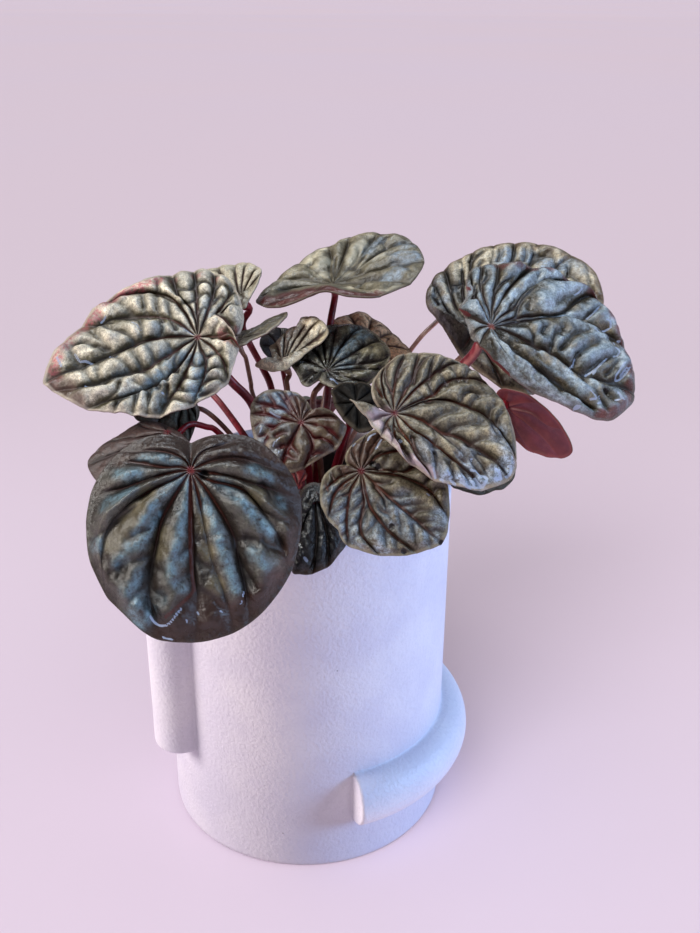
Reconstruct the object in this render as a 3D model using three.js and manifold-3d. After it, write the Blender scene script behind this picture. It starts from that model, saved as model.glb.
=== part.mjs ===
// Potted peperomia: a plain white ceramic pot with a fused upright bar and a fused ring bar,
// soil, a short crown and a rosette of deeply ribbed leaves, each on its own petiole.
// Millimetres, +Z up, origin on the pot's underside at the pot's axis, -Y toward the viewer.
import * as THREE from "three";
import { mergeVertices } from "three/addons/utils/BufferGeometryUtils.js";
import Module from "manifold-3d";

const POT_R = 42.0; // outer radius of the straight wall
const POT_H = 105.8; // height to the top of the rim
const WALL = 3.6; // wall thickness
const FLOOR = 5.0; // floor thickness
const EDGE = 1.4; // rounding of rim and foot
const BAR_W = 16.3; // width of both relief bars
const BAR_P = 8.15; // how far both bars stand out of the wall
const RING_Z = 24.15; // middle height of the ring bar
const RING_FROM = 20; // azimuth of the ring bar's flat end, degrees from the front toward +X
const RING_TO = 190; // azimuth of its far end
const POST_AZ = -59.3; // azimuth of the upright bar's middle
const POST_Z0 = 30.3; // lower end of the upright bar
const POST_Z1 = 88.0; // upper end of the upright bar
const SOIL_TOP = 90.0; // soil surface
const SOIL_GAP = 0.3; // clearance between soil and pot
const CROWN_R = 2.6; // short woody crown
const CROWN_H = 9.0;
const RIB = 1.25; // height of the pillows between the sunken veins
const STEM_SIDES = 6;

const DEG = Math.PI / 180;

// Leaves: at = where the petiole meets the blade; u = blade's long axis; n = normal of its upper
// face; rim = outline points [along u, across, above the plane]; veins = [place on the rim as a
// fraction of its length, points of the sunken vein between the petiole and the rim]; open = the
// blade is notched to its petiole, and its first and last lines are the notch's two edges.
const LEAVES = {
  A: {
    at: [-27.03,-10.0,149.8], u: [-0.9326,-0.2947,-0.2085], n: [0.0026,-0.5832,0.8123], th: 1.0, open: true,
    rim: [[-10.9,1.1,-1.5],[-12.2,-0.6,-2.0],[-13.4,-3.1,-2.5],[-13.9,-5.6,-2.3],[-14.3,-8.4,-2.3],[-14.6,-12.0,-2.3],[-14.0,-15.5,-2.3],[-13.1,-18.1,-2.3],[-11.5,-20.4,-2.3],[-9.8,-22.2,-2.3],[-7.4,-23.7,-2.3],[-4.6,-24.1,-2.3],[-1.9,-24.4,-2.3],[0.9,-24.9,-2.3],[4.4,-25.4,-2.3],[8.0,-24.7,-2.3],[12.4,-23.9,-2.3],[16.2,-22.9,-2.3],[19.2,-22.0,-2.3],[22.1,-20.5,-2.3],[24.8,-18.3,-2.3],[27.5,-16.1,-2.3],[29.8,-14.4,-2.3],[32.8,-12.0,-2.3],[35.7,-9.7,-2.3],[38.3,-6.5,-2.3],[39.9,-4.1,-2.3],[40.9,-1.8,-2.3],[39.8,0.5,-2.3],[37.9,3.3,-2.3],[36.0,6.3,-2.3],[34.0,8.7,-2.3],[31.4,10.7,-2.3],[28.5,12.6,-2.3],[25.1,14.5,-2.3],[21.7,16.4,-2.3],[18.2,18.0,-2.3],[14.6,19.0,-2.3],[10.8,19.4,-2.3],[8.0,18.8,-2.3],[5.9,18.1,-2.3],[3.7,17.8,-2.3],[1.7,17.2,-2.3],[-0.7,16.5,-2.3],[-3.0,15.0,-2.3],[-4.7,13.0,-2.3],[-6.7,10.0,-2.3],[-8.0,7.7,-2.3],[-9.3,5.5,-2.3],[-8.9,6.0,2.0],[-8.7,3.6,2.6],[-7.7,0.8,3.0],[-6.5,-1.5,3.2],[-5.2,-2.6,3.2],[-3.7,-2.1,3.0]],
    veins: [[0.0,[[-2.4,-3.3],[-3.8,-5.1],[-5.8,-5.9],[-7.4,-4.6],[-8.9,-1.7],[-9.7,1.2]]],[0.1006,[[-2.8,-2.2],[-7.2,-5.9],[-11.3,-10.2]]],[0.1494,[[-2.7,-3.6],[-5.9,-8.9],[-9.0,-14.6]]],[0.1845,[[-1.6,-5.5],[-3.6,-13.2],[-4.9,-18.9]]],[0.2211,[[-1.0,-4.3],[-1.0,-9.9],[0.8,-14.5],[0.7,-19.0]]],[0.3481,[[0.2,-2.9],[1.0,-9.9],[3.2,-15.9],[7.9,-19.4],[13.1,-21.0],[17.2,-21.0]]],[0.403,[[1.4,-2.6],[3.6,-6.4],[6.4,-9.0],[10.5,-11.3],[15.5,-13.2],[19.7,-14.2],[23.6,-13.8]]],[0.5272,[[3.1,-1.4],[8.1,-2.8],[14.2,-3.5],[19.8,-2.7],[24.5,-2.3],[29.1,-1.9],[33.9,-2.0]]],[0.551,[[2.4,0.8],[7.0,2.5],[11.4,3.8],[15.2,5.2],[19.7,5.0],[24.1,4.5],[28.1,4.7],[33.2,3.6]]],[0.6183,[[2.2,2.9],[5.3,6.1],[9.1,8.8],[12.8,10.5],[17.5,11.1],[22.7,10.9],[27.8,10.3]]],[0.7331,[[2.0,4.0],[4.6,7.9],[7.5,11.5],[10.5,14.3],[13.6,16.7]]],[0.7879,[[0.4,3.9],[0.1,7.5],[1.4,11.4],[3.4,14.2],[5.3,16.2]]],[0.8582,[[-1.5,2.2],[-3.0,5.2],[-3.9,8.2],[-3.9,11.4]]],[0.935,[[-2.5,0.8],[-5.4,2.4],[-7.7,2.9]]],[1.0,[[-2.4,-2.6]]]],
  },
  B: {
    at: [-16.84,8.0,154.38], u: [-0.5572,0.7996,0.2241], n: [-0.5222,-0.5472,0.6541], th: 1.0, open: false,
    rim: [[-3.0,0.5,0.6],[-2.3,-1.3,0.6],[-1.4,-3.7,0.6],[-0.3,-6.6,0.6],[0.9,-8.5,0.6],[2.2,-10.3,0.6],[4.9,-10.2,0.6],[8.1,-9.6,0.6],[10.4,-8.4,0.6],[12.6,-6.5,0.6],[15.7,-4.5,0.6],[18.5,-2.1,0.6],[20.5,-0.0,0.6],[18.8,1.7,0.6],[14.8,2.4,0.6],[9.7,2.6,0.6],[4.8,2.3,0.6],[0.2,1.9,0.6]],
    veins: [[0.1813,[[0.8,-2.4],[1.4,-5.9]]],[0.245,[[2.2,-3.0],[3.3,-6.6]]],[0.3275,[[3.2,-2.5],[6.2,-5.8]]],[0.3976,[[3.9,-1.7],[8.0,-4.1]]],[0.5084,[[4.7,-0.6],[10.3,-1.4]]],[0.6173,[[4.3,0.6],[9.7,1.6]]]],
  },
  C: {
    at: [7.76,18.0,157.07], u: [0.3819,0.8838,0.2703], n: [-0.1855,-0.2133,0.9592], th: 1.0, open: false,
    rim: [[17.8,-20.4,1.3],[21.5,-17.8,1.3],[25.3,-14.2,1.3],[27.5,-11.2,1.3],[28.7,-8.1,1.3],[29.0,-4.8,1.3],[29.6,-1.3,1.3],[28.9,1.4,1.3],[27.8,3.6,1.3],[26.8,5.9,1.3],[24.7,7.3,1.3],[21.7,8.7,1.3],[20.0,10.9,1.3],[18.0,12.7,1.3],[14.7,13.9,1.3],[10.2,15.1,1.3],[5.8,16.3,1.3],[0.8,17.2,1.3],[-4.6,17.8,1.3],[-8.7,18.3,1.3],[-14.6,16.8,3.0],[-17.7,11.9,4.6],[-18.3,8.1,6.0],[-18.2,4.9,6.8],[-17.2,2.3,7.0],[-16.2,-0.2,6.8],[-14.7,-2.4,6.2],[-13.9,-5.0,5.6],[-13.6,-6.8,5.2],[-14.0,-8.7,5.0],[-13.9,-10.7,4.6],[-13.2,-13.2,4.0],[-11.9,-17.0,3.4],[-9.9,-18.9,2.8],[-7.3,-20.7,2.2],[-3.3,-22.0,1.3],[-0.9,-23.4,1.3],[2.5,-24.2,1.3],[6.0,-24.4,1.3],[9.5,-24.0,1.3],[13.6,-22.8,1.3]],
    veins: [[0.0553,[[5.4,-3.0],[14.1,-6.4],[20.9,-10.1]]],[0.1491,[[5.9,-1.2],[16.4,-2.3],[23.3,-2.8]]],[0.2122,[[6.4,1.2],[16.1,3.1]]],[0.2681,[[7.2,4.1],[13.3,6.1]]],[0.3535,[[3.6,5.1],[7.7,11.4]]],[0.4296,[[0.7,5.0],[0.3,10.6]]],[0.5044,[[-1.3,1.9],[-2.4,6.2],[-5.0,11.3]]],[0.7944,[[-2.3,-4.8],[-4.7,-10.5]]],[0.8717,[[0.8,-5.0],[0.1,-11.5],[0.4,-17.5]]],[0.9613,[[3.7,-3.8],[6.0,-9.1],[9.3,-14.0],[11.8,-19.2]]]],
  },
  D: {
    at: [-17.29,-4.0,146.65], u: [0.7359,0.592,0.3286], n: [-0.4291,0.0323,0.9027], th: 1.0, open: false,
    rim: [[15.9,2.1,-0.0],[13.2,3.4,-0.0],[9.9,5.1,-0.0],[6.9,7.3,0.0],[4.7,9.8,0.0],[3.5,12.7,-0.0],[0.7,15.6,-0.0],[-1.6,15.2,0.0],[-3.0,8.5,-0.0],[-3.2,1.6,0.0],[-2.3,-3.0,-0.0],[-1.1,-6.2,-0.0],[1.3,-6.1,0.0],[4.0,-7.4,0.0],[7.2,-7.7,0.0],[11.5,-6.4,0.0],[14.9,-3.2,-0.0],[17.2,-0.0,-0.0]],
    veins: [[0.0833,[[3.1,1.0],[6.8,2.6]]],[0.25,[[1.6,3.5],[2.8,7.9]]],[0.4167,[[-0.2,2.9],[-1.1,6.3]]],[0.5833,[[-0.7,-0.6],[-1.6,-1.2]]],[0.75,[[1.9,-1.9],[3.8,-4.5]]],[0.9167,[[4.3,-0.6],[9.5,-1.5]]]],
  },
  E: {
    at: [-7.64,14.0,138.74], u: [0.3005,0.8561,0.4205], n: [0.2743,-0.4998,0.8216], th: 1.0, open: false,
    rim: [[8.9,-0.0,0.4],[8.3,2.6,0.4],[6.7,4.8,0.4],[4.6,6.0,0.4],[2.2,6.3,0.4],[-0.2,6.0,0.4],[-2.3,4.5,0.4],[-3.6,2.8,0.4],[-4.2,0.7,0.4],[-4.0,-1.7,0.4],[-1.7,-4.0,0.4],[1.8,-4.9,0.4],[5.3,-4.2,0.4],[7.9,-2.6,0.4]],
    veins: [[0.0714,[[2.4,0.6],[5.2,1.5]]],[0.2143,[[1.5,1.5],[3.0,3.5]]],[0.3571,[[0.0,1.6],[-0.3,3.5]]],[0.5,[[-1.1,0.4],[-2.6,0.8]]],[0.6429,[[-0.4,-1.1],[-1.2,-2.4]]],[0.7857,[[1.1,-1.2],[2.2,-2.8]]],[0.9286,[[2.3,-0.6],[5.0,-1.4]]]],
  },
  F: {
    at: [-4.69,-2.0,139.32], u: [0.4497,0.6516,0.6109], n: [-0.2925,-0.5388,0.79], th: 1.0, open: false,
    rim: [[-0.9,-1.7,1.2],[1.1,-2.5,1.2],[2.9,-3.5,1.2],[5.7,-4.5,1.2],[8.0,-5.8,1.2],[10.5,-7.1,1.2],[12.9,-7.0,1.2],[14.7,-5.7,1.2],[16.1,-3.2,1.2],[16.8,-0.9,1.2],[16.5,1.4,1.2],[15.6,2.8,1.2],[14.1,3.0,1.2],[12.8,2.6,1.2],[11.8,4.4,1.2],[10.1,5.4,1.2],[8.1,5.6,1.2],[6.0,6.4,1.2],[4.2,7.4,1.2],[2.7,5.8,1.2],[1.0,4.5,1.2],[-0.5,4.6,1.2],[-1.0,7.0,1.2],[-2.5,8.1,1.2],[-3.1,6.4,1.2],[-3.0,3.8,1.2],[-2.9,1.5,1.2],[-2.1,-0.0,1.2]],
    veins: [[0.2677,[[2.6,-0.5],[6.7,-2.2],[10.6,-4.8]]],[0.3448,[[3.7,0.1],[8.6,-0.5],[13.2,-1.4]]],[0.4076,[[4.1,1.3],[9.1,1.4],[13.2,1.0]]],[0.4853,[[4.2,2.0],[7.9,2.7]]],[0.555,[[3.3,2.5],[6.5,3.9]]],[0.6214,[[2.2,2.9],[4.2,4.6]]]],
  },
  G: {
    at: [6.53,-4.0,138.94], u: [0.4948,0.76,0.4214], n: [-0.0493,-0.4595,0.8868], th: 1.0, open: false,
    rim: [[13.4,-12.1,-1.0],[15.3,-10.8,-1.0],[17.1,-8.5,-1.0],[18.7,-5.4,-1.0],[19.7,-2.2,-1.0],[20.1,0.5,-1.0],[19.3,3.4,-1.0],[17.9,6.5,-1.0],[16.1,9.0,-1.0],[13.2,10.3,-1.0],[9.5,10.6,-1.0],[5.3,11.0,-1.0],[1.4,10.9,-1.0],[-2.0,10.0,-1.0],[-3.1,8.4,-1.0],[-4.7,6.1,-1.0],[-6.4,3.8,-1.0],[-6.4,2.2,-1.0],[-4.8,1.3,-1.0],[-3.4,0.6,-1.0],[-3.8,-0.6,-1.0],[-4.0,-2.6,-1.0],[-3.7,-5.6,-1.0],[-2.8,-8.1,-1.0],[-1.2,-10.0,-1.0],[1.2,-11.4,-1.0],[3.5,-12.6,-1.0],[5.8,-13.1,-1.0],[9.7,-12.9,-1.0]],
    veins: [[0.0029,[[3.0,-2.3],[6.2,-6.8],[9.6,-10.5]]],[0.0883,[[3.6,-1.1],[7.6,-2.8],[13.9,-4.9]]],[0.172,[[4.5,0.5],[10.0,1.1],[15.3,1.0]]],[0.2636,[[5.1,1.8],[11.1,4.4]]],[0.3301,[[4.4,3.3],[8.7,6.5]]],[0.4092,[[2.6,3.4],[5.3,7.4]]],[0.485,[[0.2,3.0],[0.5,6.4]]],[0.5964,[[-2.0,0.7],[-2.9,3.0]]],[0.791,[[-1.4,-2.7],[-2.1,-5.3]]],[0.8576,[[0.2,-3.4],[0.3,-7.6]]],[0.9466,[[1.7,-3.1],[4.5,-7.1],[6.6,-11.2]]]],
  },
  H: {
    at: [17.25,12.0,139.57], u: [-0.1575,0.8798,0.4484], n: [0.1776,-0.4214,0.8893], th: 1.0, open: false,
    rim: [[7.2,9.9,-1.0],[2.3,9.4,-1.0],[-2.5,7.8,-1.0],[-5.6,4.8,-1.0],[-6.6,0.9,-1.0],[-6.1,-3.3,-1.0],[-4.8,-7.0,-1.0],[-3.1,-10.3,-1.0],[-1.0,-12.8,-1.0],[1.1,-13.8,-1.0],[3.0,-13.3,-1.0],[4.8,-11.8,-1.0],[7.3,-10.8,-1.0],[9.3,-9.3,-1.0],[11.4,-8.2,-1.0],[13.3,-6.7,-1.0],[14.7,-5.1,-1.0],[16.2,-3.8,-1.0],[17.2,-2.1,-1.0],[17.5,-0.4,-1.0],[16.5,1.9,-1.0],[15.3,4.5,-1.0],[13.7,6.9,-1.0],[11.5,8.4,-1.0]],
    veins: [[0.0556,[[1.4,2.5],[2.6,5.7]]],[0.1667,[[-0.9,2.0],[-2.3,4.2]]],[0.2778,[[-1.8,-0.4],[-4.0,-0.7]]],[0.3889,[[-0.6,-2.7],[-1.9,-5.7]]],[0.5,[[1.4,-3.7],[2.1,-8.4]]],[0.6111,[[2.9,-2.3],[6.0,-5.5]]],[0.7222,[[4.4,-1.0],[9.6,-2.5]]],[0.8333,[[4.6,0.6],[10.1,1.4]]],[0.9444,[[3.4,2.0],[7.2,4.8]]]],
  },
  I: {
    at: [0.1,-20.0,130.1], u: [-0.2809,-0.6855,-0.6717], n: [0.0045,-0.7008,0.7133], th: 1.0, open: false,
    rim: [[0.1,-13.8,-1.1],[2.2,-13.1,-1.1],[5.3,-11.5,-1.1],[8.3,-9.6,-1.1],[10.0,-7.4,-1.1],[11.8,-4.7,-1.1],[13.2,-2.6,-1.1],[13.9,-0.2,-1.1],[13.6,1.6,-1.1],[12.1,3.5,-1.1],[10.0,5.6,-1.1],[8.2,7.2,-1.1],[6.3,8.5,-1.1],[4.8,9.9,-1.1],[3.2,11.0,-1.1],[0.8,11.4,-1.1],[-1.1,11.6,-1.1],[-2.8,11.4,-1.1],[-3.9,10.2,-1.1],[-4.9,8.6,-1.1],[-5.6,7.0,-1.1],[-6.1,5.5,-1.1],[-6.0,3.3,-1.1],[-4.9,1.7,-1.1],[-5.8,0.6,-1.1],[-7.2,-0.9,-1.1],[-7.9,-2.6,-1.1],[-8.5,-4.4,-1.1],[-8.4,-6.3,-1.1],[-7.9,-8.4,-1.1],[-7.2,-10.4,-1.1],[-6.3,-11.8,-1.1],[-5.0,-13.0,-1.1],[-3.5,-13.9,-1.1],[-1.9,-14.2,-1.1]],
    veins: [[0.007,[[-1.0,-3.3],[-0.4,-5.9],[-0.1,-9.1]]],[0.0564,[[-0.5,-3.2],[0.4,-5.4],[1.9,-7.9],[2.8,-10.4]]],[0.1699,[[0.3,-2.4],[1.0,-4.6],[2.9,-6.2],[5.4,-7.0],[8.3,-7.2]]],[0.2558,[[3.1,-0.4],[6.6,-0.9],[10.1,-1.1]]],[0.3389,[[1.9,2.5],[4.2,4.3],[5.9,5.1],[8.1,5.0]]],[0.471,[[0.9,2.7],[1.3,5.0],[1.3,7.7],[2.4,9.4]]],[0.5565,[[-0.9,2.7],[-1.3,6.1],[-2.1,8.9]]],[0.5967,[[-2.2,2.0],[-3.4,4.7],[-4.4,7.3]]],[0.7178,[[-3.0,0.4]]],[0.7478,[[-3.2,-0.5],[-5.2,-0.6]]],[0.8122,[[-3.8,-1.8],[-6.4,-3.7]]],[0.841,[[-2.9,-2.6],[-5.3,-5.0]]],[0.962,[[-1.5,-3.0],[-2.4,-5.2],[-2.6,-8.0],[-2.4,-10.7]]]],
  },
  J: {
    at: [15.56,-46.5,128.44], u: [0.7498,-0.4571,-0.4784], n: [-0.023,-0.7406,0.6716], th: 1.0, open: false,
    rim: [[-4.2,10.9,-1.7],[-5.2,9.8,-1.7],[-5.7,7.9,-1.7],[-6.2,5.8,-1.7],[-6.4,3.9,-1.7],[-6.1,2.1,-1.7],[-5.5,0.6,-1.7],[-4.7,-0.2,-1.7],[-4.0,-0.6,-1.7],[-5.2,-1.8,-1.7],[-5.9,-3.1,-1.7],[-6.2,-4.9,-1.7],[-6.0,-6.6,-1.7],[-5.0,-8.7,-1.7],[-3.8,-10.3,-1.7],[-2.0,-12.0,-1.7],[-0.3,-12.8,-1.7],[1.5,-13.5,-1.7],[3.4,-13.8,-1.7],[5.1,-13.9,-1.7],[6.4,-14.7,-1.7],[8.2,-15.3,-1.7],[9.9,-15.1,-1.7],[11.8,-14.4,-1.7],[13.7,-13.7,-1.7],[15.6,-12.7,-1.7],[17.5,-11.3,-1.7],[19.3,-9.8,-1.7],[21.0,-8.2,-1.7],[22.1,-6.6,-1.7],[23.3,-4.8,-1.7],[24.3,-3.1,-1.7],[25.2,-1.3,-1.7],[25.3,0.4,-1.7],[24.7,2.5,-1.7],[23.5,4.3,-1.7],[22.3,6.2,-1.7],[20.7,8.0,-1.7],[18.9,9.8,-1.7],[17.5,11.1,-1.7],[15.3,12.2,-1.7],[12.4,13.0,-1.7],[8.8,13.6,-1.7],[5.0,13.6,-1.7],[1.0,13.1,-1.7],[-2.1,12.5,-1.7]],
    veins: [[0.03,[[-2.2,2.1],[-3.8,4.7]]],[0.0685,[[-3.2,1.4],[-5.4,2.8]]],[0.1329,[[-2.2,-0.4]]],[0.2447,[[-1.7,-2.1],[-2.9,-4.6],[-3.4,-7.3]]],[0.3123,[[-0.4,-2.4],[-1.1,-5.2],[-1.0,-8.2],[0.2,-10.9]]],[0.3984,[[0.6,-2.1],[1.2,-4.9],[2.6,-7.4],[4.7,-10.3],[7.1,-13.0]]],[0.4728,[[2.6,-2.6],[5.1,-4.7],[7.0,-7.5],[8.5,-9.9],[10.5,-11.5],[13.2,-12.0]]],[0.561,[[2.3,-1.6],[4.6,-3.5],[7.4,-5.2],[10.7,-6.1],[14.4,-6.7],[17.2,-6.7],[20.0,-6.3]]],[0.6245,[[2.9,-0.1],[6.3,-0.3],[10.2,-0.5],[14.2,-0.4],[17.5,-0.3],[21.0,-0.4]]],[0.6912,[[3.0,2.0],[6.7,4.7],[10.6,6.3],[13.9,7.2],[16.5,7.1],[19.1,6.2]]],[0.8612,[[1.7,2.0],[4.8,4.3],[7.6,6.2],[8.5,9.2]]],[0.8968,[[0.1,3.1],[0.6,5.8],[2.0,8.2],[3.6,10.4]]],[0.9848,[[-0.8,2.7],[-1.5,5.2],[-2.3,8.1]]]],
  },
  K: {
    at: [23.18,-44.0,142.05], u: [0.9076,-0.2463,-0.34], n: [0.1248,-0.6149,0.7786], th: 1.0, open: true,
    rim: [[-10.4,-3.3,3.5],[-8.9,-3.8,3.0],[-8.1,-4.2,2.4],[-6.5,-4.7,1.8],[-4.8,-4.9,1.4],[-3.2,-6.1,1.0],[-1.3,-7.1,1.4],[0.9,-8.1,1.6],[3.1,-9.0,1.6],[5.5,-10.0,1.4],[7.1,-10.6,1.0],[8.9,-9.6,-1.6],[10.7,-10.1,-1.6],[12.6,-10.5,-1.6],[14.2,-10.7,-1.6],[16.4,-10.6,-1.6],[19.2,-10.0,-1.6],[22.2,-9.3,-1.6],[24.9,-8.4,-1.6],[26.9,-7.1,-1.6],[28.8,-5.2,-1.6],[30.1,-3.3,-1.6],[30.9,-1.4,-1.6],[31.0,1.0,-1.6],[30.5,3.1,-1.6],[29.2,6.1,-1.6],[27.7,8.9,-1.6],[25.8,11.9,-1.6],[23.4,14.8,-1.6],[20.7,17.1,-1.6],[18.0,18.8,-1.6],[15.4,20.0,-1.6],[12.3,21.3,-1.6],[9.3,21.9,-1.6],[6.1,21.8,-1.6],[3.0,21.5,-1.6],[-0.0,20.4,-1.6],[-2.9,19.0,-1.6],[-5.3,16.9,-1.6],[-6.8,14.0,-1.6],[-7.7,11.2,-1.6],[-8.1,8.4,-1.6],[-8.2,6.4,-1.6],[-7.5,4.2,-1.6],[-6.2,2.0,-1.0],[-4.3,0.7,-0.8]],
    veins: [[0.0,[[-2.3,-0.7],[-3.9,-1.1],[-6.4,-1.4]]],[0.0551,[[-2.2,-2.3],[-3.5,-4.3]]],[0.0973,[[-0.7,-2.7],[-0.4,-5.3]]],[0.1769,[[1.2,-3.5],[2.9,-6.5],[5.2,-8.3]]],[0.2373,[[2.2,-2.8],[4.5,-4.4],[6.7,-5.8],[8.8,-7.7],[11.4,-9.1]]],[0.3334,[[2.7,-1.0],[5.7,-2.4],[8.9,-2.7],[12.0,-3.4],[15.3,-4.5],[18.7,-5.2],[22.1,-6.1]]],[0.3985,[[3.5,1.0],[7.6,1.1],[11.6,0.6],[15.6,1.1],[19.9,0.8],[24.2,0.3],[27.8,-0.9]]],[0.4497,[[3.0,3.9],[5.9,7.2],[9.3,9.2],[13.2,9.9],[17.3,10.3],[20.9,9.9],[24.2,8.1],[27.2,5.8]]],[0.6161,[[2.0,3.3],[4.2,6.1],[6.3,9.3],[7.1,12.8],[9.1,16.0],[12.3,18.1],[15.7,19.2]]],[0.7005,[[0.6,3.5],[1.6,7.9],[3.1,12.2],[4.8,16.7],[7.2,20.3]]],[0.8014,[[-0.2,3.0],[-0.1,7.0],[0.1,11.1],[-0.6,14.9]]],[0.8313,[[-2.2,3.9],[-3.2,7.7],[-4.1,12.0]]],[0.8853,[[-2.9,2.0],[-5.4,5.0],[-6.9,8.1]]],[1.0,[[-1.8,0.1]]]],
  },
  L: {
    at: [-23.72,-54.0,131.76], u: [0.0584,-0.5557,-0.8293], n: [0.1316,-0.8192,0.5582], th: 1.0, open: false,
    rim: [[-7.1,0.1,-3.3],[-8.0,-1.6,-3.3],[-8.8,-3.4,-3.3],[-9.3,-5.7,-3.3],[-9.2,-8.0,-3.3],[-8.7,-10.3,-3.3],[-7.8,-12.7,-3.3],[-6.4,-15.0,-3.3],[-4.4,-17.3,-3.3],[-2.1,-19.3,-3.3],[0.7,-21.1,-3.3],[3.7,-22.5,-3.3],[6.7,-23.2,-3.3],[10.1,-23.7,-3.3],[13.5,-23.7,-3.3],[17.0,-23.5,-3.3],[20.0,-22.9,-3.3],[22.3,-22.0,-3.3],[24.8,-20.9,-3.3],[27.8,-19.4,-3.3],[29.7,-17.7,-3.3],[32.0,-15.5,-3.3],[34.3,-13.3,-3.3],[36.2,-11.1,-3.3],[37.7,-8.5,-3.3],[38.4,-5.2,-3.3],[38.7,-2.3,-3.3],[38.8,-0.0,-3.3],[38.6,2.7,-3.3],[38.0,5.6,-3.3],[37.2,8.4,-3.3],[36.0,10.9,-3.3],[34.7,13.0,-3.3],[32.8,15.4,-3.3],[30.4,17.7,-3.3],[27.7,19.9,-3.3],[25.0,21.7,-3.3],[23.0,22.7,-3.3],[20.0,23.7,-3.3],[16.5,24.6,-3.3],[13.0,25.2,-3.3],[9.4,25.4,-3.3],[5.9,25.1,-3.3],[2.7,24.2,-3.3],[0.1,22.9,-3.3],[-2.4,21.1,-3.3],[-4.8,18.9,-3.3],[-6.6,16.8,-3.3],[-8.0,14.5,-3.3],[-8.8,11.7,-3.3],[-9.0,8.9,-3.3],[-8.9,5.9,-3.3],[-8.4,3.5,-3.3],[-7.7,1.6,-3.3]],
    veins: [[0.0,[[-2.7,0.1]]],[0.1109,[[-2.2,-0.8],[-3.7,-2.8],[-4.7,-5.7],[-5.2,-9.2],[-5.2,-12.6]]],[0.134,[[-0.9,-2.4],[-0.9,-5.8],[-1.8,-9.7],[-2.6,-13.3]]],[0.1809,[[0.2,-3.5],[1.3,-8.1],[2.5,-12.0],[3.5,-15.6],[3.9,-19.3]]],[0.3389,[[2.2,-4.3],[4.1,-8.6],[6.2,-12.3],[9.0,-15.7],[12.5,-18.5],[16.5,-19.9],[20.8,-20.2]]],[0.4479,[[3.7,-2.3],[7.0,-4.4],[11.1,-6.7],[16.0,-8.0],[20.7,-9.0],[25.2,-9.7],[29.6,-9.6],[33.9,-8.4]]],[0.4961,[[4.4,-0.0],[11.3,0.0],[18.1,0.1],[23.8,0.1],[29.0,0.7]]],[0.5511,[[4.5,1.3],[10.3,2.5],[16.0,3.5],[21.7,4.7],[27.0,6.4],[32.0,7.8]]],[0.5763,[[3.8,3.0],[8.0,5.6],[12.3,8.0],[16.4,9.7],[20.8,10.4],[25.4,11.4],[29.9,12.0]]],[0.6652,[[2.5,4.6],[3.5,8.5],[4.9,12.1],[8.0,14.8],[11.3,17.0],[14.8,19.2],[19.2,20.9]]],[0.7796,[[0.8,4.9],[1.6,9.0],[2.8,12.6],[4.0,16.3],[5.2,20.1]]],[0.8242,[[-1.6,3.3],[-2.6,6.8],[-2.8,10.5],[-2.1,14.2],[-0.8,17.9]]],[0.9164,[[-3.1,1.5],[-5.0,3.9],[-6.0,7.4]]]],
  },
  M: {
    at: [-33.02,-29.0,130.69], u: [-0.7836,-0.4875,-0.3852], n: [-0.1244,-0.4843,0.866], th: 1.0, open: false,
    rim: [[-2.0,9.8,-1.1],[-2.8,6.7,-1.1],[-2.8,3.7,-1.1],[-2.6,1.2,-1.1],[-1.7,-2.3,-1.1],[-0.5,-5.4,-1.1],[1.3,-7.5,-1.1],[2.8,-9.0,-1.1],[4.2,-9.3,-1.1],[6.8,-9.3,-1.1],[10.0,-9.1,-1.1],[12.7,-9.5,-1.1],[15.3,-9.2,-1.1],[16.9,-8.5,-1.1],[18.6,-8.0,-1.1],[19.9,-7.0,-1.1],[20.7,-4.8,-1.1],[21.0,-0.9,-1.1],[20.3,3.9,-1.1],[17.9,8.8,-1.1],[14.4,12.5,-1.1],[9.7,14.4,-1.1],[4.8,14.0,-1.1],[0.8,12.3,-1.1]],
    veins: [[0.0556,[[-0.5,1.7],[-1.4,3.6]]],[0.1667,[[-0.2,-0.9],[-0.7,-1.9]]],[0.2778,[[1.6,-2.4],[3.0,-5.5]]],[0.3889,[[3.9,-2.2],[8.2,-5.4]]],[0.5,[[5.8,-1.4],[12.7,-3.5]]],[0.6111,[[5.8,0.5],[12.8,1.3]]],[0.7222,[[5.1,2.3],[10.9,5.6]]],[0.8333,[[3.4,3.5],[6.8,8.3]]],[0.9444,[[1.1,3.4],[1.7,7.7]]]],
  },
  M2: {
    at: [-31.02,-14.0,133.72], u: [-0.8068,-0.5808,-0.1079], n: [0.2255,-0.4715,0.8525], th: 1.0, open: false,
    rim: [[3.1,10.3,-0.8],[0.3,7.3,-0.8],[-1.9,4.9,-0.8],[-2.8,2.7,-0.8],[-3.3,-0.4,-0.8],[-2.2,-3.9,-0.8],[0.6,-6.5,-0.8],[4.7,-7.8,-0.8],[9.1,-6.7,-0.8],[12.8,-3.8,-0.8],[13.9,-0.5,-0.8],[12.9,1.4,-0.8],[10.7,2.6,-0.8],[8.8,3.4,-0.8],[7.6,5.6,-0.8],[6.6,8.1,-0.8],[5.7,10.3,-0.8],[5.2,11.9,-0.8]],
    veins: [[0.0109,[[-0.4,3.6],[-0.0,6.7]]],[0.2053,[[-1.4,0.8],[-2.7,0.7]]],[0.3227,[[-1.1,-1.9],[-1.2,-3.2]]],[0.4796,[[1.8,-2.3],[4.4,-5.1]]],[0.633,[[3.5,-1.2],[8.2,-2.2]]],[0.7706,[[3.4,0.7],[6.6,1.4]]],[0.9051,[[2.3,2.6],[4.8,5.7]]],[0.9717,[[0.8,3.2],[2.5,7.4]]]],
  },
  N: {
    at: [4.6,-33.0,116.71], u: [-0.2469,-0.7144,-0.6547], n: [0.0132,-0.678,0.7349], th: 1.0, open: false,
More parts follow.
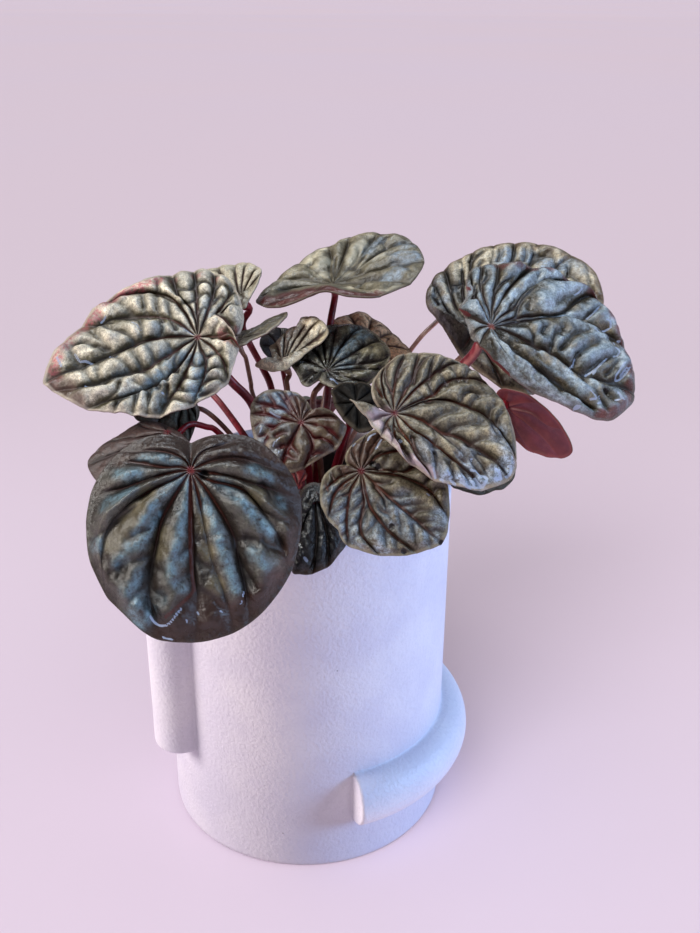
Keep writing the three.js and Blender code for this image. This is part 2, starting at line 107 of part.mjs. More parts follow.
    rim: [[-0.9,-3.7,-1.9],[2.7,-4.3,-1.9],[8.1,-3.8,-1.9],[14.8,-2.7,-1.9],[19.1,-1.7,-1.9],[21.7,-0.2,-1.9],[21.6,1.6,-1.9],[21.1,3.5,-1.9],[20.1,5.2,-1.9],[18.7,6.9,-1.9],[17.1,8.3,-1.9],[14.5,9.4,-1.9],[12.1,10.3,-1.9],[9.8,10.7,-1.9],[6.6,10.4,-1.9],[3.4,8.8,-1.9],[0.6,6.5,-1.9],[-1.5,3.8,-1.9],[-2.6,1.4,-1.9],[-2.7,-1.6,-1.9]],
    veins: [[0.3466,[[3.8,-0.8],[9.3,-1.1],[14.7,-1.2]]],[0.443,[[4.3,0.7],[9.7,2.7],[14.7,3.8]]],[0.5068,[[4.0,1.9],[9.1,4.8],[13.4,6.5]]],[0.6354,[[2.8,2.9],[5.9,6.3],[9.0,9.2]]]],
  },
  O: {
    at: [49.99,22.0,143.32], u: [0.8581,0.3622,0.364], n: [-0.0802,-0.6057,0.7917], th: 1.0, open: false,
    rim: [[-7.4,15.5,-2.6],[-7.3,12.4,-2.6],[-7.3,7.5,-2.6],[-7.7,3.5,-2.6],[-8.0,-0.6,-2.6],[-8.3,-4.4,-2.6],[-8.0,-8.1,-2.6],[-7.2,-12.0,-2.6],[-5.8,-16.1,-2.6],[-4.5,-19.6,-2.6],[-2.3,-22.5,-2.6],[0.9,-25.3,-2.6],[4.9,-25.9,-2.6],[10.1,-25.3,-2.6],[16.5,-23.7,-2.6],[22.8,-21.3,-2.6],[28.3,-18.1,-2.6],[33.2,-14.4,-2.6],[37.2,-10.5,-2.6],[39.6,-6.3,-2.6],[41.1,-1.9,-2.6],[41.4,1.6,-2.6],[40.8,5.7,-2.6],[39.6,9.2,-2.6],[37.8,12.8,-2.6],[35.4,16.3,-2.6],[32.1,19.5,-2.6],[28.4,22.2,-2.6],[24.3,24.3,-2.6],[19.8,25.9,-2.6],[15.4,26.5,-2.6],[11.8,26.5,-2.6],[8.0,26.3,-2.6],[5.0,25.5,-2.6],[1.5,25.1,-2.6],[-1.2,23.6,-2.6],[-4.1,21.4,-2.6],[-6.3,18.4,-2.6]],
    veins: [[0.1064,[[-3.7,-1.4],[-5.9,-2.2]]],[0.2182,[[-1.9,-4.9],[-3.1,-9.9],[-3.5,-15.2]]],[0.2698,[[0.5,-6.5],[1.2,-14.7],[2.2,-20.8]]],[0.3801,[[3.8,-5.8],[8.9,-13.6],[14.0,-20.2]]],[0.5388,[[6.6,-2.6],[16.7,-4.9],[28.5,-5.9]]],[0.6395,[[7.3,0.4],[18.2,2.4],[29.5,5.6]]],[0.7056,[[7.3,3.1],[18.1,7.5],[26.3,11.4]]],[0.7477,[[6.7,5.3],[16.5,11.9],[23.3,16.4]]],[0.7879,[[5.6,7.4],[12.6,14.6],[18.3,19.8]]],[0.8296,[[3.3,7.6],[7.6,15.7],[12.5,22.5]]],[0.8676,[[1.2,7.2],[3.7,14.1],[7.3,21.2]]],[0.9285,[[-1.2,6.2],[-0.8,12.6],[0.1,20.1]]],[0.9969,[[-2.9,4.0],[-4.9,9.5]]]],
  },
  P: {
    at: [48.53,-14.0,154.51], u: [0.9044,-0.0927,-0.4164], n: [0.2712,-0.6283,0.7291], th: 1.0, open: false,
    rim: [[-7.0,2.5,-3.0],[-6.1,0.6,-3.0],[-4.7,-1.3,-3.0],[-2.9,-3.4,-3.0],[-0.9,-4.3,-3.0],[1.5,-5.3,-3.0],[3.6,-6.8,-3.0],[6.6,-8.1,-3.0],[9.9,-9.3,-3.0],[13.6,-10.2,-3.0],[16.8,-10.5,-3.0],[18.8,-10.5,-3.0],[21.7,-10.3,-3.0],[25.4,-10.2,-3.0],[28.3,-10.2,-3.0],[31.1,-10.0,-3.0],[33.7,-9.9,-3.0],[35.8,-9.1,-3.0],[38.4,-7.7,-3.0],[40.0,-5.5,-3.0],[41.4,-2.7,-3.0],[42.5,-0.1,-3.0],[42.8,2.4,-3.0],[42.1,5.5,-3.0],[40.7,9.1,-3.0],[38.9,12.7,-3.0],[37.0,15.8,-3.0],[34.6,19.2,-3.0],[32.6,21.2,-3.0],[30.4,22.5,-3.0],[28.1,24.5,-3.0],[26.0,26.6,-3.0],[23.7,27.4,-3.0],[20.5,27.9,-3.0],[17.2,28.4,-3.0],[14.1,28.7,-3.0],[11.0,28.7,-3.0],[8.1,27.9,-3.0],[4.8,26.8,-3.0],[1.2,25.5,-3.0],[-1.5,24.1,-3.0],[-4.7,21.7,-3.0],[-6.4,20.5,-3.0],[-8.0,18.9,-3.0],[-9.5,16.9,-3.0],[-9.9,14.4,-3.0],[-9.6,11.7,-3.0],[-8.4,8.8,-3.0],[-8.5,5.2,-3.0],[-9.0,3.3,-3.0]],
    veins: [[0.0022,[[-2.8,-0.1],[-5.3,0.9]]],[0.0465,[[-2.5,-1.4]]],[0.0698,[[-0.6,-2.5],[-0.5,-4.9]]],[0.1925,[[1.4,-2.9],[4.3,-5.3],[7.5,-7.5],[11.2,-8.8]]],[0.3359,[[2.5,-1.6],[6.2,-3.7],[10.0,-5.3],[14.5,-5.7],[19.1,-6.2],[23.9,-7.3],[28.7,-8.0],[33.0,-8.2]]],[0.4265,[[3.5,0.7],[8.5,0.6],[13.3,0.4],[17.4,0.8],[21.5,-0.0],[26.1,-0.9],[31.2,0.5],[36.7,2.3]]],[0.5179,[[3.5,2.8],[8.2,6.9],[13.2,11.0],[18.5,14.2],[23.8,15.8],[28.4,16.3],[32.9,16.4]]],[0.6112,[[3.2,4.0],[7.2,7.5],[11.7,10.8],[15.6,13.5],[18.0,17.6],[20.2,22.3],[23.2,26.2]]],[0.6729,[[1.4,4.0],[4.1,9.3],[5.0,13.7],[6.9,18.5],[10.1,23.3],[14.0,25.6]]],[0.7622,[[-0.0,5.0],[0.5,10.9],[1.8,16.5],[3.6,21.5]]],[0.8328,[[-1.2,5.0],[-1.9,9.9],[-2.3,15.6]]],[0.8667,[[-1.7,3.9],[-4.4,7.7],[-6.4,12.5]]],[0.8998,[[-2.3,2.3],[-5.2,5.4],[-7.8,9.1]]]],
  },
  Q: {
    at: [56.6,6.0,126.35], u: [0.7823,-0.4359,-0.4449], n: [0.5571,0.8091,0.1868], th: 1.0, open: false,
    rim: [[-2.7,-1.5,-1.3],[-3.1,-2.9,-1.3],[-2.7,-4.4,-1.3],[-1.4,-5.9,-1.3],[1.1,-7.1,-1.3],[4.0,-8.3,-1.3],[6.2,-8.6,-1.3],[8.2,-8.6,-1.3],[10.7,-8.3,-1.3],[13.4,-7.7,-1.3],[15.8,-7.0,-1.3],[18.0,-6.0,-1.3],[20.5,-4.4,-1.3],[22.4,-2.7,-1.3],[23.4,-1.1,-1.3],[23.2,0.8,-1.3],[22.1,2.7,-1.3],[20.4,4.0,-1.3],[18.8,5.5,-1.3],[17.0,6.2,-1.3],[15.0,6.9,-1.3],[12.6,7.8,-1.3],[10.0,7.5,-1.3],[7.8,7.3,-1.3],[4.7,6.1,-1.3],[1.2,3.9,-1.3],[-1.5,1.2,-1.3]],
    veins: [[0.088,[[0.1,-2.2],[-0.3,-4.2]]],[0.2294,[[1.9,-1.2],[4.7,-5.1]]],[0.3823,[[3.0,-0.4],[7.7,-3.0],[13.7,-3.8]]],[0.5587,[[3.8,0.5],[9.5,0.6],[15.0,1.0]]],[0.6863,[[2.2,1.5],[5.4,3.6],[10.3,5.9]]],[0.8878,[[1.0,2.3],[1.6,4.0]]]],
  },
  R: {
    at: [14.38,-18.5,135.19], u: [0.3245,-0.875,-0.3594], n: [-0.1315,-0.418,0.8989], th: 1.0, open: false,
    rim: [[-6.1,4.8,-0.6],[-8.1,1.6,-0.6],[-8.8,-1.6,-0.6],[-8.0,-4.1,-0.6],[-5.0,-4.8,-0.6],[-1.2,-5.2,-0.6],[2.1,-4.9,-0.6],[5.2,-4.3,-0.6],[7.9,-3.4,-0.6],[9.8,-1.8,-0.6],[10.4,0.1,-0.6],[9.0,2.0,-0.6],[5.3,4.1,-0.6],[1.2,5.6,-0.6],[-2.4,6.4,-0.6]],
    veins: [[0.0625,[[-2.1,0.8],[-4.8,1.6]]],[0.1875,[[-2.2,-1.2],[-5.1,-2.5]]],[0.3125,[[-0.4,-1.6],[-1.2,-3.3]]],[0.4375,[[1.2,-1.1],[2.5,-2.7]]],[0.5625,[[2.6,-0.5],[5.8,-1.3]]],[0.6875,[[2.3,0.6],[5.1,1.4]]],[0.8125,[[1.0,1.3],[2.0,3.0]]],[0.9375,[[-0.6,1.9],[-1.7,4.0]]]],
  },
  T: {
    at: [-0.71,-24.0,113.28], u: [0.0997,0.8219,0.5608], n: [0.1259,-0.5695,0.8123], th: 1.0, open: false,
    rim: [[0.1,-0.7,0.6],[1.7,-0.8,0.6],[2.7,-1.5,0.6],[4.0,-1.8,0.6],[5.2,-1.1,0.6],[5.7,0.0,0.6],[5.2,1.3,0.6],[4.2,2.2,0.6],[2.9,2.6,0.6],[0.9,1.8,0.6],[-1.1,0.7,0.6]],
    veins: [[0.1,[[0.5,-0.2],[1.2,-0.5]]],[0.3,[[1.4,-0.3],[3.1,-0.8]]],[0.5,[[1.4,0.4],[3.1,0.9]]],[0.7,[[0.6,0.5],[1.2,1.3]]],[0.9,[[-0.3,0.2],[-0.6,0.3]]]],
  },
  U: {
    at: [44.33,-22.0,121.66], u: [0.5274,-0.8072,-0.2651], n: [-0.0169,-0.322,0.9466], th: 1.0, open: false,
    rim: [[2.3,-8.9,-0.9],[5.4,-9.6,-0.9],[7.7,-8.7,-0.9],[9.6,-7.6,-0.9],[11.6,-5.9,-0.9],[12.3,-3.7,-0.9],[12.6,-1.3,-0.9],[13.3,0.6,-0.9],[12.5,3.2,-0.9],[11.2,5.9,-0.9],[7.2,9.0,-0.9],[1.5,10.8,-0.9],[-3.7,10.1,-0.9],[-7.0,7.2,-0.9],[-8.0,2.6,-0.9],[-6.3,-2.2,-0.9],[-2.5,-6.5,-0.9]],
    veins: [[0.0625,[[2.2,-2.3],[4.4,-5.5]]],[0.1875,[[3.5,-1.0],[7.7,-2.4]]],[0.3125,[[3.5,0.8],[7.8,1.9]]],[0.4375,[[2.4,2.2],[4.8,5.2]]],[0.5625,[[0.4,3.1],[0.2,6.8]]],[0.6875,[[-1.8,2.1],[-4.2,4.4]]],[0.8125,[[-1.9,-0.4],[-4.2,-0.9]]],[0.9375,[[0.0,-2.1],[-0.4,-4.6]]]],
  },
  V: {
    at: [47.99,52.0,146.85], u: [0.2107,-0.9273,-0.3095], n: [-0.1361,-0.3413,0.93], th: 1.0, open: false,
    rim: [[0.2,-7.0,-0.6],[5.2,-6.1,-0.6],[9.0,-3.7,-0.6],[11.2,0.2,-0.6],[10.2,4.7,-0.6],[7.2,8.2,-0.6],[2.3,10.4,-0.6],[-3.0,10.5,-0.6],[-7.4,8.8,-0.6],[-10.0,5.6,-0.6],[-10.4,1.7,-0.6],[-8.5,-2.5,-0.6],[-4.6,-6.0,-0.6]],
    veins: [[0.0625,[[1.5,-1.6],[2.9,-3.8]]],[0.1875,[[2.9,-0.5],[6.4,-1.2]]],[0.3125,[[2.9,1.2],[6.3,2.9]]],[0.4375,[[1.7,2.6],[3.1,5.9]]],[0.5625,[[-0.4,3.1],[-1.6,6.7]]],[0.6875,[[-2.5,2.0],[-5.8,4.1]]],[0.8125,[[-2.6,-0.5],[-5.7,-1.0]]],[0.9375,[[-0.7,-2.0],[-1.8,-4.2]]]],
  },
  W: {
    at: [-35.0,27.0,129.0], u: [-0.6312,0.4552,-0.628], n: [-0.4201,0.4801,0.7701], th: 0.9, open: false,
    rim: [[26.9,0.0,-2.4],[26.1,3.3,-2.1],[24.1,6.5,-1.8],[21.2,9.5,-1.6],[17.7,12.0,-1.6],[14.0,14.0,-1.6],[10.2,15.4,-1.6],[6.1,15.9,-1.5],[2.0,15.2,-1.3],[-1.6,13.3,-1.1],[-4.3,10.7,-1.0],[-5.9,7.7,-1.2],[-6.4,4.1,-1.7],[-6.4,-0.0,-2.3],[-6.5,-4.1,-2.7],[-6.1,-7.9,-2.9],[-4.5,-11.0,-2.6],[-1.6,-13.5,-2.0],[2.0,-15.0,-1.2],[5.9,-15.4,-0.7],[9.8,-14.9,-0.5],[13.8,-13.8,-0.7],[18.0,-12.2,-1.2],[21.8,-9.8,-1.8],[24.8,-6.7,-2.3],[26.5,-3.3,-2.5]],
    veins: [[0.1028,[[6.4,1.9],[13.8,4.8]]],[0.2233,[[4.1,3.5],[8.0,8.6]]],[0.3334,[[1.2,4.0],[1.4,8.9]]],[0.4506,[[-1.5,1.7],[-3.7,3.4]]],[0.5503,[[-1.5,-1.8],[-3.7,-3.7]]],[0.678,[[1.5,-4.0],[2.2,-9.1]]],[0.7645,[[3.8,-3.5],[7.4,-8.4]]],[0.8768,[[6.2,-2.2],[13.4,-5.7]]],[0.9981,[[7.5,-0.0],[16.7,-0.1]]]],
  },
  X: {
    at: [7.0,44.0,128.5], u: [0.0425,0.8324,-0.5526], n: [0.0201,0.5523,0.8334], th: 0.9, open: false,
    rim: [[23.2,0.0,-0.4],[22.5,2.7,-0.4],[20.6,5.4,-0.7],[17.9,7.7,-1.2],[14.6,9.6,-1.7],[11.3,10.9,-2.1],[8.1,12.0,-2.2],[4.8,12.6,-2.0],[1.4,12.4,-1.7],[-1.8,11.1,-1.4],[-4.1,8.9,-1.2],[-5.4,6.3,-1.2],[-5.6,3.3,-1.2],[-5.6,-0.0,-1.2],[-5.6,-3.3,-1.2],[-5.4,-6.2,-1.1],[-4.1,-8.8,-1.0],[-1.7,-11.0,-1.0],[1.4,-12.5,-1.2],[4.9,-12.8,-1.6],[8.2,-12.2,-2.0],[11.3,-11.0,-2.3],[14.5,-9.5,-2.3],[17.7,-7.6,-1.9],[20.6,-5.3,-1.4],[22.5,-2.7,-0.8]],
    veins: [[0.0043,[[6.5,0.1],[14.4,0.2]]],[0.101,[[5.4,1.5],[11.8,3.8]]],[0.2135,[[3.5,2.6],[7.0,6.4]]],[0.3284,[[1.0,3.4],[1.3,7.5]]],[0.4366,[[-1.2,1.8],[-3.1,3.8]]],[0.5438,[[-1.4,-1.3],[-3.3,-2.6]]],[0.6631,[[0.8,-3.3],[0.9,-7.4]]],[0.7825,[[3.4,-2.7],[6.8,-6.6]]],[0.8919,[[5.3,-1.5],[11.5,-3.9]]]],
  },
  Y: {
    at: [50.0,36.0,119.0], u: [0.6742,0.3544,-0.6479], n: [0.5028,0.4224,0.7542], th: 0.9, open: false,
    rim: [[24.7,0.0,-0.9],[24.0,3.0,-1.3],[22.2,5.9,-1.6],[19.5,8.6,-1.7],[16.3,10.9,-1.8],[12.9,12.6,-1.7],[9.3,13.9,-1.7],[5.5,14.4,-1.8],[1.7,13.7,-1.9],[-1.6,12.0,-2.0],[-4.2,9.7,-2.0],[-5.6,6.9,-1.7],[-6.0,3.7,-1.3],[-6.1,-0.0,-0.8],[-6.1,-3.7,-0.6],[-5.8,-7.1,-0.6],[-4.3,-9.9,-1.0],[-1.7,-12.2,-1.7],[1.7,-13.5,-2.3],[5.3,-13.9,-2.6],[9.0,-13.4,-2.6],[12.7,-12.5,-2.3],[16.5,-11.0,-1.7],[20.0,-8.9,-1.1],[22.8,-6.1,-0.8],[24.4,-3.0,-0.7]],
    veins: [[0.0011,[[6.9,0.0],[15.3,0.1]]],[0.1218,[[5.5,2.0],[11.9,5.0]]],[0.2296,[[3.6,3.3],[7.0,7.8]]],[0.3376,[[0.9,3.6],[1.0,8.0]]],[0.439,[[-1.4,1.9],[-3.3,3.8]]],[0.547,[[-1.5,-1.6],[-3.5,-3.2]]],[0.6665,[[1.1,-3.6],[1.3,-8.1]]],[0.7897,[[4.0,-2.9],[8.1,-7.1]]],[0.8994,[[6.1,-1.7],[13.2,-4.4]]]],
  },
  Z: {
    at: [-2.0,43.0,112.0], u: [-0.2099,0.7224,-0.6588], n: [-0.2205,0.6215,0.7518], th: 0.9, open: false,
    rim: [[20.9,0.0,-1.4],[20.0,2.6,-0.9],[18.3,5.1,-0.5],[15.9,7.3,-0.3],[13.2,9.2,-0.5],[10.3,10.6,-1.0],[7.3,11.7,-1.5],[4.2,12.3,-1.9],[1.1,12.0,-2.1],[-1.8,10.6,-2.0],[-3.9,8.5,-1.7],[-5.0,5.9,-1.4],[-5.2,3.1,-1.1],[-5.2,-0.0,-1.0],[-5.4,-3.2,-1.1],[-5.2,-6.1,-1.1],[-4.0,-8.6,-1.1],[-1.8,-10.6,-1.1],[1.1,-11.8,-1.0],[4.2,-12.1,-1.0],[7.2,-11.5,-1.1],[10.1,-10.5,-1.4],[13.1,-9.2,-1.8],[16.2,-7.4,-2.1],[18.9,-5.2,-2.1],[20.6,-2.6,-1.9]],
    veins: [[0.0052,[[5.8,0.1],[12.9,0.2]]],[0.1011,[[4.9,1.4],[10.5,3.6]]],[0.2276,[[2.9,2.7],[5.7,6.6]]],[0.3429,[[0.5,3.2],[0.3,6.9]]],[0.4422,[[-1.2,1.5],[-2.9,3.1]]],[0.5422,[[-1.4,-1.2],[-3.2,-2.5]]],[0.6568,[[0.6,-3.2],[0.4,-6.9]]],[0.7868,[[3.2,-2.5],[6.4,-6.1]]],[0.8891,[[4.8,-1.5],[10.5,-3.9]]]],
  },
};

const STEMS = {
  A: { r: 1.25, path: [[-7.6,-2.8,90.3],[-7.8,-2.9,93.3],[-9.3,-3.5,108.5],[-13.2,-5.0,128.2],[-19.1,-8.0,137.6],[-27.0,-7.8,146.8],[-27.0,-9.4,149.0]] },
  B: { r: 1.0, path: [[-4.4,3.9,90.3],[-4.6,4.0,93.3],[-5.8,4.6,109.3],[-9.3,6.0,129.8],[-12.1,8.0,136.2],[-17.2,9.0,147.3],[-15.2,9.7,152.3],[-16.3,8.5,153.8]] },
  C: { r: 1.0, path: [[2.4,6.1,90.3],[2.6,6.2,93.3],[3.6,6.2,107.9],[6.4,6.5,127.0],[6.5,10.5,140.6],[7.1,15.0,147.4],[8.3,18.7,154.0],[7.9,18.2,156.2]] },
  D: { r: 0.65, path: [[-4.9,0.0,90.3],[-5.3,0.0,93.3],[-7.6,0.0,109.4],[-13.9,0.0,130.1],[-14.5,-1.0,134.6],[-15.5,-2.0,141.8],[-15.9,-4.1,143.8],[-16.9,-4.0,145.8]] },
  E: { r: 0.7, path: [[-1.5,6.0,90.3],[-1.7,6.3,93.3],[-3.0,8.1,110.9],[-6.5,13.0,133.1],[-8.5,15.6,136.2],[-7.9,14.5,138.0]] },
  F: { r: 0.75, path: [[-1.9,-3.4,90.3],[-2.0,-3.3,93.3],[-2.6,-3.2,110.6],[-4.2,-3.0,132.5],[-4.6,-2.0,135.6],[-3.8,-0.3,136.8],[-4.4,-1.5,138.6]] },
  G: { r: 0.85, path: [[5.5,-1.5,90.3],[5.4,-1.6,93.3],[4.7,-2.5,109.4],[2.7,-5.0,130.1],[4.6,-4.0,134.9],[6.7,-2.6,136.1],[6.6,-3.6,138.1]] },
  H: { r: 1.1, path: [[6.3,3.3,90.3],[6.4,3.3,93.3],[7.6,2.9,102.0],[10.9,2.0,114.7],[13.4,5.0,123.4],[16.7,13.4,136.6],[17.1,12.4,138.7]] },
  I: { r: 0.9, path: [[2.1,-3.6,90.3],[2.1,-3.9,93.3],[1.7,-5.5,105.6],[0.8,-9.8,122.0],[0.1,-17.8,127.8],[0.1,-19.3,129.4]] },
  J: { r: 1.1, path: [[6.8,-6.5,90.3],[7.0,-7.5,93.3],[8.9,-14.1,105.0],[13.9,-31.8,120.8],[15.6,-44.0,126.2],[15.6,-45.8,127.8]] },
  K: { r: 1.2, path: [[9.6,-3.1,90.3],[9.9,-4.2,93.3],[12.1,-11.4,108.2],[18.0,-30.6,127.5],[20.4,-33.6,134.2],[21.9,-38.0,138.6],[22.7,-41.8,139.3],[23.1,-43.4,141.3]] },
  L: { r: 1.35, path: [[-2.8,-8.0,90.3],[-3.5,-9.1,93.3],[-8.2,-16.6,106.6],[-20.7,-36.6,124.2],[-24.2,-50.8,129.6],[-23.8,-53.2,131.2]] },
  M: { r: 0.8, path: [[-5.9,-5.8,90.3],[-6.6,-6.2,93.3],[-10.6,-8.6,106.9],[-21.5,-15.0,124.8],[-24.7,-19.5,128.9],[-28.8,-23.2,130.9],[-32.6,-27.5,128.0],[-32.9,-28.5,129.9]] },
  M2: { r: 0.7, path: [[-8.6,1.3,90.3],[-9.0,0.9,93.3],[-11.9,-1.5,105.4],[-19.5,-8.0,121.7],[-26.2,-12.0,130.7],[-31.7,-12.5,131.0],[-31.2,-13.6,132.9]] },
  N: { r: 0.9, path: [[2.3,-8.7,90.3],[2.3,-9.3,93.3],[2.8,-13.2,100.3],[4.0,-23.6,111.0],[4.6,-30.9,114.4],[4.6,-32.4,116.0]] },
  O: { r: 1.1, path: [[9.3,5.6,90.3],[10.8,6.2,93.3],[20.3,10.6,111.7],[45.8,22.5,134.9],[48.6,28.0,137.8],[50.3,24.0,140.7],[50.1,22.6,142.6]] },
  P: { r: 1.45, path: [[10.6,1.3,90.3],[11.9,0.8,93.3],[20.1,-2.4,115.6],[42.2,-11.0,143.0],[46.1,-13.0,149.7],[47.4,-11.4,151.5],[48.3,-13.4,153.8]] },
  Q: { r: 1.0, path: [[13.5,-1.5,90.3],[14.7,-1.6,93.3],[22.3,-1.9,105.9],[42.7,-2.6,122.8],[54.8,3.5,125.8],[56.1,5.2,126.2]] },
  R: { r: 0.8, path: [[5.3,-3.5,90.3],[5.5,-3.8,93.3],[7.3,-5.3,106.6],[11.9,-9.6,124.1],[14.8,-17.2,132.4],[14.5,-18.1,134.3]] },
  T: { r: 0.55, path: [[-0.8,-11.4,90.3],[-0.9,-11.7,93.0],[-1.0,-13.3,98.8],[-1.3,-17.7,108.0],[-1.1,-22.2,110.7],[-0.8,-23.5,112.5]] },
  U: { r: 0.8, path: [[11.0,-6.9,90.3],[12.0,-7.3,93.3],[18.6,-9.5,100.6],[36.3,-15.6,111.7],[44.4,-21.0,118.7],[44.3,-21.7,120.8]] },
  V: { r: 0.7, path: [[5.4,8.9,90.3],[6.4,9.8,93.3],[13.1,16.1,111.0],[31.0,33.0,133.3],[38.9,40.0,140.1],[48.4,53.1,143.9],[48.1,52.3,146.0]] },
  W: { r: 1.0, path: [[-6.8,5.3,90.3],[-7.5,5.8,93.3],[-12.3,9.1,104.9],[-25.1,18.2,120.6],[-33.7,25.5,126.6],[-34.6,26.6,128.3]] },
  X: { r: 0.9, path: [[0.7,9.9,90.3],[0.9,10.8,93.3],[2.1,16.4,104.4],[5.3,31.6,119.6],[6.9,42.3,125.9],[7.0,43.5,127.7]] },
  Y: { r: 1.0, path: [[9.0,8.9,90.3],[10.1,9.6,93.3],[17.7,14.4,100.3],[37.9,27.2,111.1],[48.4,34.7,116.7],[49.5,35.6,118.3]] },
  Z: { r: 0.85, path: [[-2.0,12.4,90.3],[-1.9,13.3,92.8],[-1.6,18.6,98.0],[-0.7,33.2,106.4],[-1.3,41.1,109.7],[-1.8,42.4,111.3]] },
};

const group = new THREE.Group();
group.name = "potted_peperomia";

function add(name, geometry, colour, roughness) {
  const mesh = new THREE.Mesh(
    geometry,
    new THREE.MeshStandardMaterial({ color: colour, roughness, metalness: 0 }),
  );
  mesh.name = name;
  group.add(mesh);
  return mesh;
}

// ---------- pot ----------
const wasm = await Module();
wasm.setup();

function solid(geometry) {
  const g = geometry.clone();
  g.deleteAttribute("normal");
  g.deleteAttribute("uv");
  const m = mergeVertices(g, 1e-4);
  return new wasm.Manifold(
    new wasm.Mesh({
      numProp: 3,
      vertProperties: m.attributes.position.array,
      triVerts: new Uint32Array(m.index.array),
    }),
  );
}

function fromSolid(s) {
  const m = s.getMesh();
  const g = new THREE.BufferGeometry();
  g.setAttribute("position", new THREE.BufferAttribute(new Float32Array(m.vertProperties), 3));
  g.setIndex(new THREE.BufferAttribute(new Uint32Array(m.triVerts), 1));
  return g.toNonIndexed();
}

// A grid of closed cross-sections joined end to end and capped flat at both ends.
function loft(sections) {
  const n = sections[0].length;
  const pos = [];
  const tri = (a, b, c) => pos.push(a.x, a.y, a.z, b.x, b.y, b.z, c.x, c.y, c.z);
  for (let i = 0; i + 1 < sections.length; i++)
    for (let j = 0; j < n; j++) {
      const a = sections[i][j], b = sections[i][(j + 1) % n];
      const c = sections[i + 1][j], d = sections[i + 1][(j + 1) % n];
      tri(a, b, d);
      tri(a, d, c);
    }
  const cap = (s, turn) => {
    const m = s.reduce((q, p) => q.add(p), new THREE.Vector3()).multiplyScalar(1 / n);
    for (let j = 0; j < n; j++) turn ? tri(m, s[(j + 1) % n], s[j]) : tri(m, s[j], s[(j + 1) % n]);
  };
  cap(sections[0], true);
  cap(sections[sections.length - 1], false);
  const g = new THREE.BufferGeometry();
  g.setAttribute("position", new THREE.Float32BufferAttribute(pos, 3));
  return g;
}

function potBody() {
  const r = POT_R, h = POT_H, e = EDGE, w = WALL;
  const p = [];
  const arc = (cx, cy, from, to, steps, rad) => {
    for (let i = 0; i <= steps; i++) {
      const a = (from + ((to - from) * i) / steps) * DEG;
      p.push(new THREE.Vector2(cx + rad * Math.cos(a), cy + rad * Math.sin(a)));
    }
  };
  p.push(new THREE.Vector2(0, 0));
  arc(r - 1.6, 1.6, -90, 0, 3, 1.6);
  arc(r - e, h - e, 0, 90, 3, e);
  arc(r - w + e, h - e, 90, 180, 3, e);
  arc(r - w - 3, FLOOR + 3, 0, -90, 3, 3);
  p.push(new THREE.Vector2(0, FLOOR));
  const lathe = new THREE.LatheGeometry(p, 64);
  lathe.rotateX(Math.PI / 2);
  return solid(lathe);
}

// Half-round profile: t runs 0..1 over the arc, then back inside the wall.
function barProfile(steps) {
  const out = [];
  for (let i = 0; i <= steps; i++) {
    const a = (i / steps) * Math.PI;
    out.push([(BAR_W / 2) * Math.cos(a), BAR_P * Math.sin(a)]);
  }
  return out;
}

function ringBar() {
  const prof = barProfile(10), sections = [], n = 32;
  for (let i = 0; i <= n; i++) {
    const az = (RING_FROM + ((RING_TO - RING_FROM) * i) / n) * DEG;
    const at = (rad, z) => new THREE.Vector3(rad * Math.sin(az), -rad * Math.cos(az), z);
    const s = prof.map(([dz, dr]) => at(POT_R - 0.15 + dr, RING_Z + dz));
    s.push(at(POT_R - 1.6, RING_Z - BAR_W / 2), at(POT_R - 1.6, RING_Z + BAR_W / 2));
    sections.push(s);
  }
  return solid(loft(sections));
}

function postBar() {
  const prof = barProfile(10), sections = [];
  const half = BAR_W / 2 / POT_R;
  const level = (z, k) => {
    const s = prof.map(([ds, dr]) => {
      const az = POST_AZ * DEG + (ds / (BAR_W / 2)) * half;
      const rad = POT_R - 0.15 + dr * k;
      return new THREE.Vector3(rad * Math.sin(az), -rad * Math.cos(az), z);
    });
    for (const side of [-1, 1]) {
      const az = POST_AZ * DEG + side * half, rad = POT_R - 1.6;
      s.push(new THREE.Vector3(rad * Math.sin(az), -rad * Math.cos(az), z));
    }
    return s;
  };
  const c = 2.4;
  for (const [z, k] of [[0, 1 - c / BAR_P], [0.3 * c, 1 - (0.45 * c) / BAR_P], [c, 1]])
    sections.push(level(POST_Z0 + z, k));
  for (const [z, k] of [[c, 1], [0.3 * c, 1 - (0.45 * c) / BAR_P], [0, 1 - c / BAR_P]])
    sections.push(level(POST_Z1 - z, k));
  sections.forEach((s) => s.reverse());
  return solid(loft(sections));
}

const pot = potBody().add(ringBar()).add(postBar());
add("pot", fromSolid(pot), 0xe4dce8, 0.6);

// ---------- soil and crown ----------
function soilGeometry() {
  const rim = POT_R - WALL - SOIL_GAP, low = FLOOR + SOIL_GAP, p = [];
  p.push(new THREE.Vector2(0, low), new THREE.Vector2(rim - 3.6, low), new THREE.Vector2(rim, low + 3.8));
  p.push(new THREE.Vector2(rim, SOIL_TOP - 2.2));
  for (const [f, dz] of [[0.93, -1.5], [0.8, -0.7], [0.6, -0.2], [0.42, 0]]) p.push(new THREE.Vector2(rim * f, SOIL_TOP + dz));
  p.push(new THREE.Vector2(0, SOIL_TOP));
  return new THREE.LatheGeometry(p, 40).rotateX(Math.PI / 2);
}
add("soil", soilGeometry(), 0x2a1d16, 1.0);

